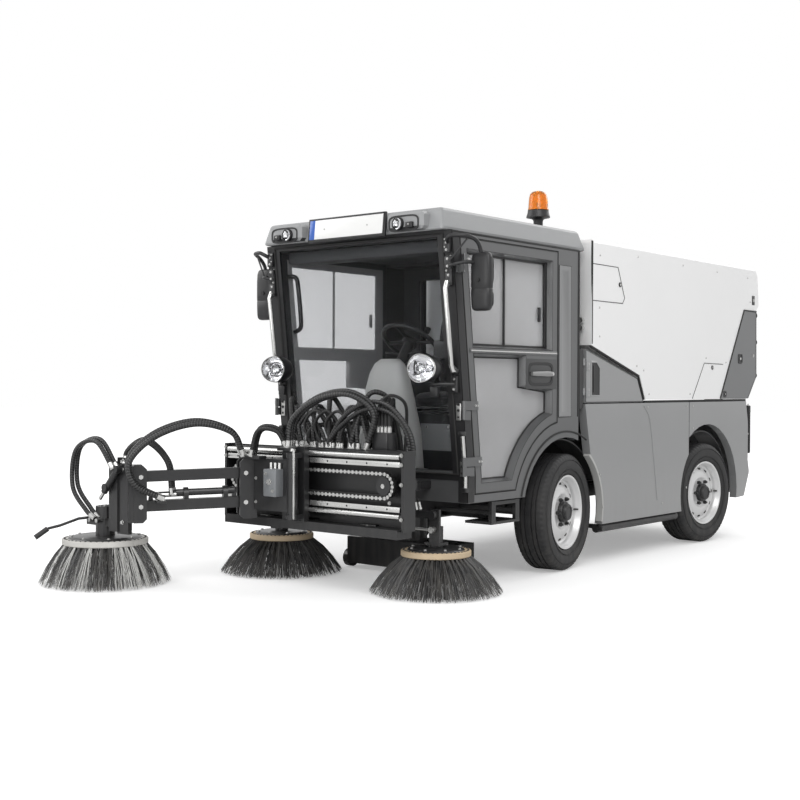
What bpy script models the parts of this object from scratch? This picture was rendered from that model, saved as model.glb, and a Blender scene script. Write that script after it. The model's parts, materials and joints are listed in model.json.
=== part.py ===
"""Compact all-wheel-steer street sweeper with a tipping hopper and a third broom on a traversing arm.

Lengths are metres. The vehicle faces -Y, its left side is +X and +Z is up. While it is built, x = 0 is
the centre plane, y = 0 the front axle and z = 0 the ground; the root empty then moves the whole
vehicle so that the middle of its bounding box stands on the world's origin.
"""
import math

import bmesh
import bpy
from mathutils import Matrix, Vector

# Driving dimensions of the vehicle
WHEELBASE = 1.739
WHEEL_X = 0.555
RIM_RADIUS = 0.2074
TYRE_WALL = 0.1196
TYRE_RADIUS = RIM_RADIUS + TYRE_WALL
TYRE_WIDTH = 0.200
BODY_X = 0.650
PANEL = 0.050
SHEET = 0.012
BAR = 0.040
FIT = 0.0003
PIN_GAP = 0.0005
SHUT_GAP = 0.005
WELD = 0.002
MERGE = 0.00001
OVERRUN = 0.060
FRONT_STEER = math.radians(8.1)
REAR_STEER = math.radians(-4.2)

# Running gear
TYRE_SIDES = 22
SIDEWALL_SHARES = ((0.0, 0.76), (0.52, 1.0), (0.80, 0.94), (1.0, 0.72))
RIM_HALF = 0.086
RIM_SEAT = 0.014
RIM_DROP = 0.020
RIM_SKIN = 0.008
RIM_WELL_HALF = 0.060
DISC_FACE = 0.056
DISC_RADIUS = 0.112
DISC_DISH = 0.016
DISC_DISH_RADIUS = 0.152
HUB_RADIUS = 0.060
HUB_FACE = 0.088
KINGPIN_X = 0.460
KINGPIN_RADIUS = 0.032
KINGPIN_HALF = 0.050
EAR_THICK = 0.022
EAR_HALF = 0.030
KNUCKLE_WEB_X = 0.058
KNUCKLE_WEB = 0.020
KNUCKLE_HALF = 0.045
SPINDLE_RADIUS = 0.040
AXLE_TUBE = 0.064
AXLE_PAD = 0.001
AXLE_PAD_X = 0.040
AXLE_PAD_Y = 0.050
STEER_ARM = 0.120
STEER_ARM_X = 0.045
STEER_EYE = 0.020
STEER_ROD = 0.011
STEER_CYLINDER = 0.024
STEER_CYLINDER_HALF = 0.150
STEER_CYLINDER_Y = 0.100
STEER_SEAT = 0.060
STEER_PIN = 0.013

# Chassis
RAIL_X = 0.230
RAIL_WIDE = 0.060
RAIL_LOW = TYRE_RADIUS + AXLE_TUBE / 2 + AXLE_PAD
RAIL_DEEP = 0.070
RAIL_HIGH = RAIL_LOW + RAIL_DEEP
CROSS = 0.060
CROSS_INSET = 0.005
CROSS_FRONT = 0.080
RAIL_INSET = 0.020
DECK_RISE = 0.495
DECK_HIGH = RAIL_HIGH + DECK_RISE
DECK_THICK = 0.020
DECK_GAP = 0.070
DECK_INSET = 0.025
POST = 0.048
MOUNT_X = 0.050
MOUNT_Y = 0.080
MOUNT_HIGH = 0.010
PAD_X = 0.460
PAD_HALF = (0.050, 0.040)
PAD_HIGH = 0.020
PAD_FRONT = 0.145
PAD_BACK = 0.200
TONGUE_X = 0.365
TONGUE_HALF = 0.030
TONGUE_REACH = 0.030
EAR_X = 0.380
EAR_PLATE = 0.012
PIVOT_HALF = 0.025
PIVOT_TOP = 0.022
COVER_POST = (0.040, 0.036)
COVER_POST_X = 0.600
COVER_POST_RISE = 0.315
COVER_POST_GAP = 0.020
GUARD_Z = 0.200
GUARD_X = 0.600
GUARD_RADIUS = 0.026
GUARD_BAR = 0.022
GUARD_CLEAR = 0.073
GUARD_SHARES = (0.10, 0.90)
STEP_X = (0.470, 0.640)
STEP_Y = (-0.700, -0.445)
STEP_Z = (0.315, 0.435)
STEP_TREAD = 0.014
STEP_SIDE = 0.020
ENGINE_HALF = 0.190
ENGINE_LONG = 0.600
ENGINE_HIGH = 0.455
ENGINE_GAP = 0.270

# Cab
CAB_LOW = RAIL_HIGH + MOUNT_HIGH
CAB_HEIGHT = 1.360
CAB_HIGH = CAB_LOW + CAB_HEIGHT
CAB_REAR = 0.130
CAB_TOP_FRONT = -1.054
CAB_SILL_FRONT = -0.912
CAB_SILL_RISE = 0.135
CAB_SILL_Z = CAB_LOW + CAB_SILL_RISE
CAB_WALL = 0.045
CAB_FLOOR = 0.040
CAB_INSET = 0.005
CAB_X = BODY_X - CAB_INSET
MOUNT_SHARES = (0.05, 0.53, 0.93)
WELL_GAP = 0.093
WELL_RADIUS = TYRE_RADIUS + WELL_GAP
WELL_WALL = 0.030
WELL_X = 0.290
GLASS = 0.006
SCREEN_X = 0.585
SCREEN_SET = 0.004
SCREEN_EDGE = 0.030
SCREEN_FOOT = 0.025
REAR_WINDOW_X = 0.480
REAR_WINDOW_FOOT = 0.610
REAR_WINDOW_TOP = 0.120
REAR_WINDOW_SET = 0.030
ROOF_RISE = 0.114
ROOF_HIGH = CAB_HIGH + ROOF_RISE
ROOF_EAVE = (0.630, -1.105, 0.230)
ROOF_TOP = (0.600, -1.080, 0.190)
ROOF_ROUND = 0.016
POD_X = (0.300, 0.535)
POD_FRONT = 0.045
POD_DEEP = 0.055
POD_INSET = (0.006, 0.019)

# Doors
DOOR_SILL = 0.045
DOOR_HEAD = 0.030
DOOR_REAR = 0.220
DOOR_PILLAR = 0.062
DOOR_FRAME = 0.052
DOOR_LAND = 0.065
DOOR_RAIL_Z = 0.770
DOOR_RAIL = 0.030
DOOR_GLASS_LAP = 0.016
HINGE_OUT = 0.012
HINGE_BACK = 0.089
HINGE_RISE = 0.560
HINGE_X = BODY_X + HINGE_OUT
HINGE_Y = CAB_TOP_FRONT + HINGE_BACK
DOOR_HINGE_Z = CAB_LOW + HINGE_RISE
HINGE_STRAP = 0.050
HINGE_HIGH = 0.046
HINGE_LEAF = 0.010
HINGE_FOOT = 0.018
HINGE_BARREL = 0.009
HINGE_SHARES = (0.11, 0.33, 0.90)
HANDLE_AHEAD = (0.502, 0.275)
HANDLE_RISE = (0.600, 0.715)
HANDLE_Y = (CAB_REAR - HANDLE_AHEAD[0], CAB_REAR - HANDLE_AHEAD[1])
HANDLE_Z = (CAB_LOW + HANDLE_RISE[0], CAB_LOW + HANDLE_RISE[1])
HANDLE_DEEP = 0.024
HANDLE_BAR = 0.009
GRAB_X = 0.617
GRAB_RISE = (0.665, 1.105)
GRAB_BEND = 0.030
GRAB_BAR = 0.011
GRAB_OUT = 0.042

# Cab fittings
DESK_X = 0.240
DESK_FRONT = 0.072
DESK_REACH = 0.200
DESK_STEP = 0.320
DESK_HIGH = 0.640
DESK_TOP = 0.700
DESK_BROW = 0.060
COLUMN_X = -0.020
COLUMN_RADIUS = 0.030
COLUMN_FOOT = (0.120, 0.570)
WHEEL_HUB = (0.280, 0.790)
STEERING_RADIUS = 0.160
STEERING_GRIP = 0.012
STEERING_HUB = 0.045
STEERING_TILT = math.radians(-36.0)
SEAT_X = 0.230
SEAT_BEHIND = 0.100
SEAT_LONG = 0.360
SEAT_Z = (0.420, 0.510)
SEAT_BACK = (0.100, 0.500)
SEAT_BACK_LEAN = 0.040
SEAT_HEAD = (0.130, 0.110, 0.130)
SEAT_BASE = 0.180
SEAT_ROUND = 0.025

# Lamps, mirrors and beacon
LAMP_X = 0.509
LAMP_RISE = 0.678
LAMP_Y = (-0.098, 0.014)
LAMP_RADIUS = (0.075, 0.045)
LAMP_FOOT_RISE = 0.600
LAMP_ARM = 0.024
FOOT_X = 0.611
FOOT_WIDE = 0.020
FOOT_HALF = 0.040
FOOT_THICK = 0.022
MIRROR_X = (0.700, 0.820)
MIRROR_Y = (0.069, 0.124)
MIRROR_BELOW = (0.400, 0.110)
MIRROR_ROUND = 0.018
MIRROR_FOOT_BELOW = 0.060
MIRROR_FOOT = 0.035
MIRROR_LOOP_BELOW = 0.035
MIRROR_STEM = 0.012
MIRROR_LOOP = ((0.650, -0.036), (0.740, -0.006), (0.760, 0.064))
MIRROR_DROP = 0.045
BEACON_X = 0.400
BEACON_AHEAD = 0.050
BEACON_STEM = (0.050, 0.136)
BEACON_DOME = (0.062, 0.050, 0.100)

# Body behind the cab
PANEL_RISE = 0.005
PANEL_TOP = DECK_HIGH + PANEL_RISE
FRONT_ARCH_GAP = 0.073
FRONT_ARCH = TYRE_RADIUS + FRONT_ARCH_GAP
SKIRT_GAP = 0.048
SKIRT_RADIUS = TYRE_RADIUS + SKIRT_GAP
PANEL_BEHIND = 0.066
PANEL_FRONT = CAB_REAR + PANEL_BEHIND
PANEL_REAR = 0.266
PANEL_DROP = 0.097
PANEL_ARC_END = 50.0
BODY_GAP = 0.008
REAR_ARCH_GAP = 0.128
REAR_ARCH = TYRE_RADIUS + REAR_ARCH_GAP
REAR_ARCH_END = -8.0
REAR_FLARE = 0.604
REAR_LOW_Z = 0.270
REAR_HIGH_Z = 0.430
REAR_BUMP = 0.686
REAR_FACE = 0.661
REAR_FACE_Z = (0.520, 0.780)
REAR_TOP = 0.626
REAR_WALL = 0.055
REAR_ROUND = 0.030
COVER_SEAM = 0.006
COVER_LOW = PANEL_TOP + COVER_SEAM
COVER_BEHIND = 0.004
COVER_FRONT = PANEL_FRONT + COVER_BEHIND
COVER_FOOT_GAP = 0.025
COVER_BEND_GAP = (0.023, 0.019)
COVER_TOP_GAP = 0.023
COVER_DEEP = 0.037
COVER_SET = 0.003
COVER_PIN = (0.010, 0.0075)
COVER_KNUCKLE = 0.006
COVER_KNUCKLE_HALF = 0.020
COVER_KNUCKLE_RISE = (0.064, 0.234)

# Hopper
HOPPER_PIVOT_BACK = 0.681
HOPPER_PIVOT_Y = WHEELBASE + HOPPER_PIVOT_BACK
HOPPER_LOW = DECK_HIGH + PAD_HIGH
HOPPER_WALL = 0.036
HOPPER_TOP_FRONT = 0.933
HOPPER_TOP_REAR = 0.922
HOPPER_BEHIND = 0.135
HOPPER_FRONT = CAB_REAR + HOPPER_BEHIND
HOPPER_SLOPE = ((0.765, 0.006), (0.693, 0.154), (0.128, 0.323))
HOPPER_REAR = ((0.626, 0.0), (0.765, 0.159), (0.756, 0.632), (0.796, 0.660), (0.772, 0.866), (0.729, 0.922))
HOPPER_ROUND = 0.022
ROOM_REAR_SHARE = 1.2
ROOM_FLOOR_SHARE = 0.7
ROOM_BEND_SHARES = (0.75, 0.85)
ROOM_TOP_SHARE = 0.9
HOPPER_BACK_WALL = 0.697
MOUTH_BACK = 0.733
MOUTH_X = 0.560
MOUTH_Z = (0.205, 0.835)
BACK_Z = (0.165, 0.885)
HOPPER_EAR_X = 0.415
HOPPER_EAR = (0.010, 0.022)
HOPPER_EAR_DROP = 0.015
HOPPER_EAR_RISE = 0.110
DOOR_X = 0.600
DOOR_THICK = 0.0257
DOOR_Z = (0.180, 0.855)
DOOR_PIVOT = (0.761, 0.870)
CORNER_FRONT = 0.185
CORNER_SLANT = 0.552
CORNER_HIGH = 0.620
CORNER_SEAM = 0.004
CORNER_DEEP = 0.014
CORNER_PROUD = 0.002
STOWED_RADIUS = 0.0376
STOWED_X = 0.440
STOWED_TURNS = ((0.195, 0.465, 1), (0.465, 0.630, -1), (0.630, 0.825, 1))
STOWED_STEPS = 8
STOWED_OUT = 0.038

# Front frame
FRAME_X = 0.620
FRAME_AHEAD = 0.326
FRAME_DEEP = 0.080
FRAME_Y = CAB_TOP_FRONT - FRAME_AHEAD
FRAME_BACK = FRAME_Y + FRAME_DEEP
FRAME_SHEET = 0.014
FRAME_Z = (0.340, 0.715)
RAIL_TOP_Z = 0.690
RAIL_BOTTOM_Z = 0.405
FLAT_HALF = 0.018
FLAT_SET = 0.020
RAIL_BAR = 0.012
END_SHEET = 0.016
END_OUT = 0.010
END_PROUD = 0.005
BEAM_X = 0.600
BEAM_Z = (0.300, 0.345)
BEAM_OUT = 0.030
MOTOR_RADIUS = 0.045
MOTOR_REAR = 0.110
CHAIN_Z = 0.549
CHAIN_X = 0.500
CHAIN_PITCH = 0.03175
CHAIN_PLATE = 0.010
CHAIN_WAIST = 0.004
CHAIN_THICK = 0.012
CHAIN_OUT = 0.002
SPROCKET_RADIUS = 0.055
SPROCKET_SIDES = 21
SPROCKET_INSET = 0.0025
SPROCKET_THICK = 0.006
SHAFT_RADIUS = 0.018
SHAFT_OUT = 0.012

# Carriage and third broom arm
SWING_X = -0.036
SWING_AHEAD = 0.088
SWING = (SWING_X, FRAME_Y - SWING_AHEAD)
SWING_Z = (0.370, 0.680)
SLIDE_GAP = 0.0005
CARRIAGE_X = (-0.150, 0.000)
CARRIAGE_Z = (0.350, 0.715)
CARRIAGE_SHEET = 0.020
SHOE_HALF = 0.020
SHOE_INSET = (0.005, 0.010)
SHOE_DEEP = 0.015
SIDE_SHEET = 0.006
LUG_HALF = (0.030, 0.012)
LUG_RADIUS = 0.032
BARREL_RADIUS = 0.028
SWING_BODY_HALF = 0.018
SWING_BODY_REACH = 0.070
SWING_BODY_PAST = 0.0043
SWING_INSET = 0.010
ARM_INNER_PLACE = (-0.366, -0.110, 0.430)
ARM_OUTER_PLACE = (-0.660, -0.550, 0.417)
ARM_INNER = Vector((ARM_INNER_PLACE[0], FRAME_Y + ARM_INNER_PLACE[1], ARM_INNER_PLACE[2]))
ARM_OUTER = Vector((ARM_OUTER_PLACE[0], FRAME_Y + ARM_OUTER_PLACE[1], ARM_OUTER_PLACE[2]))
ARM_SPACING = 0.150
ARM_WIDE = 0.050
ARM_HIGH = 0.055
ARM_EYE = 0.024
ARM_EYE_HALF = 0.041
CHEEK_OFFSET = 0.048
CHEEK_THICK = 0.012
CHEEK_HALF = 0.030
CHEEK_MIDDLE = 0.500
CHEEK_HIGH = 0.310
CHEEK_CHAMFER = 0.020
WEB_BACK = 0.044
WEB_THICK = 0.030
WEB_INSET = 0.004
WEB_OVER = 0.002
LINK_WIDE = 0.034
LINK_HIGH = 0.240
LINK_Z = 0.520
LINK_REACH = 0.110
HEAD_FRONT = 0.034
HEAD_MIDDLE = 0.480
HEAD_HIGH = 0.290
MAST_X = (-0.140, -0.052)
MAST_Y = (-0.034, -0.010)
MAST_Z = (0.270, 0.660)
FORK_X = (-0.030, 0.040)
FORK_Y = 0.041
FORK_HALF = 0.006
FORK_Z = (0.280, 0.640)
FORK_BACK = 0.015
TILT_OFFSET = (-0.170, 0.005, -0.099)
TILT_PIVOT = ARM_OUTER + Vector(TILT_OFFSET)
TILT_EYE = 0.024
TILT_EYE_HALF = 0.034
TILT_ARM = (0.060, 0.040)
TILT_REACH = 0.120
THIRD_MOTOR = 0.050
THIRD_MOTOR_TOP = 0.400
MOTOR_GAP = 0.013
LEVER_RADIUS = 0.008
LEVER_GRIP = 0.014
LEVER_ROUTE = ((-0.025, -0.035, 0.345), (-0.085, -0.105, 0.335), (-0.149, -0.175, 0.300))
LEVER_END = ((-0.190, -0.220, 0.285), (-0.222, -0.275, 0.240))
CYLINDER_RADIUS = 0.018
CYLINDER_ROD = 0.009
CYLINDER_LIFT = 0.060
CYLINDER_SHARES = (0.10, 0.66, 0.90)
CYLINDER_FOOT = 0.012

# Brooms
TUFTS = 16
FLUTE_SHARE = 0.965
RING_THICK = 0.030
RING_LIP = 0.006
DISC_IN = (0.030, 0.060)
DISC_HIGH = 0.0127
SKIRT_WALL = 0.055
SKIRT_ROOF = 0.010
SKIRT_SINK = 0.004
SKIRT_FLARE = 0.020
BROOM_TIP_Z = 0.002
SIDE_BROOM = (0.544, -1.039)
SIDE_TIP = 0.337
SIDE_RING = 0.176
SIDE_RING_Z = 0.185
THIRD_OFFSET = (-0.290, 0.005)
THIRD_BROOM = (ARM_OUTER.x + THIRD_OFFSET[0], ARM_OUTER.y + THIRD_OFFSET[1])
THIRD_TIP = 0.340
THIRD_RING = 0.220
THIRD_RING_Z = 0.205

# Side broom linkage
LINK_INNER_X = 0.290
LINK_OUTER_X = 0.560
LINK_Y = (-1.104, -1.084)
LINK_SEAT = -1.0785
LINK_UPPER_Z = 0.392
LINK_LOWER_Z = 0.318
LINK_ARM_HALF = 0.018
LINK_END = 0.024
LINK_ROD = 0.008
LINK_EYE = 0.016
BRACKET_Y = (-1.078, -1.046)
BRACKET_X = (0.276, 0.304)
BRACKET_Z = (0.298, 0.418)
HANGER_X = (0.532, 0.592)
HANGER_Y = (-1.078, -1.062)
HANGER_TOP = 0.418
SHELF_X = (0.500, 0.590)
SHELF_Y = -1.000
SHELF_Z = (0.012, 0.024)
SIDE_MOTOR = 0.036
SIDE_MOTOR_TOP = 0.330

# Suction mouth
MOUTH_BOX_X = 0.360
MOUTH_BOX_Y = (0.130, 0.100)
MOUTH_BOX_Z = (0.030, 0.180)
MOUTH_WALL = 0.030
MOUTH_LIP = 0.020
DUCT_Y = -0.570
DUCT_RADIUS = 0.090
DUCT_WALL = 0.010
CASTOR_X = 0.385
CASTOR_AHEAD = 0.070
CASTOR_Z = 0.052
CASTOR_RADIUS = 0.051
CASTOR_HALF = 0.018
CASTOR_FORK = (0.015, 0.020, 0.120)

PAINTS = {
    "body_grey": ((0.33, 0.34, 0.35), 0.45, 0.0),
    "roof_grey": ((0.42, 0.43, 0.44), 0.45, 0.0),
    "rear_grey": ((0.20, 0.21, 0.22), 0.45, 0.0),
    "hopper_white": ((0.82, 0.82, 0.82), 0.40, 0.0),
    "black_steel": ((0.03, 0.03, 0.03), 0.50, 0.2),
    "bright_steel": ((0.60, 0.60, 0.60), 0.30, 1.0),
    "rim_silver": ((0.62, 0.62, 0.62), 0.40, 0.6),
    "rubber": ((0.03, 0.03, 0.03), 0.80, 0.0),
    "black_plastic": ((0.03, 0.03, 0.03), 0.55, 0.0),
    "glass": ((0.70, 0.72, 0.73), 0.05, 0.0),
    "amber": ((0.90, 0.45, 0.03), 0.15, 0.0),
    "lamp": ((0.85, 0.85, 0.85), 0.10, 0.0),
    "seat_cloth": ((0.08, 0.08, 0.08), 0.90, 0.0),
    "wood_ring": ((0.75, 0.65, 0.48), 0.70, 0.0),
    "bristle": ((0.05, 0.05, 0.05), 0.70, 0.0),
    "hose": ((0.04, 0.04, 0.04), 0.60, 0.0),
    "cream_hose": ((0.75, 0.72, 0.62), 0.60, 0.0),
}


def clear_scene():
    for obj in list(bpy.data.objects):
        bpy.data.objects.remove(obj, do_unlink=True)


clear_scene()
PARTS = bpy.data.collections.new("street_sweeper")
TOOLS = bpy.data.collections.new("cutters")
bpy.context.scene.collection.children.link(PARTS)
bpy.context.scene.collection.children.link(TOOLS)


def paint(name):
    material = bpy.data.materials.get(name)
    if material is None:
        colour, roughness, metallic = PAINTS[name]
        material = bpy.data.materials.new(name)
        material.use_nodes = True
        shader = material.node_tree.nodes["Principled BSDF"]
        shader.inputs["Base Color"].default_value = (*colour, 1.0)
        shader.inputs["Roughness"].default_value = roughness
        shader.inputs["Metallic"].default_value = metallic
    return material


def empty(name, place, parent, turn=0.0):
    """A joint's empty: its place is given in the vehicle's own frame, its turn is about Z."""
    marker = bpy.data.objects.new(name, None)
    PARTS.objects.link(marker)
    marker.matrix_world = Matrix.Translation(place) @ Matrix.Rotation(turn, 4, "Z")
    if parent is not None:
        marker.parent = parent
        marker.matrix_parent_inverse = WORLD[parent.name].inverted()
    WORLD[name] = marker.matrix_world.copy()
    return marker


WORLD = {}


def mesh_object(name, bm):
    mesh = bpy.data.meshes.new(name)
    bm.to_mesh(mesh)
    bm.free()
    obj = bpy.data.objects.new(name, mesh)
    PARTS.objects.link(obj)
    return obj


def box(name, x, y, z):
    """A box between two values on each axis."""
    bm = bmesh.new()
    bmesh.ops.create_cube(bm, size=1.0)
    size = Vector((x[1] - x[0], y[1] - y[0], z[1] - z[0]))
    middle = Vector((x[1] + x[0], y[1] + y[0], z[1] + z[0])) / 2
    bmesh.ops.scale(bm, vec=size, verts=bm.verts)
    bmesh.ops.translate(bm, vec=middle, verts=bm.verts)
    return mesh_object(name, bm)


def rod(name, start, end, radius, sides=12, end_radius=None):
    """A round bar, or a cone where the end has its own radius."""
    start = Vector(start)
    end = Vector(end)
    bm = bmesh.new()
    bmesh.ops.create_cone(bm, cap_ends=True, segments=sides, radius1=radius,
                          radius2=radius if end_radius is None else end_radius,
                          depth=(end - start).length)
    aim = (end - start).to_track_quat("Z", "Y").to_matrix().to_4x4()
    bmesh.ops.transform(bm, matrix=Matrix.Translation((start + end) / 2) @ aim, verts=bm.verts)
    return smooth(mesh_object(name, bm))


def beam(name, start, end, wide, high):
    """A box-section bar between two points, upright in its own height."""
    start = Vector(start)
    end = Vector(end)
    bm = bmesh.new()
    bmesh.ops.create_cube(bm, size=1.0)
    bmesh.ops.scale(bm, vec=(wide, (end - start).length, high), verts=bm.verts)
    aim = (end - start).to_track_quat("Y", "Z").to_matrix().to_4x4()
    bmesh.ops.transform(bm, matrix=Matrix.Translation((start + end) / 2) @ aim, verts=bm.verts)
    return mesh_object(name, bm)


def smooth(obj, angle=math.radians(40)):
    obj.data.shade_smooth()
    obj.data.set_sharp_from_angle(angle=angle)
    return obj


def to_mesh(curve_obj, name):
    """Turn a curve into a welded mesh object of its own."""
    bpy.context.view_layer.update()
    graph = bpy.context.evaluated_depsgraph_get()
    mesh = bpy.data.meshes.new_from_object(curve_obj.evaluated_get(graph))
    mesh.name = name
    bm = bmesh.new()
    bm.from_mesh(mesh)
    bmesh.ops.remove_doubles(bm, verts=bm.verts, dist=MERGE)
    bmesh.ops.recalc_face_normals(bm, faces=bm.faces)
    bm.to_mesh(mesh)
    bm.free()
    obj = bpy.data.objects.new(name, mesh)
    obj.matrix_world = curve_obj.matrix_world
    bpy.data.objects.remove(curve_obj, do_unlink=True)
    PARTS.objects.link(obj)
    return obj


AXES = {
    "X": Matrix(((0, 0, 1, 0), (1, 0, 0, 0), (0, 1, 0, 0), (0, 0, 0, 1))),
    "Y": Matrix(((1, 0, 0, 0), (0, 0, -1, 0), (0, 1, 0, 0), (0, 0, 0, 1))),
    "Z": Matrix.Identity(4),
}


def plate(name, outline, span, axis):
    """A flat outline pushed out along one axis.

    Along X the outline is (y, z), along Y it is (x, z) and along Z it is (x, y).
    """
    curve = bpy.data.curves.new(name, "CURVE")
    curve.dimensions = "2D"
    curve.fill_mode = "BOTH"
    curve.extrude = abs(span[1] - span[0]) / 2
    spline = curve.splines.new("POLY")
    spline.points.add(len(outline) - 1)
    for point, corner in zip(spline.points, outline):
        point.co = (corner[0], corner[1], 0.0, 1.0)
    spline.use_cyclic_u = True
    obj = bpy.data.objects.new(name + "_outline", curve)
    PARTS.objects.link(obj)
    middle = (span[0] + span[1]) / 2
    shift = {"X": (middle, 0, 0), "Y": (0, middle, 0), "Z": (0, 0, middle)}[axis]
    flat = to_mesh(obj, name)
    flat.data.transform(Matrix.Translation(shift) @ AXES[axis])
    return flat


def tube(name, points, radius, bevel_resolution=2, smooth_steps=0):
    """A round tube through the given points."""
    curve = bpy.data.curves.new(name, "CURVE")
    curve.dimensions = "3D"
    curve.bevel_depth = radius
    curve.bevel_resolution = bevel_resolution
    curve.use_fill_caps = True
    route = [Vector(p) for p in points]
    if smooth_steps:
        route = rounded(route, smooth_steps)
    spline = curve.splines.new("POLY")
    spline.points.add(len(route) - 1)
    for point, corner in zip(spline.points, route):
        point.co = (*corner, 1.0)
    obj = bpy.data.objects.new(name + "_route", curve)
    PARTS.objects.link(obj)
    return smooth(to_mesh(obj, name))


def rounded(route, steps):
    """Points along a Catmull-Rom curve through the route's own points."""
    ends = [route[0] + (route[0] - route[1])] + route + [route[-1] + (route[-1] - route[-2])]
    points = []
    for k in range(1, len(ends) - 2):
        a, b, c, d = ends[k - 1:k + 3]
        for step in range(steps):
            t = step / steps
            points.append(0.5 * ((2 * b) + (c - a) * t + (2 * a - 5 * b + 4 * c - d) * t * t
                                 + (3 * b - a - 3 * c + d) * t ** 3))
    return points + [route[-1]]


def turned(name, profile, sides, closed=True):
    """A profile of (radius, height) turned about Z; its outer side runs from top to bottom."""
    bm = bmesh.new()
    corners = [bm.verts.new((radius, 0.0, height)) for radius, height in profile]
    for first, second in zip(corners, corners[1:]):
        bm.edges.new((first, second))
    if closed:
        bm.edges.new((corners[-1], corners[0]))
    obj = mesh_object(name, bm)
    screw = obj.modifiers.new("Turn", "SCREW")
    screw.angle = 2 * math.pi
    screw.steps = sides
    screw.render_steps = sides
    screw.use_merge_vertices = True
    screw.merge_threshold = MERGE
    return obj


def applied(obj):
    """The object with its modifiers made into its mesh, for use in a fused piece."""
    bpy.context.view_layer.update()
    graph = bpy.context.evaluated_depsgraph_get()
    mesh = bpy.data.meshes.new_from_object(obj.evaluated_get(graph))
    obj.modifiers.clear()
    obj.data = mesh
    return obj


def change(base, others, operation):
    for other in others:
        modifier = base.modifiers.new(operation.title(), "BOOLEAN")
        modifier.operation = operation
        modifier.object = other
        modifier.solver = "EXACT"
        other.hide_render = True
        other.display_type = "WIRE"
        PARTS.objects.unlink(other)
        TOOLS.objects.link(other)
    result = applied(base)
    for other in others:
        bpy.data.objects.remove(other, do_unlink=True)
    return result


def fuse(base, *others):
    return change(base, others, "UNION")


def carve(base, *others):
    return change(base, others, "DIFFERENCE")


def mirrored(obj, name=None):
    """The same piece on the vehicle's other side."""
    twin = bpy.data.objects.new(name or obj.name + "_right", obj.data.copy())
    bm = bmesh.new()
    bm.from_mesh(twin.data)
    bmesh.ops.scale(bm, vec=(-1, 1, 1), verts=bm.verts)
    bmesh.ops.reverse_faces(bm, faces=bm.faces)
    bm.to_mesh(twin.data)
    bm.free()
    PARTS.objects.link(twin)
    return twin


def finish(obj, paint_name, parent):
    """Give a piece its paint and hang it on its body without moving it."""
    obj.data.materials.clear()
    obj.data.materials.append(paint(paint_name))
    obj.parent = parent
    obj.matrix_parent_inverse = WORLD[parent.name].inverted()
    return obj


def arc(centre, radius, start, end, steps):
    """Points of an arc, its angles in degrees."""
    points = []
    for step in range(steps + 1):
        angle = math.radians(start + (end - start) * step / steps)
        points.append((centre[0] + radius * math.cos(angle), centre[1] + radius * math.sin(angle)))
    return points


def span_of(side, near, far):
    """A span along X on one side of the vehicle, lowest first."""
    return tuple(sorted((side * near, side * far)))


def around(middle, half):
    return (middle - half, middle + half)


def rounded_box(name, x, y, z, radius, segments=2):
    piece = box(name, x, y, z)
    soften = piece.modifiers.new("Round", "BEVEL")
    soften.width = radius
    soften.segments = segments
    return smooth(applied(piece))


def round_edges(piece, pick, radius, segments=2):
    """Rounds the edges whose two ends are both picked."""
    bm = bmesh.new()
    bm.from_mesh(piece.data)
    edges = [edge for edge in bm.edges if all(pick(vert.co) for vert in edge.verts)]
    bmesh.ops.bevel(bm, geom=edges, offset=radius, segments=segments, affect="EDGES", profile=0.5)
    bm.to_mesh(piece.data)
    bm.free()
    return piece


def upright(name, outline, half, origin, along):
    """A plate standing on edge: its outline is (distance along, height), its middle runs through origin."""
    piece = plate(name, outline, (-half, half), "Y")
    across = Vector((0.0, 0.0, 1.0)).cross(along)
    turn = Matrix((along, across, (0.0, 0.0, 1.0))).transposed().to_4x4()
    piece.data.transform(Matrix.Translation((origin.x, origin.y, 0.0)) @ turn)
    return piece


# Running gear

def tyre_mesh():
    half = TYRE_WIDTH / 2
    bead = RIM_RADIUS + 2 * FIT
    wall = TYRE_RADIUS / math.cos(math.pi / TYRE_SIDES) - bead
    outer = [(bead + wall * rise, half * width) for rise, width in SIDEWALL_SHARES]
    inner = [(radius, -width) for radius, width in reversed(outer)]
    return smooth(applied(turned("tyre", outer + inner, TYRE_SIDES)))


def rim_mesh():
    edge = RIM_RADIUS
    well = edge - RIM_DROP
    skin = well - RIM_SKIN
    profile = [(0.0, HUB_FACE), (HUB_RADIUS, HUB_FACE), (HUB_RADIUS + RIM_SKIN, DISC_FACE), (DISC_RADIUS, DISC_FACE),
               (DISC_DISH_RADIUS, DISC_FACE - DISC_DISH), (skin, DISC_FACE - RIM_SKIN),
               (edge - RIM_SEAT, RIM_HALF), (edge, RIM_HALF), (edge, RIM_HALF - RIM_SEAT), (well, RIM_WELL_HALF),
               (well, -RIM_WELL_HALF), (edge, RIM_SEAT - RIM_HALF), (edge, -RIM_HALF), (skin, -RIM_WELL_HALF),
               (skin, DISC_DISH), (DISC_RADIUS, DISC_FACE - SHEET), (0.0, DISC_FACE - SHEET)]
    return smooth(applied(turned("rim", profile, TYRE_SIDES, closed=False)))


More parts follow.
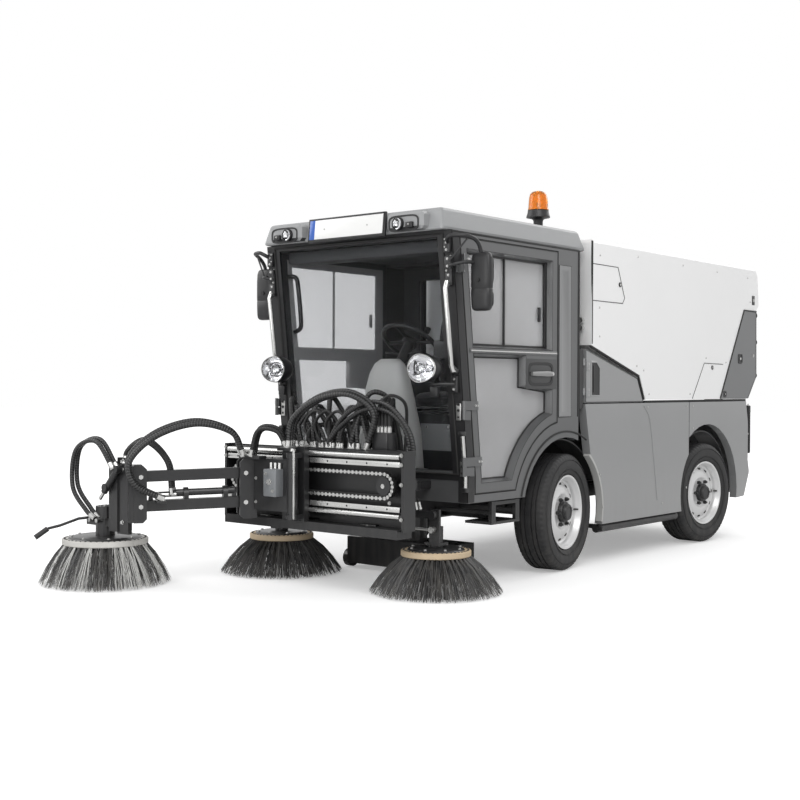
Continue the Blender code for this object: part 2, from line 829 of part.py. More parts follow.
def knuckle_mesh():
    """A steering knuckle: its kingpin is at the origin and +X points outboard."""
    reach = KINGPIN_HALF + 2 * FIT
    top = reach + EAR_THICK
    web = around(KNUCKLE_WEB_X, KNUCKLE_WEB / 2)
    half = (-KNUCKLE_HALF, KNUCKLE_HALF)
    ears = [box("ear", (0.0, KNUCKLE_WEB_X), (-EAR_HALF, EAR_HALF), tuple(sorted((s * reach, s * (top - FIT)))))
            for s in (-1, 1)]
    bosses = [rod("boss", (0, 0, s * (reach - FIT / 2)), (0, 0, s * (top + WELD)), KINGPIN_RADIUS) for s in (-1, 1)]
    face = WHEEL_X - KINGPIN_X + DISC_FACE - SHEET - FIT
    spindle = rod("spindle", (KNUCKLE_WEB_X, 0, 0), (face, 0, 0), SPINDLE_RADIUS)
    arm_z = (reach + WELD, top - 2 * WELD)
    arm = box("arm", (-STEER_ARM_X, KNUCKLE_WEB_X - WELD), (STEER_EYE, STEER_ARM), arm_z)
    eye = rod("eye", (-STEER_ARM_X, STEER_ARM, arm_z[0] - FIT), (-STEER_ARM_X, STEER_ARM, arm_z[1] + WELD), STEER_EYE)
    return fuse(box("knuckle", web, half, (-top, top)), *ears, *bosses, spindle, arm, eye)


def axle(name, y, steer, root):
    """The beam between two kingpins, its pads under the rails and the steering cylinder on it."""
    half = AXLE_TUBE / 2
    middle = TYRE_RADIUS
    reach = KINGPIN_X - KINGPIN_RADIUS / 2
    piece = box(name, (-reach, reach), around(y, half), around(middle, half))
    rod_y = y + STEER_CYLINDER_Y
    eye_top = middle + KINGPIN_HALF + WELD - 2 * FIT
    extras = []
    for side in (-1, 1):
        extras.append(rod("boss", (side * KINGPIN_X, y, middle - KINGPIN_HALF),
                          (side * KINGPIN_X, y, middle + KINGPIN_HALF), KINGPIN_RADIUS))
        extras.append(box("pad", around(side * RAIL_X, AXLE_PAD_X), around(y, AXLE_PAD_Y),
                          (middle + STEER_ROD, RAIL_LOW - FIT)))
        arm = Matrix.Rotation(steer, 2) @ Vector((-side * STEER_ARM_X, STEER_ARM))
        eye = (side * KINGPIN_X + arm.x, y + arm.y)
        extras.append(rod("rod", (0.0, rod_y, middle), (*eye, middle), STEER_ROD, 8))
        extras.append(rod("pin", (*eye, middle - STEER_PIN), (*eye, eye_top), STEER_PIN, 10))
    extras.append(box("seat", (-STEER_SEAT, STEER_SEAT), (y, rod_y), around(middle, STEER_CYLINDER - WELD)))
    extras.append(rod("cylinder", (-STEER_CYLINDER_HALF, rod_y, middle), (STEER_CYLINDER_HALF, rod_y, middle),
                      STEER_CYLINDER))
    finish(fuse(piece, *extras), "black_steel", root)


def hang_shared(name, mesh, place, parent):
    """A piece that shares its mesh, and so its paint, with the other wheels."""
    piece = bpy.data.objects.new(name, mesh)
    PARTS.objects.link(piece)
    piece.matrix_world = place
    piece.parent = parent
    piece.matrix_parent_inverse = WORLD[parent.name].inverted()


def wheel_set(name, side, y, steer, root, meshes):
    """One corner: knuckle on its kingpin, then tyre and rim on the wheel's axle."""
    pivot = empty("steer_" + name, (side * KINGPIN_X, y, TYRE_RADIUS), root, steer)
    frame = WORLD[pivot.name]
    hang_shared("knuckle_" + name, meshes["knuckle_left" if side > 0 else "knuckle_right"], frame, pivot)
    centre = frame @ Matrix.Translation((side * (WHEEL_X - KINGPIN_X), 0, 0))
    spin = empty("spin_" + name, centre.translation, pivot, steer)
    flip = Matrix.Rotation(0.0 if side > 0 else math.pi, 4, "Z")
    lay = Matrix.Rotation(math.pi / 2, 4, "Y") @ Matrix.Rotation(math.pi / TYRE_SIDES, 4, "Z")
    for kind in ("tyre", "rim"):
        hang_shared(kind + "_" + name, meshes[kind], centre @ flip @ lay, spin)


def running_gear(root):
    shapes = {"tyre": tyre_mesh(), "rim": rim_mesh(), "knuckle_left": knuckle_mesh()}
    shapes["knuckle_right"] = mirrored(shapes["knuckle_left"], "knuckle_right")
    paints = {"tyre": "rubber", "rim": "rim_silver", "knuckle_left": "black_steel", "knuckle_right": "black_steel"}
    meshes = {}
    for name, shape in shapes.items():
        meshes[name] = shape.data
        meshes[name].materials.clear()
        meshes[name].materials.append(paint(paints[name]))
        bpy.data.objects.remove(shape, do_unlink=True)
    for end, y, steer in (("front", 0.0, FRONT_STEER), ("rear", WHEELBASE, REAR_STEER)):
        axle(end + "_axle", y, steer, root)
        wheel_set(end + "_left", 1, y, steer, root, meshes)
        wheel_set(end + "_right", -1, y, steer, root, meshes)


# Chassis

def chassis(root):
    rail_front = FRAME_BACK + FIT
    deck = (CAB_REAR + DECK_GAP, WHEELBASE + REAR_FACE - REAR_WALL - DECK_INSET)
    rail_rear = deck[1] - RAIL_INSET
    half = RAIL_WIDE / 2
    piece = box("chassis_frame", around(RAIL_X, half), (rail_front, rail_rear), (RAIL_LOW, RAIL_HIGH))
    extras = [box("rail", around(-RAIL_X, half), (rail_front, rail_rear), (RAIL_LOW, RAIL_HIGH))]
    engine = (CAB_REAR + ENGINE_GAP, CAB_REAR + ENGINE_GAP + ENGINE_LONG)
    cross_z = (RAIL_LOW + CROSS_INSET, RAIL_HIGH - CROSS_INSET)
    for y in (rail_front + CROSS_FRONT, DUCT_Y - DUCT_RADIUS - CROSS_FRONT, engine[0] + CROSS, engine[1] - CROSS,
              rail_rear - CROSS):
        extras.append(box("cross", (-RAIL_X, RAIL_X), around(y, CROSS / 2), cross_z))
    deck_low = DECK_HIGH - DECK_THICK
    deck_x = BODY_X - PANEL - FIT
    extras.append(box("deck", (-deck_x, deck_x), deck, (deck_low, DECK_HIGH)))
    for side in (-1, 1):
        for y in (deck[0] + CROSS, engine[1] + CROSS, rail_rear - POST):
            extras.append(box("post", around(side * RAIL_X, POST / 2), around(y, POST / 2),
                              (RAIL_HIGH - WELD, DECK_HIGH - WELD)))
        for share in MOUNT_SHARES:
            y = CAB_SILL_FRONT + share * (CAB_REAR - CAB_SILL_FRONT)
            extras.append(box("cab_mount", around(side * RAIL_X, MOUNT_X / 2), around(y, MOUNT_Y / 2),
                              (RAIL_HIGH - WELD, CAB_LOW - FIT)))
        for y in (CAB_REAR + HOPPER_SLOPE[0][0] + PAD_FRONT, HOPPER_PIVOT_Y - PAD_BACK):
            extras.append(box("pad", around(side * PAD_X, PAD_HALF[0]), around(y, PAD_HALF[1]),
                              (DECK_HIGH - WELD, HOPPER_LOW - FIT)))
        extras.append(box("tongue", around(side * TONGUE_X, TONGUE_HALF),
                          (deck[1] - BAR, HOPPER_PIVOT_Y + TONGUE_REACH), (deck_low + WELD, DECK_HIGH - WELD / 2)))
        extras.append(box("ear", around(side * EAR_X, EAR_PLATE), around(HOPPER_PIVOT_Y, PIVOT_HALF),
                          (DECK_HIGH - WELD, HOPPER_LOW + PIVOT_TOP)))
        extras += cover_post(side, deck, deck_low)
        extras += side_guard(side)
        extras += cab_step(side)
        extras.append(box("broom_block", span_of(side, RAIL_X, BRACKET_X[0] + WELD),
                          around(sum(BRACKET_Y) / 2, SHEET), (LINK_UPPER_Z - SHEET, BRACKET_Z[1] - WELD)))
        extras.append(box("broom_plate", span_of(side, *BRACKET_X), BRACKET_Y, BRACKET_Z))
    finish(fuse(piece, *extras), "black_steel", root)
    seat = cross_z[1] + FIT
    block = rounded_box("engine_block", (-ENGINE_HALF, ENGINE_HALF), engine, (seat, seat + ENGINE_HIGH), BAR / 2, 1)
    finish(block, "black_steel", root)


def cover_post(side, deck, deck_low):
    """The post in front of the hopper that the side cover's hinge stands on."""
    y = (CAB_REAR + COVER_POST_GAP, CAB_REAR + COVER_POST_GAP + COVER_POST[1])
    near = COVER_POST_X - 2 * BAR
    return [box("cover_post", span_of(side, COVER_POST_X, COVER_POST_X + COVER_POST[0]), y,
                (deck_low, DECK_HIGH + COVER_POST_RISE)),
            box("post_foot", span_of(side, near, COVER_POST_X + BAR / 2), (y[0] + WELD, y[1] - WELD),
                (deck_low + WELD / 2, DECK_HIGH - WELD / 2)),
            box("post_heel", span_of(side, near + WELD, COVER_POST_X - WELD), (y[0] + BODY_GAP, deck[0] + BAR),
                (deck_low + WELD, DECK_HIGH - WELD))]


def side_guard(side):
    """The round tube under the side panel, on two flat bars that drop from the rail."""
    y = (TYRE_RADIUS + GUARD_CLEAR, WHEELBASE - TYRE_RADIUS - GUARD_CLEAR / 2)
    pieces = [rod("guard", (side * GUARD_X, y[0], GUARD_Z), (side * GUARD_X, y[1], GUARD_Z), GUARD_RADIUS)]
    for share in GUARD_SHARES:
        place = around(y[0] + share * (y[1] - y[0]), BAR / 2)
        drop_x = RAIL_X + GUARD_BAR / 2
        pieces.append(box("bar", span_of(side, drop_x, GUARD_X), place, around(GUARD_Z, GUARD_BAR / 2)))
        pieces.append(box("drop", around(side * drop_x, GUARD_BAR / 2), place,
                          (GUARD_Z - GUARD_BAR / 2 + WELD, RAIL_LOW + WELD)))
    return pieces


def cab_step(side):
    """The step under the door: a flat tread in an open frame, on two bars from the rail."""
    outer = span_of(side, STEP_X[1] - STEP_SIDE, STEP_X[1])
    pieces = [box("tread", span_of(side, *STEP_X), STEP_Y, (STEP_Z[0], STEP_Z[0] + STEP_TREAD))]
    for y in (STEP_Y[0] + STEP_SIDE, STEP_Y[1] - STEP_SIDE):
        pieces.append(box("upright", outer, around(y, STEP_SIDE - WELD), (STEP_Z[0] + WELD, STEP_Z[1])))
        pieces.append(box("bar", span_of(side, RAIL_X, STEP_X[1] - WELD), around(y, STEP_SIDE / 2),
                          (RAIL_LOW + CROSS_INSET, RAIL_LOW + CROSS_INSET + STEP_SIDE)))
    pieces.append(box("head", outer, (STEP_Y[0] + WELD, STEP_Y[1] - WELD), (STEP_Z[1] - STEP_SIDE, STEP_Z[1] - WELD)))
    return pieces


# Cab

def cab_front(z):
    """The cab's front face at a height: it leans back towards the sill."""
    lean = (CAB_SILL_FRONT - CAB_TOP_FRONT) / (CAB_HIGH - CAB_SILL_Z)
    return CAB_TOP_FRONT + (CAB_HIGH - max(z, CAB_SILL_Z)) * lean


def front_strip(low, high, near, far):
    """A strip along the sloping front, between two distances behind it."""
    return [(cab_front(high) + near, high), (cab_front(low) + near, low),
            (cab_front(low) + far, low), (cab_front(high) + far, high)]


def door_outline(grow):
    """The door seen from the side; grow gives the opening round it."""
    low = CAB_LOW + DOOR_SILL - grow
    high = CAB_HIGH - DOOR_HEAD + grow
    rear = CAB_REAR - DOOR_REAR + grow
    radius = WELL_RADIUS + WELL_WALL + DOOR_LAND - grow
    pillar = DOOR_PILLAR - grow
    start = 180 - math.degrees(math.asin((low - TYRE_RADIUS) / radius))
    end = 180 - math.degrees(math.acos(-rear / radius))
    return ([(cab_front(high) + pillar, high), (cab_front(CAB_SILL_Z) + pillar, CAB_SILL_Z),
             (cab_front(low) + pillar, low)] + arc((0.0, TYRE_RADIUS), radius, start, end, 8) + [(rear, high)])


def well(side, radius, near, far):
    """A cylinder over one front wheel, to cut or keep clear its arch."""
    return rod("well", (side * near, 0, TYRE_RADIUS), (side * far, 0, TYRE_RADIUS), radius, 36)


def cab(root):
    front_foot = cab_front(CAB_LOW)
    outline = [(CAB_TOP_FRONT, CAB_HIGH), (CAB_SILL_FRONT, CAB_SILL_Z), (front_foot, CAB_LOW),
               (CAB_REAR, CAB_LOW), (CAB_REAR, CAB_HIGH)]
    frame = plate("cab_frame", outline, (-CAB_X, CAB_X), "X")
    wall = CAB_WALL
    ceiling = CAB_HIGH - wall
    floor = CAB_LOW + CAB_FLOOR
    inner = [(cab_front(ceiling) + wall, ceiling), (CAB_SILL_FRONT + wall, CAB_SILL_Z), (front_foot + wall, floor),
             (CAB_REAR - wall, floor), (CAB_REAR - wall, ceiling)]
    room = plate("room", inner, (wall - CAB_X, CAB_X - wall), "X")
    past = CAB_X + OVERRUN
    opening = plate("opening", door_outline(SHUT_GAP), (-past, past), "X")
    housing = WELL_RADIUS + WELL_WALL
    room = carve(room, *[well(side, housing, WELL_X - WELL_WALL, past) for side in (-1, 1)])
    opening = carve(opening, *[well(side, housing, WELL_X - WELL_WALL, past + OVERRUN) for side in (-1, 1)])
    wells = [well(side, WELL_RADIUS, WELL_X, past) for side in (-1, 1)]
    screen_z = (CAB_SILL_Z + SCREEN_FOOT, CAB_HIGH - SCREEN_EDGE)
    screen = box("screen", (-SCREEN_X, SCREEN_X), (CAB_TOP_FRONT - OVERRUN, CAB_SILL_FRONT + 2 * OVERRUN), screen_z)
    rear_z = (CAB_LOW + REAR_WINDOW_FOOT, CAB_HIGH - REAR_WINDOW_TOP)
    rear = box("rear", (-REAR_WINDOW_X, REAR_WINDOW_X), around(CAB_REAR, 2 * OVERRUN), rear_z)
    shell = carve(frame, room, *wells, opening, screen, rear)
    finish(fuse(shell, *pillar_fittings(-1), *pillar_fittings(1)), "body_grey", root)

    pane_x = SCREEN_X - FIT
    pane = front_strip(screen_z[0] + WELD, screen_z[1] - WELD, SCREEN_SET, SCREEN_SET + GLASS)
    finish(plate("windscreen", pane, (-pane_x, pane_x), "X"), "glass", root)
    glass_x = REAR_WINDOW_X - FIT
    glass_y = CAB_REAR - REAR_WINDOW_SET
    finish(box("rear_window", (-glass_x, glass_x), (glass_y, glass_y + GLASS), (rear_z[0] + FIT, rear_z[1] - FIT)),
           "glass", root)
    cab_roof(root)


def cab_roof(root):
    """The moulded roof: a rounded shell that narrows upwards, with a lamp pod at each front corner."""
    low = CAB_HIGH + FIT
    roof = box("cab_roof", (-1.0, 1.0), (-1.0, 1.0), (low, ROOF_HIGH))
    for vert in roof.data.vertices:
        x, front, rear = ROOF_TOP if vert.co.z > (low + ROOF_HIGH) / 2 else ROOF_EAVE
        vert.co.y = rear if vert.co.y > 0 else front
        vert.co.x *= x
    soften = roof.modifiers.new("Round", "BEVEL")
    soften.width = ROOF_ROUND
    soften.segments = 2
    roof = applied(roof)
    pods = []
    for side in (-1, 1):
        pods.append(rounded_box("pod", span_of(side, *POD_X), (ROOF_EAVE[1] - POD_FRONT, ROOF_EAVE[1] + POD_DEEP),
                                (low + POD_INSET[0], ROOF_HIGH - POD_INSET[1]), POD_FRONT / 3, 1))
    finish(fuse(roof, *pods), "roof_grey", root)


def window_outlines(lap=0.0):
    """The door's upper window and its lower one round the wheel arch; a lap makes them wider."""
    frame = DOOR_FRAME - lap
    front = DOOR_PILLAR + frame
    rear = CAB_REAR - DOOR_REAR - frame
    top = CAB_HIGH - DOOR_HEAD - frame
    rail = CAB_LOW + DOOR_RAIL_Z
    sill = rail + DOOR_RAIL / 2
    upper = [(cab_front(sill) + front, sill), (rear, sill), (rear, top), (cab_front(top) + front, top)]
    radius = WELL_RADIUS + WELL_WALL + DOOR_LAND + frame
    foot = CAB_LOW + DOOR_SILL + frame
    start = 180 - math.degrees(math.asin((foot - TYRE_RADIUS) / radius))
    end = 180 - math.degrees(math.acos(-rear / radius))
    head = rail - DOOR_RAIL / 2
    arch = [(cab_front(CAB_SILL_Z) + front, foot)] + arc((0.0, TYRE_RADIUS), radius, start, end, 7)
    corner = HANDLE_Y[0] - DOOR_FRAME / 2
    lower = ([(cab_front(head) + front, head), (cab_front(CAB_SILL_Z) + front, CAB_SILL_Z)] + arch
             + [(rear, HANDLE_Z[0] - DOOR_FRAME / 2), (corner, HANDLE_Z[0]), (corner, head)])
    return upper, lower, arch


def doors(root):
    """Both doors swing forward on the hinges of the front pillar."""
    upper, lower = window_outlines()[:2]
    wide, _, arch = window_outlines(DOOR_GLASS_LAP)
    pane = [wide[3]] + arch + [(arch[-1][0], wide[2][1])]
    inner = BODY_X - PANEL + FIT
    for side, name in ((1, "left"), (-1, "right")):
        hinge = empty("door_hinge_" + name, (side * HINGE_X, HINGE_Y, DOOR_HINGE_Z), root)
        panel = plate("door_" + name, door_outline(0.0), span_of(side, inner, CAB_X), "X")
        deep = span_of(side, inner - OVERRUN, CAB_X + OVERRUN)
        pocket = box("pocket", span_of(side, CAB_X - HANDLE_DEEP, CAB_X + OVERRUN), HANDLE_Y, HANDLE_Z)
        panel = carve(panel, plate("upper", upper, deep, "X"), plate("lower", lower, deep, "X"), pocket)
        grip_z = sum(HANDLE_Z) / 2
        grip_x = side * (CAB_X - HANDLE_BAR)
        fittings = [rod("grip", (grip_x, HANDLE_Y[0] - HANDLE_BAR, grip_z), (grip_x, HANDLE_Y[1] + HANDLE_BAR, grip_z),
                        HANDLE_BAR, 8)]
        for z in hinge_heights():
            edge = cab_front(z) + DOOR_PILLAR
            fittings.append(box("strap", span_of(side, CAB_X + WELD / 2, CAB_X + HINGE_LEAF),
                                (HINGE_Y, edge + HINGE_STRAP), (z, z + HINGE_HIGH)))
            fittings.append(box("pad", span_of(side, CAB_X - WELD, CAB_X + HINGE_LEAF - WELD),
                                (edge + WELD, edge + HINGE_STRAP - WELD), (z + WELD, z + HINGE_HIGH - WELD)))
            fittings.append(rod("barrel", (side * HINGE_X, HINGE_Y, z - WELD / 2),
                                (side * HINGE_X, HINGE_Y, z + HINGE_HIGH + WELD), HINGE_BARREL, 10))
        finish(fuse(panel, *fittings), "body_grey", hinge)
        back = inner - 2 * FIT
        finish(plate("door_glass_" + name, pane, span_of(side, back - GLASS, back), "X"), "glass", hinge)


def hinge_heights():
    """Where each hinge parts: its moving half stands on the fixed one."""
    foot, top = CAB_LOW + DOOR_SILL, CAB_HIGH - DOOR_HEAD
    return [foot + share * (top - foot) for share in HINGE_SHARES]


def pillar_fittings(side):
    """The fixed halves of the door's hinges and the grab tube, on the front pillar."""
    pieces = []
    for z in hinge_heights():
        high = z - WELD / 2 - PIN_GAP
        middle = cab_front(z) + DOOR_PILLAR / 2
        ends = (min(middle, HINGE_Y) - WELD, max(middle, HINGE_Y) + WELD)
        pieces.append(rod("barrel", (side * HINGE_X, HINGE_Y, high - HINGE_HIGH), (side * HINGE_X, HINGE_Y, high),
                          HINGE_BARREL, 10))
        pieces.append(box("leaf", span_of(side, CAB_X + HINGE_LEAF / 2, HINGE_X), ends,
                          (high - HINGE_HIGH + WELD, high - WELD)))
        pieces.append(box("foot", span_of(side, CAB_X - WELD, CAB_X + HINGE_LEAF), around(middle, HINGE_FOOT),
                          (high - HINGE_HIGH - WELD, high - 2 * WELD)))
    low, top = (CAB_LOW + rise for rise in GRAB_RISE)
    x = side * GRAB_X
    ends = [(x, cab_front(low) + WELD, low), (x, cab_front(low) - GRAB_OUT, low + GRAB_BEND),
            (x, cab_front(top) - GRAB_OUT, top - GRAB_BEND), (x, cab_front(top) + WELD, top)]
    pieces.append(tube("grab", ends, GRAB_BAR, 1))
    return pieces


# Cab fittings

def cab_fittings(root):
    floor = CAB_LOW + CAB_FLOOR
    front = CAB_SILL_FRONT + DESK_FRONT
    desk_x = (-DESK_X, DESK_X)
    back = front + DESK_REACH
    desk = plate("dashboard", [(front, floor + FIT), (back + BAR, floor + FIT), (back, floor + DESK_STEP),
                               (back, floor + DESK_HIGH), (back - DESK_BROW, floor + DESK_TOP),
                               (front, floor + DESK_HIGH - BAR / 2)], desk_x, "X")
    hub = (COLUMN_X, front + WHEEL_HUB[0], floor + WHEEL_HUB[1])
    column = rod("column", (COLUMN_X, front + COLUMN_FOOT[0], floor + COLUMN_FOOT[1]), hub, COLUMN_RADIUS)
    section = [math.radians(90 - 72 * step) for step in range(5)]
    wheel = applied(turned("wheel", [(STEERING_RADIUS + STEERING_GRIP * math.cos(angle),
                                      STEERING_GRIP * math.sin(angle)) for angle in section], 20))
    spoke = STEERING_GRIP - WELD
    reach = STEERING_RADIUS - WELD
    spokes = [box("spoke", (-reach, reach), (-spoke, spoke), (-spoke / 2, spoke / 2)),
              box("spoke", (-spoke, spoke), (-reach, 0.0), (WELD / 2 - spoke / 2, spoke / 2 - WELD / 2)),
              rod("hub", (0, 0, -2 * spoke), (0, 0, 2 * spoke), STEERING_HUB, 16)]
    wheel = fuse(wheel, *spokes)
    wheel.data.transform(Matrix.Translation(hub) @ Matrix.Rotation(STEERING_TILT, 4, "X"))
    finish(fuse(desk, column, wheel), "black_plastic", root)

    rear = CAB_REAR - SEAT_BEHIND
    cushion = rounded_box("seat", (-SEAT_X, SEAT_X), (rear - SEAT_LONG, rear), (floor + SEAT_Z[0], floor + SEAT_Z[1]),
                          SEAT_ROUND)
    low = floor + SEAT_Z[0] + SEAT_ROUND
    top = floor + SEAT_Z[1] + SEAT_BACK[1]
    lean = SEAT_BACK_LEAN
    back = plate("back", [(rear - SEAT_BACK[0] - lean, low), (rear - lean, low), (rear, top), (rear - SEAT_BACK[0], top)],
                 (SEAT_ROUND / 2 - SEAT_X, SEAT_X - SEAT_ROUND / 2), "X")
    back = round_edges(back, lambda corner: corner.z > low, SEAT_ROUND)
    head = rounded_box("head", (-SEAT_HEAD[0], SEAT_HEAD[0]), (rear - SEAT_HEAD[1], rear - WELD),
                       (top - SEAT_ROUND, top + SEAT_HEAD[2]), SEAT_ROUND)
    base = box("base", around(0.0, SEAT_BASE), (rear - SEAT_LONG + SEAT_ROUND, rear - SEAT_ROUND),
               (floor + FIT, floor + SEAT_Z[0] + WELD))
    finish(fuse(cushion, back, head, base), "seat_cloth", root)


# Lamps, mirrors and beacon

def lamps_and_mirrors(root):
    for side, name in ((1, "left"), (-1, "right")):
        x = side * LAMP_X
        z = CAB_LOW + LAMP_RISE
        foot_z = CAB_LOW + LAMP_FOOT_RISE
        lamp_y = (CAB_TOP_FRONT + LAMP_Y[0], CAB_TOP_FRONT + LAMP_Y[1])
        lamp = rod("headlight_" + name, (x, lamp_y[0], z), (x, lamp_y[1], z), LAMP_RADIUS[0], 20, LAMP_RADIUS[1])
        arm = beam("arm", (x, lamp_y[1] - BAR / 2, z - BAR / 2),
                   (side * FOOT_X, cab_front(foot_z) - FOOT_THICK + WELD, foot_z), LAMP_ARM, LAMP_ARM + WELD)
        foot = plate("foot", front_strip(foot_z - FOOT_HALF, foot_z + FOOT_HALF, -FOOT_THICK, -2 * FIT),
                     around(side * FOOT_X, FOOT_WIDE), "X")
        finish(fuse(lamp, arm, foot), "lamp", root)
        mirror(side, name, root)
    x, y = BEACON_X, CAB_REAR - BEACON_AHEAD
    foot, neck = ROOF_HIGH + FIT, ROOF_HIGH + BEACON_STEM[1]
    stem = rod("beacon", (x, y, foot), (x, y, neck), BEACON_STEM[0], 18)
    dome = rod("dome", (x, y, neck - BODY_GAP), (x, y, neck + BEACON_DOME[2]), BEACON_DOME[0], 18, BEACON_DOME[1])
    finish(fuse(stem, dome), "amber", root)


def mirror(side, name, root):
    """The mirror head hangs from a bent tube on the front pillar."""
    y = (CAB_TOP_FRONT + MIRROR_Y[0], CAB_TOP_FRONT + MIRROR_Y[1])
    z = (CAB_HIGH - MIRROR_BELOW[0], CAB_HIGH - MIRROR_BELOW[1])
    foot_z = CAB_HIGH - MIRROR_FOOT_BELOW
    loop_z = CAB_HIGH - MIRROR_LOOP_BELOW
    head = rounded_box("mirror_" + name, span_of(side, *MIRROR_X), y, z, MIRROR_ROUND)
    foot = plate("foot", front_strip(foot_z - MIRROR_FOOT, foot_z + MIRROR_FOOT, -MIRROR_ROUND, -2 * FIT),
                 around(side * FOOT_X, FOOT_WIDE), "X")
    route = [(side * FOOT_X, cab_front(foot_z) - MIRROR_STEM, foot_z)]
    route += [(side * place[0], CAB_TOP_FRONT + place[1], loop_z) for place in MIRROR_LOOP[:2]]
    middle = side * sum(MIRROR_X) / 2
    route += [(middle, CAB_TOP_FRONT + MIRROR_LOOP[2][1], loop_z - MIRROR_DROP),
              (middle, sum(y) / 2, z[1] - MIRROR_DROP)]
    finish(fuse(head, tube("stem", route, MIRROR_STEM, 2), foot), "black_plastic", root)


# Body behind the cab

def body_panels(root):
    drop = math.degrees(math.asin(PANEL_DROP / FRONT_ARCH))
    front_edge = arc((0.0, TYRE_RADIUS), FRONT_ARCH, -drop, PANEL_ARC_END, 8)
    start = math.degrees(math.acos(-PANEL_REAR / SKIRT_RADIUS))
    end = 180 + math.degrees(math.asin(PANEL_DROP / SKIRT_RADIUS))
    rear_edge = arc((WHEELBASE, TYRE_RADIUS), SKIRT_RADIUS, start, end, 8)
    outline = front_edge + [(PANEL_FRONT, PANEL_TOP), (WHEELBASE - PANEL_REAR, PANEL_TOP)] + rear_edge
    left = plate("side_panel_left", outline, (BODY_X - PANEL, BODY_X), "X")
    finish(mirrored(left, "side_panel_right"), "body_grey", root)
    finish(left, "body_grey", root)
    rear_body(root)

    low = COVER_LOW
    foot, bend, top = hopper_slope()
    cover = plate("side_cover_left", [(COVER_FRONT, low), (foot[0] - COVER_FOOT_GAP, low),
                                      (bend[0] - COVER_BEND_GAP[0], bend[1] - COVER_BEND_GAP[1]),
                                      (COVER_FRONT, top[1] - COVER_TOP_GAP)],
                  (BODY_X - COVER_SET - COVER_DEEP, BODY_X - COVER_SET), "X")
    pin = (BODY_X - COVER_PIN[0], COVER_FRONT - COVER_PIN[1])
    knuckles = []
    for rise in COVER_KNUCKLE_RISE:
        z = around(low + rise, COVER_KNUCKLE_HALF)
        knuckles.append(rod("knuckle", (*pin, z[0]), (*pin, z[1]), COVER_KNUCKLE, 8))
        knuckles.append(box("leaf", around(pin[0], COVER_KNUCKLE - WELD), (pin[1], COVER_FRONT + COVER_KNUCKLE),
                            (z[0] + WELD / 2, z[1] - WELD / 2)))
    cover = fuse(cover, *knuckles)
    twin = mirrored(cover, "side_cover_right")
    middle = low + sum(COVER_KNUCKLE_RISE) / 2
    for side, name, piece in ((1, "left", cover), (-1, "right", twin)):
        finish(piece, "body_grey", empty("cover_hinge_" + name, (side * pin[0], pin[1], middle), root))


def rear_body(root):
    """The body round the rear wheels: one bent shell, open below and above, with a rounded bumper."""
    front = BODY_GAP - PANEL_REAR
    start = math.degrees(math.acos(front / REAR_ARCH))
    bumper = [(REAR_FLARE, REAR_LOW_Z), (REAR_BUMP, REAR_HIGH_Z), (REAR_FACE, REAR_FACE_Z[0]),
              (REAR_FACE, REAR_FACE_Z[1]), (REAR_TOP, PANEL_TOP)]
    outline = [(WHEELBASE + front, PANEL_TOP)] + arc((WHEELBASE, TYRE_RADIUS), REAR_ARCH, start, REAR_ARCH_END, 14)
    outline += [(WHEELBASE + y, z) for y, z in bumper]
    body = plate("rear_body", outline, (-BODY_X, BODY_X), "X")
    edge_y = WHEELBASE + REAR_FLARE - WELD
    body = round_edges(body, lambda corner: abs(corner.x) > BODY_X - WELD and corner.y > edge_y, REAR_ROUND)
    inner_x = (PANEL - BODY_X, BODY_X - PANEL)
    wall_y = WHEELBASE + REAR_FACE - REAR_WALL
    inside = box("inside", inner_x, (WHEELBASE - REAR_ARCH, wall_y), (0.0, PANEL_TOP + OVERRUN))
    notch = box("notch", inner_x, (wall_y - BAR, wall_y + 2 * OVERRUN),
                (DECK_HIGH - DECK_THICK - SHUT_GAP, PANEL_TOP + 2 * OVERRUN))
    finish(carve(body, inside, notch), "body_grey", root)


# Hopper

def hopper_slope():
    """The (y, z) corners of the hopper's low front edge, from its foot to its upper end."""
    return [(CAB_REAR + y, HOPPER_LOW + z) for y, z in HOPPER_SLOPE]


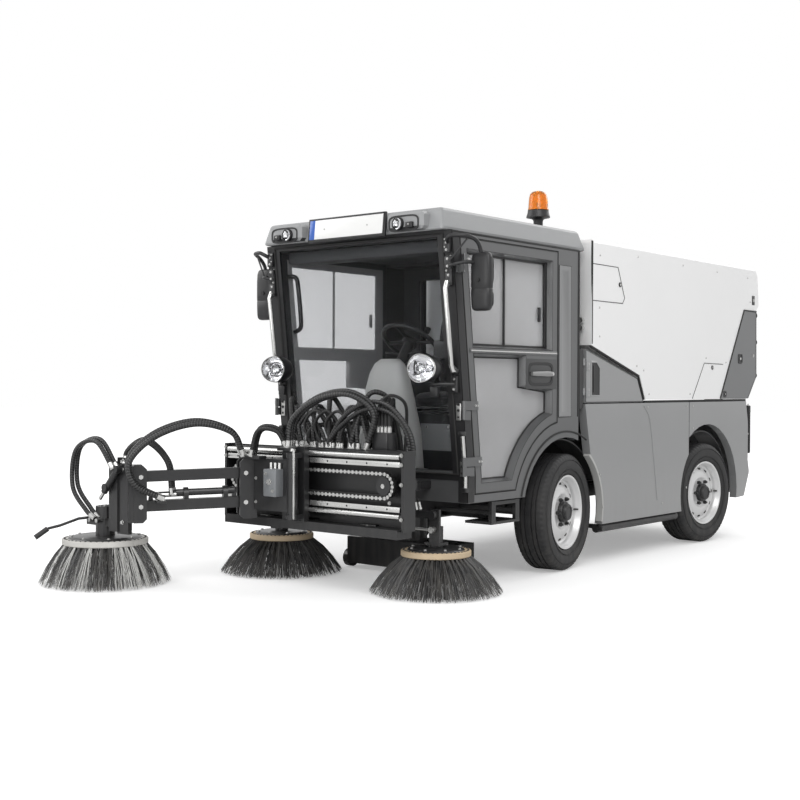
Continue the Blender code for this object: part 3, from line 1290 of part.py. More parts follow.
def hopper(root):
    pivot = empty("hopper_pivot", (0.0, HOPPER_PIVOT_Y, HOPPER_LOW), root)
    low = HOPPER_LOW
    wall = HOPPER_WALL
    slope = hopper_slope()
    rear = [(WHEELBASE + y, low + z) for y, z in HOPPER_REAR]
    top = (low + HOPPER_TOP_FRONT, low + HOPPER_TOP_REAR)
    tub = plate("hopper_tub", [(HOPPER_FRONT, top[0])] + rear[::-1] + slope, (-BODY_X, BODY_X), "X")
    tub = round_edges(tub, lambda corner: corner.z > top[1] - WELD, HOPPER_ROUND)
    back = WHEELBASE + HOPPER_BACK_WALL
    floor = ROOM_FLOOR_SHARE * wall
    bend = (slope[1][0] + ROOM_BEND_SHARES[0] * wall, slope[1][1] + ROOM_BEND_SHARES[1] * wall)
    room = plate("room", [(HOPPER_FRONT + wall, top[0] - wall), (back, top[1] - wall),
                          (back, rear[1][1] - ROOM_REAR_SHARE * wall),
                          (rear[0][0] - floor, low + wall), (slope[0][0] + floor, low + wall), bend,
                          (slope[2][0] + wall, slope[2][1] + ROOM_TOP_SHARE * wall)],
                 (wall - BODY_X, BODY_X - wall), "X")
    frame_y = WHEELBASE + MOUTH_BACK
    past = frame_y + 4 * OVERRUN
    pocket = box("pocket", (wall - BODY_X, BODY_X - wall), (frame_y, past), (low + BACK_Z[0], low + BACK_Z[1]))
    mouth = box("mouth", (-MOUTH_X, MOUTH_X), (frame_y - OVERRUN, past), (low + MOUTH_Z[0], low + MOUTH_Z[1]))
    tub = carve(tub, room, pocket, mouth, corner_recess(1, rear), corner_recess(-1, rear))
    ears = []
    ear_y = around(HOPPER_PIVOT_Y, HOPPER_EAR[1])
    for side in (-1, 1):
        ears.append(box("ear", around(side * HOPPER_EAR_X, HOPPER_EAR[0]), ear_y,
                        (low - HOPPER_EAR_DROP, low + HOPPER_EAR_RISE)))
    finish(fuse(tub, *ears), "hopper_white", pivot)
    panel = rear_corner(rear)
    finish(mirrored(panel, "rear_corner_right"), "rear_grey", pivot)
    finish(panel, "rear_grey", pivot)

    flap = empty("hopper_door_hinge", (0.0, WHEELBASE + DOOR_PIVOT[0], low + DOOR_PIVOT[1]), pivot)
    face = frame_y + FIT
    finish(box("hopper_door", (-DOOR_X, DOOR_X), (face, face + DOOR_THICK), (low + DOOR_Z[0], low + DOOR_Z[1])),
           "hopper_white", flap)
    depth = face + DOOR_THICK + FIT + STOWED_OUT
    turns = [(low + start, low + end, side) for start, end, side in STOWED_TURNS]
    route = [(-STOWED_X, depth, turns[0][0])]
    for start, end, side in turns:
        bend = arc((0.0, (start + end) / 2), (end - start) / 2, -90, 90, STOWED_STEPS)
        route += [(side * (STOWED_X + x), depth, z) for x, z in bend]
    route.append((-STOWED_X, depth, turns[-1][1]))
    finish(tube("stowed_hose", route, STOWED_RADIUS, 2), "cream_hose", flap)


def corner_recess(side, rear):
    """What is cut from the tub's side to take the grey corner panel, with a seam for its seal."""
    lean = (CORNER_SLANT - CORNER_FRONT) / CORNER_HIGH
    front = WHEELBASE + CORNER_FRONT - CORNER_SEAM
    top = HOPPER_LOW + CORNER_HIGH + CORNER_SEAM
    past = rear[1][0] + OVERRUN
    outline = [(front - lean * OVERRUN, HOPPER_LOW - OVERRUN), (past, HOPPER_LOW - OVERRUN), (past, top),
               (front + lean * (top - HOPPER_LOW), top)]
    return plate("recess", outline, span_of(side, BODY_X - CORNER_DEEP, BODY_X + OVERRUN), "X")


def rear_corner(rear):
    """The left corner panel: a plate that fills its recess and stands just proud of the tub."""
    top = HOPPER_LOW + CORNER_HIGH
    foot = HOPPER_LOW + CORNER_SEAM
    lean = (CORNER_SLANT - CORNER_FRONT) / CORNER_HIGH
    outline = [(WHEELBASE + CORNER_FRONT + lean * CORNER_SEAM, foot), (rear[0][0], foot),
               (rear[1][0] - CORNER_SEAM, rear[1][1]), (rear[2][0] - CORNER_SEAM, top), (WHEELBASE + CORNER_SLANT, top)]
    return plate("rear_corner_left", outline, (BODY_X - CORNER_DEEP + FIT, BODY_X + CORNER_PROUD), "X")


# Front frame and traverse chain

def front_frame(root):
    x = FRAME_X
    z = FRAME_Z
    frame = box("front_frame", (-x, x), (FRAME_BACK - FRAME_SHEET, FRAME_BACK), z)
    extras = []
    for side in (-1, 1):
        extras.append(box("end", span_of(side, x - 3 * END_SHEET / 4, x + END_SHEET / 4),
                          (FRAME_Y - END_OUT, FRAME_BACK - WELD), (z[0] - END_PROUD, z[1] + END_PROUD)))
    for height in (RAIL_TOP_Z, RAIL_BOTTOM_Z):
        extras.append(box("flat", (-x, x), (FRAME_Y + FLAT_SET, FRAME_BACK - WELD), around(height, FLAT_HALF)))
        extras.append(rod("bar", (-x, FRAME_Y, height), (x, FRAME_Y, height), RAIL_BAR))
    extras.append(box("beam", (-BEAM_X, BEAM_X), (FRAME_Y - BEAM_OUT, FRAME_BACK - WELD / 2), BEAM_Z))
    extras.append(rod("motor", (CHAIN_X, FRAME_BACK - END_OUT, CHAIN_Z), (CHAIN_X, FRAME_BACK + MOTOR_REAR, CHAIN_Z),
                      MOTOR_RADIUS))
    finish(fuse(frame, *extras), "black_steel", root)
    finish(chain_loop(), "bright_steel", root)


def chain_loop():
    """The traverse chain as one scalloped loop: a waist between each pair of rollers."""
    run = 2 * CHAIN_X
    round_links = round(math.pi * SPROCKET_RADIUS / CHAIN_PITCH)
    run_links = round(run / CHAIN_PITCH)

    def loop(radius, waist, run_steps, round_steps):
        points = []
        for side in (1, -1):
            for step in range(run_steps):
                x = side * (CHAIN_X - run * step / run_steps)
                points.append((x, CHAIN_Z + side * (radius - (waist if step % 2 else 0.0))))
            for step in range(round_steps):
                angle = math.pi * (side / 2 + step / round_steps)
                offset = radius - (waist if step % 2 else 0.0)
                points.append((offset * math.cos(angle) - side * CHAIN_X, CHAIN_Z + offset * math.sin(angle)))
        return points

    span = (FRAME_Y - CHAIN_OUT, FRAME_Y - CHAIN_OUT + CHAIN_THICK)
    chain = plate("traverse_chain", loop(SPROCKET_RADIUS + CHAIN_PLATE, CHAIN_WAIST, 2 * run_links, 2 * round_links),
                  span, "Y")
    inner = plate("inner", loop(SPROCKET_RADIUS - CHAIN_PLATE, 0.0, 1, 2 * round_links),
                  (span[0] - OVERRUN, span[1] + OVERRUN), "Y")
    chain = carve(chain, inner)
    middle = around(sum(span) / 2, SPROCKET_THICK / 2)
    extras = []
    for side in (-1, 1):
        x = side * CHAIN_X
        extras.append(rod("sprocket", (x, middle[0], CHAIN_Z), (x, middle[1], CHAIN_Z),
                          SPROCKET_RADIUS - SPROCKET_INSET, SPROCKET_SIDES))
        extras.append(rod("shaft", (x, FRAME_Y - SHAFT_OUT, CHAIN_Z),
                          (x, FRAME_BACK - FRAME_SHEET - FIT, CHAIN_Z), SHAFT_RADIUS))
    return fuse(chain, *extras)


# Third broom and its arm

def carriage(slide):
    """The carriage hangs on the traverse's two bars and carries the swing's lugs."""
    front = FRAME_Y - RAIL_BAR - SLIDE_GAP
    back = front - SHOE_DEEP + WELD / 2
    x, z = CARRIAGE_X, CARRIAGE_Z
    piece = box("carriage", x, (back - CARRIAGE_SHEET, back), z)
    rib = (back - CARRIAGE_SHEET - WELD / 2, front - WELD / 2)
    extras = [box("rib", (-SIDE_SHEET, SIDE_SHEET), rib, (z[0] - SHOE_INSET[0], z[1] + SHOE_INSET[0]))]
    for height in (RAIL_TOP_Z, RAIL_BOTTOM_Z):
        extras.append(box("shoe", (x[0] + SHOE_INSET[0], x[1] - SHOE_INSET[1]), (front - SHOE_DEEP, front),
                          around(height, SHOE_HALF)))
    for height in SWING_Z:
        place = around(height, LUG_HALF[1])
        extras.append(box("lug", around(SWING[0], LUG_HALF[0]), (SWING[1], back - CARRIAGE_SHEET / 2), place))
        extras.append(rod("lug_end", (*SWING, place[0] + FIT), (*SWING, place[1] - FIT), LUG_RADIUS, 18))
    finish(fuse(piece, *extras), "black_steel", slide)


def plate_outline(back, front, middle, high, chamfer):
    """A side plate seen from its side: its front corners are cut off."""
    low, top = around(middle, high / 2)
    return [(-back, low), (front - chamfer, low), (front, low + chamfer), (front, top - chamfer),
            (front - chamfer, top), (-back, top)]


def third_arm(root):
    slide = empty("traverse", (SWING[0], FRAME_Y, CHAIN_Z), root)
    carriage(slide)
    along = ARM_OUTER - ARM_INNER
    along.z = 0
    along.normalize()
    across = Vector((along.y, -along.x, 0))
    swing = empty("arm_swing", (*SWING, CHAIN_Z), slide)
    swing_bracket(swing, along, across)

    up = Vector((0, 0, ARM_SPACING))
    lift = empty("arm_lift", ARM_INNER, swing)
    eye = across * ARM_EYE_HALF
    for name, rise, parent in (("lower_beam", Vector(), lift),
                               ("upper_beam", up, empty("arm_lift_upper", ARM_INNER + up, swing))):
        bar = beam(name, ARM_INNER + rise, ARM_OUTER + rise, ARM_WIDE, ARM_HIGH)
        eyes = [rod("eye", end + rise - eye, end + rise + eye, ARM_EYE) for end in (ARM_INNER, ARM_OUTER)]
        finish(fuse(bar, *eyes), "black_steel", parent)
    arm_cylinder(lift, along)

    head = empty("arm_head_pivot", ARM_OUTER, lift)
    arm_head(head, along, across)
    tilt = empty("broom_tilt", TILT_PIVOT, head)
    broom_bracket(tilt)
    spin = empty("third_broom_spin", (*THIRD_BROOM, THIRD_RING_Z), tilt)
    finish(broom("third_broom", THIRD_BROOM, THIRD_RING, THIRD_TIP, THIRD_RING_Z), "bristle", spin)


def swing_bracket(swing, along, across):
    """The barrel between the lugs, and the two cheeks that hold the beams' inner ends."""
    low = SWING_Z[0] + LUG_HALF[1] + PIN_GAP
    high = SWING_Z[1] - LUG_HALF[1] - PIN_GAP
    barrel = rod("swing_bracket", (*SWING, low), (*SWING, high), BARREL_RADIUS, 18)
    body = box("body", (ARM_INNER.x + SWING_BODY_REACH, SWING[0] + SWING_BODY_PAST),
               around(SWING[1], SWING_BODY_HALF), (low + SWING_INSET, high - SWING_INSET))
    outline = plate_outline(CHEEK_HALF, CHEEK_HALF, CHEEK_MIDDLE, CHEEK_HIGH, CHEEK_CHAMFER)
    cheeks = [upright("cheek", outline, CHEEK_THICK / 2, ARM_INNER + across * offset, along)
              for offset in (-CHEEK_OFFSET, CHEEK_OFFSET)]
    back = ARM_INNER - along * WEB_BACK
    web = cross_web("web", back, across, CHEEK_MIDDLE, CHEEK_HIGH - WEB_INSET)
    link = beam("link", (back.x, back.y, LINK_Z), (ARM_INNER.x + LINK_REACH, SWING[1], LINK_Z), LINK_WIDE, LINK_HIGH)
    finish(fuse(barrel, body, web, link, *cheeks), "black_steel", swing)


def cross_web(name, place, across, middle, high):
    """The web that ties a pair of side plates."""
    reach = across * (CHEEK_OFFSET + WEB_OVER)
    start, end = place + reach, place - reach
    return beam(name, (start.x, start.y, middle), (end.x, end.y, middle), WEB_THICK, high)


def arm_cylinder(lift, along):
    """The lift cylinder over the lower beam, between two lugs on it."""
    line = ARM_OUTER - ARM_INNER
    up = Vector((0, 0, CYLINDER_LIFT))
    start, neck, end = (ARM_INNER + line * share + up for share in CYLINDER_SHARES)
    barrel = rod("arm_cylinder", start, neck, CYLINDER_RADIUS, 14)
    extras = [rod("rod", neck - along * WELD, end, CYLINDER_ROD, 10)]
    for place, radius in ((start, CYLINDER_RADIUS), (end, CYLINDER_ROD)):
        reach = (place - ARM_INNER).xy.length
        low = place.z - CYLINDER_LIFT + ARM_HIGH / 2 + 3 * FIT
        outline = [(reach - CYLINDER_FOOT, low), (reach + CYLINDER_FOOT, low),
                   (reach + CYLINDER_FOOT / 2, place.z + radius + WELD), (reach - CYLINDER_FOOT / 2, place.z + radius + WELD)]
        extras.append(upright("lug", outline, CYLINDER_FOOT, ARM_INNER, along))
    finish(fuse(barrel, *extras), "bright_steel", lift)


def arm_head(head, along, across):
    """The outer plates of the arm, the mast behind them and the fork of the tilt pivot."""
    outline = plate_outline(CHEEK_HALF, HEAD_FRONT, HEAD_MIDDLE, HEAD_HIGH, CHEEK_CHAMFER)
    outline = [(-reach + HEAD_FRONT - CHEEK_HALF, z) for reach, z in reversed(outline)]
    plates = [upright("plate", outline, CHEEK_THICK / 2, ARM_OUTER + across * offset, along)
              for offset in (-CHEEK_OFFSET, CHEEK_OFFSET)]
    web = cross_web("arm_head", ARM_OUTER + along * WEB_BACK, across, HEAD_MIDDLE, HEAD_HIGH - WEB_INSET)
    mast = box("mast", (ARM_OUTER.x + MAST_X[0], ARM_OUTER.x + MAST_X[1]),
               (ARM_OUTER.y + MAST_Y[0], ARM_OUTER.y + MAST_Y[1]), MAST_Z)
    fork_x = (TILT_PIVOT.x + FORK_X[0], TILT_PIVOT.x + FORK_X[1])
    fork = [box("fork", fork_x, around(TILT_PIVOT.y + offset, FORK_HALF), FORK_Z) for offset in (-FORK_Y, FORK_Y)]
    reach = FORK_Y + FORK_HALF / 3
    back = box("fork_back", (fork_x[1] - BAR / 4, fork_x[1] + FORK_BACK - BAR / 4), around(TILT_PIVOT.y, reach),
               (FORK_Z[0] + WELD, FORK_Z[1] - WELD))
    finish(fuse(web, *plates, mast, back, *fork), "black_steel", head)


def broom_bracket(tilt):
    """The broom's motor on its short arm, with the long handle that sets the tilt."""
    half = Vector((0, TILT_EYE_HALF, 0))
    piece = rod("broom_bracket", TILT_PIVOT - half, TILT_PIVOT + half, TILT_EYE, 14)
    x, y = THIRD_BROOM
    arm = beam("arm", TILT_PIVOT, (x - TILT_REACH, y, TILT_PIVOT.z), *TILT_ARM)
    foot = THIRD_RING_Z + RING_THICK + MOTOR_GAP
    motor = rod("motor", (x, y, foot), (x, y, THIRD_MOTOR_TOP), THIRD_MOTOR, 18)
    lever = tube("lever", [(x + place[0], y + place[1], place[2]) for place in LEVER_ROUTE + LEVER_END[:1]],
                 LEVER_RADIUS, 1)
    grip = [(x + place[0], y + place[1], place[2]) for place in LEVER_END]
    finish(fuse(piece, arm, motor, lever, rod("grip", *grip, LEVER_GRIP)), "black_steel", tilt)


# Brooms

def broom(name, centre, ring, tip, ring_z):
    """A disc with its ring and a fluted skirt of bristles, open underneath."""
    sides = 2 * TUFTS
    top = ring_z + SKIRT_SINK
    bm = bmesh.new()
    bmesh.ops.create_cone(bm, cap_ends=True, segments=sides, radius1=tip, radius2=ring - RING_LIP,
                          depth=top - BROOM_TIP_Z)
    for vert in bm.verts:
        vert.co.z += (top + BROOM_TIP_Z) / 2
        step = round(math.atan2(vert.co.y, vert.co.x) / (2 * math.pi / sides))
        if step % 2:
            vert.co.xy *= FLUTE_SHARE
    skirt = mesh_object(name, bm)
    hollow = rod("hollow", (0, 0, BROOM_TIP_Z - OVERRUN), (0, 0, ring_z - SKIRT_ROOF), tip + SKIRT_FLARE, sides,
                 ring - SKIRT_WALL)
    skirt = carve(skirt, hollow)
    rim_z = ring_z + RING_THICK
    disc = rod("ring", (0, 0, ring_z), (0, 0, rim_z), ring, sides)
    cap = rod("disc", (0, 0, rim_z - WELD), (0, 0, rim_z + DISC_HIGH), ring - DISC_IN[0], sides, ring - DISC_IN[1])
    piece = fuse(skirt, disc, cap)
    piece.data.transform(Matrix.Translation((*centre, 0)))
    return piece


def side_brooms(root):
    """Each side broom hangs on a parallelogram from its bracket on the chassis rail."""
    y = sum(LINK_Y) / 2
    for side, name in ((1, "left"), (-1, "right")):
        ends = (side * LINK_INNER_X, side * LINK_OUTER_X)
        lift = empty("side_lift_" + name, (ends[0], y, LINK_UPPER_Z), root)
        bar = box("side_arm_" + name, span_of(side, LINK_INNER_X, LINK_OUTER_X), LINK_Y,
                  around(LINK_UPPER_Z, LINK_ARM_HALF))
        eyes = [rod("eye", (x, LINK_Y[0] + PIN_GAP, LINK_UPPER_Z), (x, LINK_SEAT, LINK_UPPER_Z), LINK_END, 16)
                for x in ends]
        finish(fuse(bar, *eyes), "black_steel", lift)
        low = empty("side_rod_pivot_" + name, (ends[0], y, LINK_LOWER_Z), root)
        link = rod("side_rod_" + name, (ends[0], y, LINK_LOWER_Z), (ends[1], y, LINK_LOWER_Z), LINK_ROD)
        eyes = [rod("eye", (x, LINK_Y[0], LINK_LOWER_Z), (x, LINK_SEAT, LINK_LOWER_Z), LINK_EYE) for x in ends]
        finish(fuse(link, *eyes), "bright_steel", low)
        hang = empty("side_hanger_pivot_" + name, (ends[1], y, LINK_UPPER_Z), lift)
        side_hanger(side, name, hang)
        centre = (side * SIDE_BROOM[0], SIDE_BROOM[1])
        spin = empty("side_broom_spin_" + name, (*centre, SIDE_RING_Z), hang)
        finish(broom("side_broom_" + name, centre, SIDE_RING, SIDE_TIP, SIDE_RING_Z), "bristle", spin)


def side_hanger(side, name, hang):
    """The plate on the linkage's outer pins, with the shelf that carries the broom's motor."""
    foot = SIDE_RING_Z + RING_THICK + MOTOR_GAP
    shelf_z = (foot + SHELF_Z[0], foot + SHELF_Z[1])
    hanger = box("side_hanger_" + name, span_of(side, *HANGER_X), HANGER_Y, (shelf_z[0] - WELD, HANGER_TOP))
    shelf = box("shelf", span_of(side, *SHELF_X), (HANGER_Y[0] + WELD / 2, SHELF_Y), shelf_z)
    x, y = side * SIDE_BROOM[0], SIDE_BROOM[1]
    motor = rod("motor", (x, y, foot + FIT), (x, y, SIDE_MOTOR_TOP), SIDE_MOTOR, 18)
    finish(fuse(hanger, shelf, motor), "black_steel", hang)


# Suction mouth

def suction_mouth(root):
    x, z = MOUTH_BOX_X, MOUTH_BOX_Z
    y = (DUCT_Y - MOUTH_BOX_Y[0], DUCT_Y + MOUTH_BOX_Y[1])
    wall, lip = MOUTH_WALL, MOUTH_LIP
    mouth = box("suction_mouth", (-x, x), y, z)
    hollow = box("hollow", (wall - x, x - wall), (y[0] + lip, y[1] - lip), (z[0] - OVERRUN, z[1] - wall))
    inner = DUCT_RADIUS - DUCT_WALL
    duct = rod("duct", (0.0, DUCT_Y, z[1] - wall / 2), (0.0, DUCT_Y, CAB_LOW - FIT), DUCT_RADIUS, 20)
    bore = rod("bore", (0.0, DUCT_Y, z[1] - 2 * wall), (0.0, DUCT_Y, CAB_LOW + OVERRUN), inner, 20)
    castors = []
    wheel_y = DUCT_Y - CASTOR_AHEAD
    for side in (-1, 1):
        ends = around(side * CASTOR_X, CASTOR_HALF)
        castors.append(rod("castor", (ends[0], wheel_y, CASTOR_Z), (ends[1], wheel_y, CASTOR_Z), CASTOR_RADIUS, 16))
        castors.append(box("fork", span_of(side, x - CASTOR_FORK[0], x + CASTOR_FORK[0]),
                           around(wheel_y, CASTOR_FORK[1]), (CASTOR_Z - WELD, CASTOR_FORK[2])))
    finish(carve(fuse(mouth, duct, *castors), hollow, bore), "black_steel", root)


def settle(root):
    """Move the vehicle so that its box stands centred on the world's origin."""
    bpy.context.view_layer.update()
    graph = bpy.context.evaluated_depsgraph_get()
    corners = []
    for obj in PARTS.objects:
        if obj.type == "MESH":
            shape = obj.evaluated_get(graph)
            corners += [shape.matrix_world @ vert.co for vert in shape.data.vertices]
    low = [min(corner[axis] for corner in corners) for axis in range(3)]
    high = [max(corner[axis] for corner in corners) for axis in range(3)]
    root.location = (-(low[0] + high[0]) / 2, -(low[1] + high[1]) / 2, -low[2])
    print("vehicle frame moved by", [round(value, 5) for value in root.location])


ROOT = empty("sweeper", (0.0, 0.0, 0.0), None)
running_gear(ROOT)
chassis(ROOT)
cab(ROOT)
doors(ROOT)
cab_fittings(ROOT)
lamps_and_mirrors(ROOT)
body_panels(ROOT)
hopper(ROOT)
front_frame(ROOT)
third_arm(ROOT)
side_brooms(ROOT)
suction_mouth(ROOT)
settle(ROOT)
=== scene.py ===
"""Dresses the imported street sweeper: materials, tyres, brooms, hoses, cab, hopper fittings and studio.

Shapes are written in the vehicle's own frame in metres: x = 0 is its centre plane with its left side
at +X, y = 0 is the front axle with the rear at +Y, and z = 0 is the ground. Shape.place moves them by
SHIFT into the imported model's frame.
"""

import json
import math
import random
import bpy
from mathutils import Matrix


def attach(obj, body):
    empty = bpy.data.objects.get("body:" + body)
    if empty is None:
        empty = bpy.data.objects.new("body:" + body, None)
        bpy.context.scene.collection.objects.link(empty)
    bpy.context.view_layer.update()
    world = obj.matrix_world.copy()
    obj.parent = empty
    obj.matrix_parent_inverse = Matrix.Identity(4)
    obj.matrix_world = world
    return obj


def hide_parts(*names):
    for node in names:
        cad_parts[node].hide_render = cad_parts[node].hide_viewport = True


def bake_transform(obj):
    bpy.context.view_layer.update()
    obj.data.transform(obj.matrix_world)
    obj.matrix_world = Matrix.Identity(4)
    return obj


bl_info = {
    "name": "Street Sweeper Dressing",
    "version": (1, 0, 0),
    "blender": (4, 5, 0),
    "location": "View3D > Sidebar > Sweeper",
    "description": "Builds the finished look of the compact street sweeper on its packed frame",
    "category": "Object",
}

import bmesh
import bpy
from mathutils import Matrix, Vector

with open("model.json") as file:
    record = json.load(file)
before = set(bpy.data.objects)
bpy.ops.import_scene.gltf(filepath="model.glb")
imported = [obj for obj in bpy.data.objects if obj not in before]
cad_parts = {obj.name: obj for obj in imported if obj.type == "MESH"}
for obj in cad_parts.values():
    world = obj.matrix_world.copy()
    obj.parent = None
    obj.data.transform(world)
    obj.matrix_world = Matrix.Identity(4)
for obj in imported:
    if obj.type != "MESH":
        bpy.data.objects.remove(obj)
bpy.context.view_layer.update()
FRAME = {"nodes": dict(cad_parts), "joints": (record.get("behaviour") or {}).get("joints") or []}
JOINTS = {joint["name"]: joint for joint in FRAME["joints"]}
TYRE_RADIUS = 0.327
KINGPIN_X = 0.46
WHEELBASE = 1.739
SHIFT = Vector(JOINTS["steer_front_left"]["pos_m"]) - Vector((KINGPIN_X, 0.0, TYRE_RADIUS))

CAMERA_PLACE = Vector((4.382, -5.931, 1.038))
CAMERA_TURN = (39.8, -0.72, 0.23)
CAMERA_LENS = 56.13
SENSOR = 36.0
SIDES = ((1, "left"), (-1, "right"))

BODY_X = 0.65
CAB_X = 0.645
DOOR_LOW = 0.485
DOOR_HIGH = 1.77
DOOR_REAR = -0.09
DOOR_ARCH = 0.515
DOOR_PILLAR = 0.062
DOOR_FRAME = 0.052
DOOR_RAIL_Z = 1.21
DOOR_RAIL = 0.015
DOOR_GLASS_X = 0.5997
DIVIDER_Y = -0.554
LATCH_Y = -0.221
HANDLE_Y = (-0.372, -0.145)
HANDLE_Z = (1.04, 1.155)
HINGE_Z = (0.626, 0.909, 1.642)
PILLAR_X = 0.588
GRAB_X = 0.617
GRAB_Z = (1.105, 1.545)
PILLAR_PANEL_Y = (-0.078, 0.04)
PILLAR_PANEL_Z = (0.86, 1.7)
PLATE_Y = -1.128
PLATE_Z = 1.852
POD_LAMP_X = 0.417
POD_FACE_Y = -1.15
HEADLIGHT_X = 0.509
HEADLIGHT_Y = -1.086
HEADLIGHT_Z = 1.118
MIRROR_X = (0.7, 0.82)
MIRROR_Y = -0.9575
BEACON = (0.4, 0.08)
COVER_X = 0.647
HOSE_BAR_Z = 0.56
HOPPER_FRONT_Y = 0.267
RIVETS = ((0.349, 1.788), (0.791, 1.814), (1.376, 1.807), (1.865, 1.8), (2.349, 1.793), (2.39, 1.627),
          (0.345, 1.486), (0.347, 1.32), (0.784, 1.155), (0.868, 1.129), (0.939, 0.985), (1.485, 0.983),
          (1.711, 1.22), (2.011, 1.195))
FLAP = ((0.268, 1.735), (0.553, 1.733), (0.632, 1.555), (0.609, 1.523), (0.268, 1.524))
HATCH = ((1.517, 0.953), (1.685, 1.186), (1.964, 1.182))
CAB_LOW = 0.44
CAB_HIGH = 1.8
CAB_REAR = 0.13
CAB_TOP_FRONT = -1.054
CAB_SILL_FRONT = -0.912
CAB_SILL_Z = 0.575
FRAME_Y = -1.38
CHAIN_Z = 0.549
CHAIN_X = 0.5
CHAIN_FACE_Y = -1.3925
CHAIN_HALF = 0.059
ARM_INNER = Vector((-0.366, -1.49, 0.43))
ARM_OUTER = Vector((-0.66, -1.93, 0.417))
ARM_SPACING = 0.15
THIRD_BROOM = Vector((-0.95, -1.925, 0.0))
SIDE_BROOM = Vector((0.544, -1.039, 0.0))


# Shader groups and materials

def socket(tree, name, way, kind, value=None):
    item = tree.interface.new_socket(name=name, in_out=way, socket_type=kind)
    if value is not None:
        item.default_value = value
    return item


def add(tree, kind, links=None, **settings):
    """One shader node: settings are its own values, links its inputs by name or number."""
    item = tree.nodes.new(kind)
    for key, value in settings.items():
        setattr(item, key, value)
    for key, value in (links or {}).items():
        if isinstance(value, bpy.types.NodeSocket):
            tree.links.new(value, item.inputs[key])
        else:
            item.inputs[key].default_value = value
    return item


def worn_surface():
    """A colour that varies softly, gathers dust low down, and a fine grain for the bump."""
    group = bpy.data.node_groups.get("worn_surface")
    if group:
        return group
    group = bpy.data.node_groups.new("worn_surface", "ShaderNodeTree")
    socket(group, "Colour", "INPUT", "NodeSocketColor", (0.5, 0.5, 0.5, 1.0))
    socket(group, "Dust Colour", "INPUT", "NodeSocketColor", (0.3, 0.28, 0.25, 1.0))
    socket(group, "Shade Spread", "INPUT", "NodeSocketFloat", 0.06)
    socket(group, "Dust", "INPUT", "NodeSocketFloat", 0.25)
    socket(group, "Dust Height", "INPUT", "NodeSocketFloat", 0.6)
    socket(group, "Roughness", "INPUT", "NodeSocketFloat", 0.45)
    socket(group, "Roughness Spread", "INPUT", "NodeSocketFloat", 0.1)
    socket(group, "Grain Scale", "INPUT", "NodeSocketFloat", 400.0)
    socket(group, "Colour", "OUTPUT", "NodeSocketColor")
    socket(group, "Roughness", "OUTPUT", "NodeSocketFloat")
    socket(group, "Height", "OUTPUT", "NodeSocketFloat")
    take = group.nodes.new("NodeGroupInput").outputs
    give = group.nodes.new("NodeGroupOutput")
    place = add(group, "ShaderNodeTexCoord").outputs["Object"]
    cloud = add(group, "ShaderNodeTexNoise", {"Vector": place, "Scale": 2.2, "Detail": 6.0, "Roughness": 0.6})
    grain = add(group, "ShaderNodeTexNoise", {"Vector": place, "Scale": take["Grain Scale"], "Detail": 2.0})
    streak_place = add(group, "ShaderNodeMapping", {"Vector": place, "Scale": (9.0, 9.0, 1.2)})
    streak = add(group, "ShaderNodeTexNoise", {"Vector": streak_place.outputs[0], "Scale": 3.0,
                                               "Detail": 4.0})
    shade = add(group, "ShaderNodeMath", {0: cloud.outputs[0], 1: 0.5}, operation="SUBTRACT")
    spread = add(group, "ShaderNodeMath", {0: shade.outputs[0], 1: take["Shade Spread"], 2: 1.0},
                 operation="MULTIPLY_ADD")
    tone = add(group, "ShaderNodeVectorMath", {0: take["Colour"], 3: spread.outputs[0]}, operation="SCALE")
    height = add(group, "ShaderNodeSeparateXYZ", {0: place}).outputs[2]
    low = add(group, "ShaderNodeMapRange", {"Value": height, "From Min": take["Dust Height"],
                                            "From Max": 0.02, "To Min": 0.0, "To Max": 1.0})
    patch = add(group, "ShaderNodeMapRange", {"Value": streak.outputs[0], "From Min": 0.38, "From Max": 0.72})
    mask = add(group, "ShaderNodeMath", {0: low.outputs[0], 1: patch.outputs[0]}, operation="MULTIPLY")
    amount = add(group, "ShaderNodeMath", {0: mask.outputs[0], 1: take["Dust"]}, operation="MULTIPLY")
    mixed = add(group, "ShaderNodeMix", {0: amount.outputs[0], 6: tone.outputs[0], 7: take["Dust Colour"]},
                data_type="RGBA")
    rough = add(group, "ShaderNodeMath", {0: shade.outputs[0], 1: take["Roughness Spread"],
                                          2: take["Roughness"]}, operation="MULTIPLY_ADD")
    dull = add(group, "ShaderNodeMath", {0: amount.outputs[0], 1: 0.5, 2: rough.outputs[0]},
               operation="MULTIPLY_ADD")
    group.links.new(mixed.outputs[2], give.inputs["Colour"])
    group.links.new(dull.outputs[0], give.inputs["Roughness"])
    group.links.new(grain.outputs[0], give.inputs["Height"])
    return group


def blank_material(name):
    """A new material with its node tree and its surface shader."""
    material = bpy.data.materials.new(name)
    material.use_nodes = True
    return material, material.node_tree, material.node_tree.nodes["Principled BSDF"]


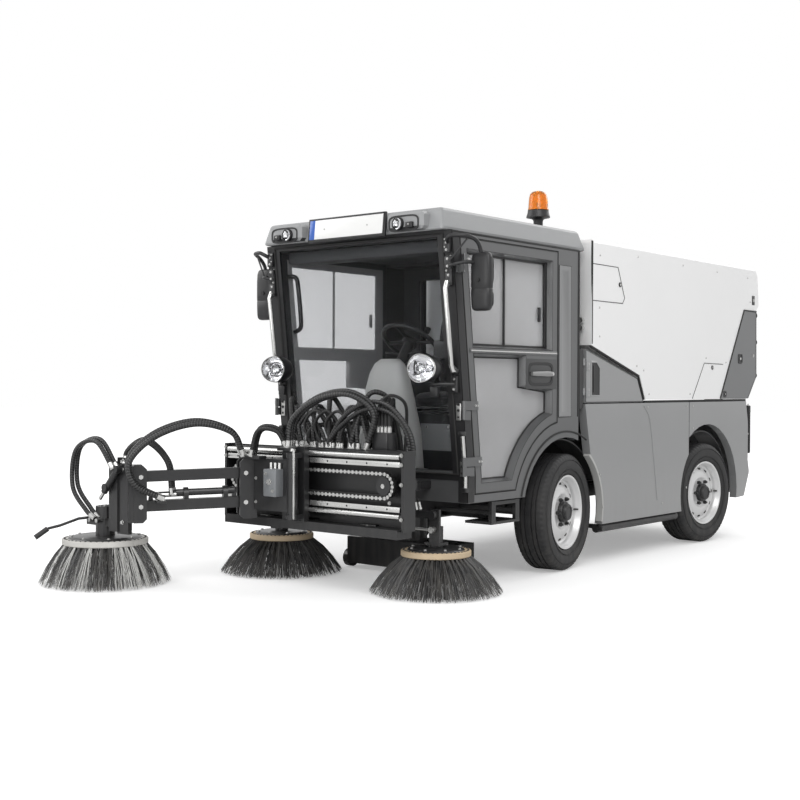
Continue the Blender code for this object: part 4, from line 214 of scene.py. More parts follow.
def finish(name, colour, roughness=0.45, metallic=0.0, dust=0.2, grain=500.0, bump=0.05, spread=0.08,
           coat=0.0, reach=0.6):
    """A painted, plated or moulded finish made from the shared worn surface."""
    material, tree, shader = blank_material(name)
    base = add(tree, "ShaderNodeGroup", node_tree=worn_surface())
    base.inputs["Colour"].default_value = (*colour[:3], 1.0)
    base.inputs["Shade Spread"].default_value = spread
    base.inputs["Dust"].default_value = dust
    base.inputs["Dust Height"].default_value = reach
    base.inputs["Roughness"].default_value = roughness
    base.inputs["Grain Scale"].default_value = grain
    shader.inputs["Metallic"].default_value = metallic
    shader.inputs["Coat Weight"].default_value = coat
    shader.inputs["Coat Roughness"].default_value = 0.12
    tree.links.new(base.outputs["Colour"], shader.inputs["Base Color"])
    tree.links.new(base.outputs["Roughness"], shader.inputs["Roughness"])
    relief = add(tree, "ShaderNodeBump", {"Strength": bump, "Distance": 0.001,
                                          "Height": base.outputs["Height"]})
    tree.links.new(relief.outputs[0], shader.inputs["Normal"])
    return material


def clear_finish(name, colour, roughness=0.02, transmission=1.0, ior=1.45):
    """Glass or clear plastic, with faint smears on it."""
    material, tree, shader = blank_material(name)
    shader.inputs["Base Color"].default_value = (*colour[:3], 1.0)
    shader.inputs["Transmission Weight"].default_value = transmission
    shader.inputs["IOR"].default_value = ior
    place = add(tree, "ShaderNodeTexCoord").outputs["Object"]
    smear = add(tree, "ShaderNodeTexNoise", {"Vector": place, "Scale": 5.0, "Detail": 5.0})
    rough = add(tree, "ShaderNodeMapRange", {"Value": smear.outputs[0], "From Min": 0.3, "From Max": 0.8,
                                             "To Min": roughness, "To Max": roughness + 0.05})
    tree.links.new(rough.outputs[0], shader.inputs["Roughness"])
    return material


def ringed_finish(name, colour, groove, spacing, roughness=0.6):
    """A ribbed or braided hose cover: bands across the hose's length from its own UV map."""
    material, tree, shader = blank_material(name)
    along = add(tree, "ShaderNodeUVMap")
    split = add(tree, "ShaderNodeSeparateXYZ", {0: along.outputs[0]})
    turns = add(tree, "ShaderNodeMath", {0: split.outputs[1], 1: math.tau / spacing}, operation="MULTIPLY")
    slant = add(tree, "ShaderNodeMath", {0: split.outputs[0], 1: math.tau, 2: turns.outputs[0]},
                operation="MULTIPLY_ADD")
    wave = add(tree, "ShaderNodeMath", {0: slant.outputs[0]}, operation="SINE")
    band = add(tree, "ShaderNodeMapRange", {"Value": wave.outputs[0], "From Min": -1.0, "From Max": 1.0})
    mixed = add(tree, "ShaderNodeMix", {0: band.outputs[0], 6: (*groove[:3], 1.0), 7: (*colour[:3], 1.0)},
                data_type="RGBA")
    tree.links.new(mixed.outputs[2], shader.inputs["Base Color"])
    shader.inputs["Roughness"].default_value = roughness
    relief = add(tree, "ShaderNodeBump", {"Strength": 0.9, "Distance": 0.002, "Height": band.outputs[0]})
    tree.links.new(relief.outputs[0], shader.inputs["Normal"])
    return material


def cloth_finish(name, colour, weave=900.0):
    """A woven seat cloth with crossed threads."""
    material, tree, shader = blank_material(name)
    place = add(tree, "ShaderNodeTexCoord").outputs["Object"]
    warp = add(tree, "ShaderNodeTexWave", {"Vector": place, "Scale": weave, "Distortion": 1.0},
               bands_direction="X")
    weft = add(tree, "ShaderNodeTexWave", {"Vector": place, "Scale": weave, "Distortion": 1.0},
               bands_direction="Z")
    threads = add(tree, "ShaderNodeMath", {0: warp.outputs["Fac"], 1: weft.outputs["Fac"]},
                  operation="MULTIPLY")
    dark = tuple(c * 0.55 for c in colour[:3])
    mixed = add(tree, "ShaderNodeMix", {0: threads.outputs[0], 6: (*dark, 1.0), 7: (*colour[:3], 1.0)},
                data_type="RGBA")
    tree.links.new(mixed.outputs[2], shader.inputs["Base Color"])
    shader.inputs["Roughness"].default_value = 0.9
    shader.inputs["Sheen Weight"].default_value = 0.25
    relief = add(tree, "ShaderNodeBump", {"Strength": 0.4, "Distance": 0.001, "Height": threads.outputs[0]})
    tree.links.new(relief.outputs[0], shader.inputs["Normal"])
    return material


LOOKS = {
    "body_grey": (finish, "body", 0.34, 0.25, 0.25, 900.0, 0.03, 0.1, 0.35),
    "cab_grey": (finish, "cab", 0.34, 0.25, 0.1, 900.0, 0.03, 0.1, 0.35),
    "chain_steel": (finish, (0.05, 0.05, 0.05), 0.4, 0.7, 0.1, 800.0, 0.05, 0.3),
    "door_glass": (clear_finish, (0.96, 0.96, 0.97), 0.02, 0.72, 1.35),
    "handle_grey": (finish, (0.06, 0.061, 0.062), 0.5, 0.0, 0.0, 700.0, 0.1, 0.08),
    "panel_grey": (finish, (0.23, 0.232, 0.235), 0.34, 0.2, 0.0, 900.0, 0.03, 0.1, 0.35),
    "grip_grey": (finish, (0.3, 0.3, 0.3), 0.3, 0.5, 0.0, 700.0, 0.05, 0.08),
    "roof_grey": (finish, "roof", 0.42, 0.0, 0.0, 700.0, 0.05, 0.08, 0.1),
    "rear_grey": (finish, "rear", 0.42, 0.1, 0.0, 900.0, 0.04, 0.08, 0.2),
    "hopper_white": (finish, "hopper", 0.36, 0.0, 0.0, 900.0, 0.02, 0.04, 0.2),
    "black_steel": (finish, "frame", 0.38, 0.2, 0.1, 700.0, 0.08, 0.25, 0.2, 0.5),
    "black_plastic": (finish, (0.014, 0.014, 0.015), 0.42, 0.0, 0.08, 1500.0, 0.12, 0.2, 0.0, 0.7),
    "black_rubber": (finish, (0.012, 0.012, 0.012), 0.62, 0.0, 0.3, 900.0, 0.1, 0.2, 0.0, 0.7),
    "tyre": (finish, (0.017, 0.017, 0.018), 0.62, 0.0, 0.12, 650.0, 0.15, 0.35, 0.0, 0.7),
    "bright_steel": (finish, (0.62, 0.62, 0.61), 0.26, 1.0, 0.1, 600.0, 0.05, 0.25),
    "zinc": (finish, (0.48, 0.48, 0.47), 0.34, 0.9, 0.15, 800.0, 0.05, 0.35),
    "rim_silver": (finish, (0.7, 0.7, 0.7), 0.34, 0.35, 0.06, 700.0, 0.05, 0.15, 0.2, 0.8),
    "iron": (finish, (0.055, 0.055, 0.055), 0.6, 0.6, 0.4, 300.0, 0.25, 0.4),
    "wood_ring": (finish, (0.6, 0.47, 0.31), 0.6, 0.0, 0.2, 120.0, 0.1, 0.35),
    "pale_ring": (finish, (0.62, 0.61, 0.58), 0.6, 0.0, 0.2, 60.0, 0.2, 0.9),
    "bristle_dark": (finish, "bristle", 0.45, 0.0, 0.35, 90.0, 0.0, 0.7, 0.0, 0.4),
    "bristle_mid": (finish, (0.11, 0.11, 0.11), 0.42, 0.0, 0.35, 90.0, 0.0, 0.7, 0.0, 0.4),
    "bristle_pale": (finish, (0.62, 0.62, 0.6), 0.38, 0.0, 0.2, 90.0, 0.0, 0.4, 0.0, 0.4),
    "white_paint": (finish, (0.78, 0.78, 0.77), 0.3, 0.0, 0.05, 900.0, 0.01, 0.03, 0.3),
    "blue_band": (finish, (0.02, 0.1, 0.42), 0.3, 0.0, 0.0, 900.0, 0.01, 0.03, 0.3),
    "reflector": (finish, (0.85, 0.85, 0.86), 0.08, 1.0, 0.0, 60.0, 0.35, 0.05),
    "red_lens": (finish, (0.45, 0.01, 0.01), 0.15, 0.0, 0.05, 80.0, 0.2, 0.1, 0.8),
    "amber_lens": (finish, (0.8, 0.3, 0.01), 0.15, 0.0, 0.05, 80.0, 0.2, 0.1, 0.8),
    "mirror": (finish, (0.9, 0.9, 0.9), 0.03, 1.0, 0.0, 50.0, 0.0, 0.02),
    "glass": (clear_finish, (0.93, 0.94, 0.95), 0.01, 1.0, 1.16),
    "amber": (clear_finish, (1.0, 0.42, 0.02), 0.05, 0.75),
    "lens": (clear_finish, (0.95, 0.96, 0.97), 0.02),
    "console_grey": (finish, (0.42, 0.42, 0.41), 0.5, 0.0, 0.05, 900.0, 0.05, 0.08),
    "lining": (finish, (0.045, 0.046, 0.048), 0.7, 0.0, 0.05, 700.0, 0.1, 0.12),
    "hem_grey": (finish, (0.46, 0.46, 0.45), 0.45, 0.1, 0.3, 700.0, 0.05, 0.15, 0.1),
    "valve_grey": (finish, (0.2, 0.21, 0.22), 0.4, 0.3, 0.2, 700.0, 0.05, 0.2, 0.1),
    "seat_cloth": (cloth_finish, (0.055, 0.055, 0.058)),
    "hose": (ringed_finish, (0.02, 0.02, 0.02), (0.004, 0.004, 0.004), 0.008, 0.45),
    "sleeve": (ringed_finish, (0.035, 0.035, 0.036), (0.004, 0.004, 0.004), 0.014, 0.35),
    "cream_hose": (ringed_finish, (0.62, 0.58, 0.47), (0.3, 0.27, 0.2), 0.03, 0.55),
}


def look(short):
    """The finish of that name; a colour given by name comes from the panel."""
    name = "sweeper_" + short
    material = bpy.data.materials.get(name)
    if material:
        return material
    maker, colour, *rest = LOOKS[short]
    if isinstance(colour, str):
        colour = getattr(bpy.context.scene.sweeper_colours, colour)
    return maker(name, colour, *rest)


# Shapes

class Shape:
    """Gathers simple solids in one mesh; every solid takes the finish that is set when it is added.

    The finishes given at the start come first, and use() adds any other when it is first needed.
    """

    def __init__(self, *finishes):
        self.bm = bmesh.new()
        self.finishes = list(finishes)
        self.index = 0
        self.uv = self.bm.loops.layers.uv.new("along")

    def use(self, name):
        if name not in self.finishes:
            self.finishes.append(name)
        self.index = self.finishes.index(name)
        return self

    def keep(self, verts, matrix=None):
        if matrix is not None:
            bmesh.ops.transform(self.bm, matrix=matrix, verts=verts)
        for face in {face for vert in verts for face in vert.link_faces}:
            face.material_index = self.index
        return self

    def box(self, x, y, z, bevel=0.0, matrix=None):
        middle = Vector((sum(x), sum(y), sum(z))) / 2
        scale = Matrix.Diagonal((abs(x[1] - x[0]), abs(y[1] - y[0]), abs(z[1] - z[0]), 1.0))
        made = bmesh.ops.create_cube(self.bm, size=1.0, matrix=Matrix.Translation(middle) @ scale)["verts"]
        if bevel:
            edges = list({edge for vert in made for edge in vert.link_edges})
            made = bmesh.ops.bevel(self.bm, geom=edges, offset=bevel, segments=2, affect="EDGES",
                                   profile=0.5)["verts"]
        return self.keep(made, matrix)

    def bar(self, start, end, wide, high, bevel=0.0):
        """A box-section bar between two points."""
        start = Vector(start)
        end = Vector(end)
        aim = (end - start).to_track_quat("Y", "Z").to_matrix().to_4x4()
        length = (end - start).length
        return self.box((-wide / 2, wide / 2), (0.0, length), (-high / 2, high / 2), bevel,
                        Matrix.Translation(start) @ aim)

    def rod(self, start, end, radius, sides=16, end_radius=None):
        start = Vector(start)
        end = Vector(end)
        aim = (end - start).to_track_quat("Z", "Y").to_matrix().to_4x4()
        made = bmesh.ops.create_cone(self.bm, cap_ends=True, segments=sides, radius1=radius, radius2=radius
                                     if end_radius is None else end_radius, depth=(end - start).length,
                                     matrix=Matrix.Translation((start + end) / 2) @ aim)["verts"]
        return self.keep(made)

    def bolt(self, place, out, size=0.01):
        """A washer and a hexagon head on a face, looking along out."""
        place = Vector(place)
        out = Vector(out).normalized()
        self.rod(place, place + out * size * 0.16, size * 1.05, 16)
        return self.rod(place + out * size * 0.15, place + out * size * 0.8, size * 0.82, 6)

    def lathe(self, profile, sides, matrix, closed=False, wobble=None):
        """A profile of (radius, height) turned about Z; wobble can move each point by its turn."""
        rings = []
        for step in range(sides):
            angle = math.tau * step / sides
            ring = []
            for k, (radius, height) in enumerate(profile):
                if wobble:
                    radius, height = wobble(k, step, radius, height)
                ring.append(self.bm.verts.new((radius * math.cos(angle), radius * math.sin(angle), height)))
            rings.append(ring)
        count = len(profile)
        for step in range(sides):
            ring = rings[step]
            after = rings[(step + 1) % sides]
            for k in range(count if closed else count - 1):
                self.bm.faces.new((ring[k], after[k], after[(k + 1) % count], ring[(k + 1) % count]))
        return self.keep([vert for ring in rings for vert in ring], matrix)

    def tube(self, route, radius, sides=10, steps=0, ribs=None):
        """A round tube along a route, with its length in metres in the UV map."""
        route = [Vector(p) for p in route]
        if steps:
            route = curved(route, steps)
        rings = []
        normal = None
        travel = 0.0
        lengths = []
        for k, point in enumerate(route):
            ahead = route[min(k + 1, len(route) - 1)]
            behind = route[max(k - 1, 0)]
            tangent = (ahead - behind).normalized()
            if normal is None:
                normal = tangent.orthogonal().normalized()
            normal = (normal - tangent * normal.dot(tangent)).normalized()
            side = tangent.cross(normal)
            size = radius if ribs is None else radius - ribs * (k % 2)
            ring = [self.bm.verts.new(point + size * (normal * math.cos(math.tau * j / sides) + side
                                                      * math.sin(math.tau * j / sides)))
                    for j in range(sides)]
            if k:
                travel += (point - route[k - 1]).length
            lengths.append(travel)
            rings.append(ring)
        for k in range(len(rings) - 1):
            for j in range(sides):
                face = self.bm.faces.new((rings[k][j], rings[k][(j + 1) % sides],
                                          rings[k + 1][(j + 1) % sides], rings[k + 1][j]))
                marks = ((j, k), (j + 1, k), (j + 1, k + 1), (j, k + 1))
                for loop, (across, along) in zip(face.loops, marks):
                    loop[self.uv].uv = (across / sides, lengths[along])
        self.bm.faces.new(list(reversed(rings[0])))
        self.bm.faces.new(rings[-1])
        return self.keep([vert for ring in rings for vert in ring])

    def sheet(self, outline, axis, span, bevel=0.0):
        """A flat outline pushed out along an axis: (y, z) along X, (x, z) along Y, (x, y) along Z."""
        def spot(pair, depth):
            if axis == "X":
                return (depth, pair[0], pair[1])
            if axis == "Y":
                return (pair[0], depth, pair[1])
            return (pair[0], pair[1], depth)
        low = [self.bm.verts.new(spot(pair, span[0])) for pair in outline]
        high = [self.bm.verts.new(spot(pair, span[1])) for pair in outline]
        faces = [self.bm.faces.new(low), self.bm.faces.new(list(reversed(high)))]
        count = len(outline)
        for k in range(count):
            faces.append(self.bm.faces.new((low[k], high[k], high[(k + 1) % count], low[(k + 1) % count])))
        bmesh.ops.recalc_face_normals(self.bm, faces=faces)
        verts = low + high
        if bevel:
            edges = list({edge for vert in verts for edge in vert.link_edges})
            verts = bmesh.ops.bevel(self.bm, geom=edges, offset=bevel, segments=2, affect="EDGES",
                                    profile=0.5)["verts"]
        return self.keep(verts)

    def skin(self, made):
        """Faces between neighbouring rings of equal count."""
        count = len(made[0])
        for a, b in zip(made, made[1:]):
            for k in range(count):
                self.bm.faces.new((a[k], a[(k + 1) % count], b[(k + 1) % count], b[k]))
        return made

    def loft(self, rings):
        """A skin over rings of equal count, closed at both ends."""
        made = self.skin([[self.bm.verts.new(point) for point in ring] for ring in rings])
        self.bm.faces.new(list(reversed(made[0])))
        self.bm.faces.new(made[-1])
        return self.keep([vert for ring in made for vert in ring])

    def band(self, steps, cap=False):
        """A strip between (y, z) outlines at their own x, such as a chamfered window frame."""
        made = self.skin([[self.bm.verts.new((x, y, z)) for y, z in outline] for x, outline in steps])
        if cap:
            self.bm.faces.new(made[-1])
        return self.keep([vert for ring in made for vert in ring])

    def band_frame(self, middle, outer, inner, span, matrix=None):
        """Four thin bars around a flat plate."""
        x, z = middle
        self.box((x - outer[0], x + outer[0]), span, (z + inner[1], z + outer[1]), 0.0, matrix)
        self.box((x - outer[0], x + outer[0]), span, (z - outer[1], z - inner[1]), 0.0, matrix)
        self.box((x - outer[0], x - inner[0]), span, (z - outer[1], z + outer[1]), 0.0, matrix)
        return self.box((x + inner[0], x + outer[0]), span, (z - outer[1], z + outer[1]), 0.0, matrix)

    def flip(self):
        """Turns everything so far into its counterpart on the vehicle's other side."""
        bmesh.ops.scale(self.bm, vec=(-1, 1, 1), verts=self.bm.verts[:])
        bmesh.ops.reverse_faces(self.bm, faces=self.bm.faces[:])
        return self

    def mirror(self):
        """Adds the same solids on the vehicle's other side."""
        made = bmesh.ops.duplicate(self.bm, geom=self.bm.verts[:] + self.bm.edges[:] + self.bm.faces[:])
        verts = [item for item in made["geom"] if isinstance(item, bmesh.types.BMVert)]
        faces = [item for item in made["geom"] if isinstance(item, bmesh.types.BMFace)]
        bmesh.ops.scale(self.bm, vec=(-1, 1, 1), verts=verts)
        bmesh.ops.reverse_faces(self.bm, faces=faces)
        return self

    def build(self, name, smooth=40.0, matrix=None):
        """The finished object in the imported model's frame."""
        mesh = bpy.data.meshes.new(name)
        bmesh.ops.recalc_face_normals(self.bm, faces=self.bm.faces[:])
        self.bm.to_mesh(mesh)
        self.bm.free()
        if matrix is not None:
            mesh.transform(matrix)
        mesh.transform(Matrix.Translation(SHIFT))
        mesh.shade_smooth()
        mesh.set_sharp_from_angle(angle=math.radians(smooth))
        for finish_name in self.finishes:
            mesh.materials.append(look(finish_name))
        obj = bpy.data.objects.new(name, mesh)
        bpy.context.scene.collection.objects.link(obj)
        return obj

    def place(self, name, body, stands_for=(), slot=None, smooth=40.0, matrix=None):
        """Makes the object and rides it on its body."""
        obj = self.build(name, smooth, matrix)
        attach(obj, body)
        if stands_for:
            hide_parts(*stands_for)
        return obj

    def place_bend(self, name):
        """Makes the object and bakes its placement into its mesh; it rides on no body."""
        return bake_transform(self.build(name))


def curved(route, steps):
    """Points along a smooth curve through the route's own points."""
    ends = [2 * route[0] - route[1]] + route + [2 * route[-1] - route[-2]]
    points = []
    for k in range(1, len(ends) - 2):
        a, b, c, d = ends[k - 1:k + 3]
        for step in range(steps):
            t = step / steps
            points.append(0.5 * ((2 * b) + (c - a) * t + (2 * a - 5 * b + 4 * c - d) * t * t
                                 + (3 * b - a - 3 * c + d) * t ** 3))
    return points + [route[-1]]


def arc(centre, radius, start, end, steps):
    """Points of an arc, its angles in degrees."""
    return [(centre[0] + radius * math.cos(math.radians(start + (end - start) * k / steps)), centre[1]
             + radius * math.sin(math.radians(start + (end - start) * k / steps)))
            for k in range(steps + 1)]


def cab_front(z):
    """The cab's front face at a height: it leans back towards the sill."""
    lean = (CAB_SILL_FRONT - CAB_TOP_FRONT) / (CAB_HIGH - CAB_SILL_Z)
    return CAB_TOP_FRONT + (CAB_HIGH - max(z, CAB_SILL_Z)) * lean


def front_strip(low, high, near, far):
    """A (y, z) outline along the cab's front between two heights, at two distances from its face."""
    return [(cab_front(high) + near, high), (cab_front(low) + near, low), (cab_front(low) + far, low),
            (cab_front(high) + far, high)]


def wheel_frame(name, side):
    """A wheel's place at rest: +Z runs outboard along its axle."""
    joint = JOINTS["spin_" + name]
    axis = Vector(joint["axis"]) * side
    turn = axis.to_track_quat("Z", "Y").to_matrix().to_4x4()
    return Matrix.Translation(Vector(joint["pos_m"]) - SHIFT) @ turn


# Studio

def build_studio(sizes):
    """The pale floor, soft lamps and the camera at the photograph's place."""
    scene = bpy.context.scene
    scene.view_settings.view_transform = "Standard"
    world = bpy.data.worlds.new("studio")
    scene.world = world
    world.use_nodes = True
    tree = world.node_tree
    sky = tree.nodes["Background"]
    sky.inputs[0].default_value = (1.0, 1.0, 1.0, 1.0)
    path = add(tree, "ShaderNodeLightPath")
    seen = add(tree, "ShaderNodeMath", {0: path.outputs["Is Camera Ray"],
                                        1: path.outputs["Is Transmission Ray"]}, operation="MAXIMUM")
    glossy = add(tree, "ShaderNodeMath", {0: path.outputs["Is Glossy Ray"], 1: 0.8}, operation="MULTIPLY")
    both = add(tree, "ShaderNodeMath", {0: seen.outputs[0], 1: glossy.outputs[0]}, operation="MAXIMUM")
    level = add(tree, "ShaderNodeMapRange", {"Value": both.outputs[0], "To Min": sizes.ambient,
                                             "To Max": 1.0})
    tree.links.new(level.outputs[0], sky.inputs[1])

    bm = bmesh.new()
    reach = sizes.floor
    corners = [bm.verts.new((x, y, 0.0)) for x, y in ((-reach, -reach), (reach, -reach), (reach, reach),
                                                      (-reach, reach))]
    bm.faces.new(corners)
    mesh = bpy.data.meshes.new("floor")
    bm.to_mesh(mesh)
    bm.free()
    floor = bpy.data.objects.new("floor", mesh)
    scene.collection.objects.link(floor)
    material = bpy.data.materials.new("studio_floor")
    material.use_nodes = True
    tree = material.node_tree
    shader = tree.nodes["Principled BSDF"]
    shader.inputs["Base Color"].default_value = (0.86, 0.86, 0.86, 1.0)
    shader.inputs["Roughness"].default_value = 0.9
    path = add(tree, "ShaderNodeLightPath")
    place = add(tree, "ShaderNodeTexCoord").outputs["Object"]
    away = add(tree, "ShaderNodeVectorMath", {0: place}, operation="LENGTH")
    lift = add(tree, "ShaderNodeMapRange", {"Value": away.outputs[1], "From Min": 2.2, "From Max": 8.0,
                                            "To Min": sizes.floor_lift, "To Max": 0.75})
    seen = add(tree, "ShaderNodeMath", {0: path.outputs["Is Camera Ray"], 1: lift.outputs[0]},
               operation="MULTIPLY")
    shader.inputs["Emission Color"].default_value = (1.0, 1.0, 1.0, 1.0)
    tree.links.new(seen.outputs[0], shader.inputs["Emission Strength"])
    mesh.materials.append(material)

    lamps = (("key", (5.5, -5.5, 6.5), 5.0, 330.0), ("side", (-5.5, -3.5, 4.5), 4.0, 130.0),
             ("rear", (1.0, 6.5, 6.0), 5.0, 190.0), ("front", (0.5, -8.0, 2.2), 3.0, 90.0))
    for name, place, size, power in lamps:
        lamp = bpy.data.lights.new(name, "AREA")
        lamp.energy = power * sizes.lamp
        lamp.size = size
        obj = bpy.data.objects.new(name, lamp)
        obj.location = place
        obj.rotation_euler = (Vector((0.2, -0.1, 0.8)) - Vector(place)).to_track_quat("-Z", "Y").to_euler()
        scene.collection.objects.link(obj)

    camera = bpy.data.cameras.new("camera")
    camera.lens = CAMERA_LENS
    camera.sensor_width = SENSOR
    view = bpy.data.objects.new("camera", camera)
    turn, pitch, roll = (math.radians(angle) for angle in CAMERA_TURN)
    view.matrix_world = (Matrix.Translation(CAMERA_PLACE + SHIFT) @ Matrix.Rotation(turn, 4, "Z")
                         @ Matrix.Rotation(math.pi / 2 + pitch, 4, "X") @ Matrix.Rotation(roll, 4, "Z"))
    scene.collection.objects.link(view)
    scene.camera = view


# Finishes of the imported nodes

NODE_LOOKS = {
    "cab_grey": ("cab_frame", "door_left", "door_right"),
    "body_grey": ("side_panel_left", "side_panel_right", "rear_body",
                  "side_cover_left", "side_cover_right"),
    "roof_grey": ("cab_roof",),
    "rear_grey": ("rear_corner_left", "rear_corner_right"),
    "hopper_white": ("hopper_tub", "hopper_door"),
    "glass": ("windscreen", "rear_window"),
    "door_glass": ("door_glass_left", "door_glass_right"),
    "iron": ("engine_block",),
    "black_steel": ("chassis_frame", "front_axle", "rear_axle", "knuckle_front_left", "knuckle_front_right",
                    "knuckle_rear_left", "knuckle_rear_right", "front_frame", "carriage", "swing_bracket",
                    "lower_beam", "upper_beam", "arm_head", "broom_bracket", "side_arm_left", "side_arm_right",
                    "side_hanger_left", "side_hanger_right", "suction_mouth", "arm_cylinder"),
    "zinc": ("side_rod_left", "side_rod_right"),
    "chain_steel": ("traverse_chain",),
    "black_plastic": ("dashboard", "mirror_left", "mirror_right", "headlight_left", "headlight_right"),
    "amber": ("beacon",),
    "seat_cloth": ("seat",),
    "cream_hose": ("stowed_hose",),
}


def dress_nodes():
    """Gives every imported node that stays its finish, with a darker lining on the cab's inner faces."""
    middle = Vector((0.0, -0.45, 1.2)) + SHIFT
    for name, nodes in NODE_LOOKS.items():
        for node in nodes:
            obj = FRAME["nodes"][node]
            obj.data.materials.clear()
            obj.data.materials.append(look(name))
            lined = node in ("cab_frame", "door_left", "door_right", "cab_roof")
            if lined:
                obj.data.materials.append(look("lining"))
            for polygon in obj.data.polygons:
                towards = (middle - polygon.center).normalized()
                inner = abs(polygon.center.x - SHIFT.x) < 0.64 and polygon.center.z > 0.48
                polygon.material_index = 1 if lined and inner and polygon.normal.dot(towards) > 0.45 else 0


# Wheels

def build_tyre(name, side, sizes):
    """A road tyre with four grooves, sipes between them and lugs on its shoulders."""
    blocks = 64
    sides = blocks * 3
    half = 0.1
    top = TYRE_RADIUS - 0.001
    groove = sizes.tread
    bead = 0.2078
    profile = [(bead, 0.076), (bead + 0.006, 0.084), (bead + 0.018, 0.09), (bead + 0.04, 0.0975),
               (bead + 0.062, half), (top - 0.042, 0.0985), (top - 0.03, 0.0955), (top - 0.02, 0.0915),
               (top - 0.008, 0.0845), (top - 0.002, 0.076)]
    tread = [0.07, 0.05, 0.049, 0.043, 0.042, 0.023, 0.022, 0.016, 0.015]
    deep = {0.049, 0.043, 0.022, 0.016}
    profile += [(top - (groove if z in deep else 0.0), z) for z in tread]
    middle = len(profile)
    profile += [(radius, -z) for radius, z in reversed(profile)]
    count = len(profile)

    def wobble(k, step, radius, height):
        mark = k if k < middle else count - 1 - k
        block = step % 3
        if block == 2 and mark in (7, 8, 9, 10):
            radius -= groove * (0.55 if mark < 9 else 0.75)
        if block == 1 and step % 2 and mark in (14, 15, 17, 18):
            radius -= groove * 0.35
        return radius, height

    shape = Shape("tyre")
    shape.lathe(profile, sides, None, True, wobble)
    for out in (1, -1):
        for radius in (bead + 0.03, bead + 0.085):
            ring = [(radius - 0.0012, out * 0.096), (radius, out * 0.1006), (radius + 0.0012, out * 0.096)]
            shape.lathe(ring, 64, None)
    shape.place("tread_tyre_" + name, "wheel_" + name, ["tyre_" + name], "tyre", 30.0,
                wheel_frame(name, side))


def build_rim(name, side):
    """A pressed steel rim: rolled lip, dished face with slots, six nuts and a dark hub."""
    shape = Shape("rim_silver")
    edge = 0.2074
    profile = [(edge, 0.0862), (edge - 0.004, 0.0868), (edge - 0.01, 0.085), (edge - 0.014, 0.079),
               (edge - 0.016, 0.07), (edge - 0.024, 0.062), (edge - 0.027, 0.052), (edge - 0.028, 0.04),
               (0.17, 0.033), (0.164, 0.0345), (0.158, 0.04), (0.148, 0.047), (0.132, 0.0545),
               (0.116, 0.059), (0.108, 0.06), (0.1, 0.059), (0.096, 0.056), (0.093, 0.054), (0.06, 0.054),
               (0.056, 0.054)]
    shape.lathe(profile, 96, None)
    back = [(edge, 0.0862), (edge - 0.002, 0.074), (edge - 0.018, 0.06), (edge - 0.018, -0.06),
            (edge, -0.074), (edge, -0.0862), (edge - 0.006, -0.0862), (edge - 0.024, -0.06),
            (edge - 0.024, 0.03), (0.16, 0.028), (0.056, 0.048), (0.0, 0.048)]
    shape.lathe(back, 64, None)
    shape.use("black_rubber")
    for k in range(12):
        turn = Matrix.Rotation(math.tau * k / 12, 4, "Z")
        shape.box((0.146, 0.163), (-0.0125, 0.0125), (0.025, 0.046), 0.0045, turn)
    for k in range(6):
        angle = math.tau * k / 6
        spot = Vector((0.0785 * math.cos(angle), 0.0785 * math.sin(angle), 0.0535))
        shape.use("rim_silver").rod(spot, spot + Vector((0, 0, 0.003)), 0.015, 20)
        shape.use("black_steel").rod(spot + Vector((0, 0, 0.002)), spot + Vector((0, 0, 0.019)), 0.0115, 6)
        shape.rod(spot + Vector((0, 0, 0.018)), spot + Vector((0, 0, 0.027)), 0.0065, 12)
    hub = [(0.06, 0.053), (0.059, 0.076), (0.056, 0.08), (0.047, 0.0815), (0.045, 0.095), (0.042, 0.0985),
           (0.03, 0.1), (0.029, 0.097), (0.0, 0.097)]
    shape.use("black_plastic").lathe(hub, 40, None)
    valve = Vector((edge - 0.036, 0.0, 0.05))
    shape.use("black_rubber").rod(valve, valve + Vector((0.006, 0, 0.026)), 0.0045, 10)
    shape.place("dished_rim_" + name, "wheel_" + name, ["rim_" + name], "rim_silver", 35.0,
                wheel_frame(name, side))


# Brooms

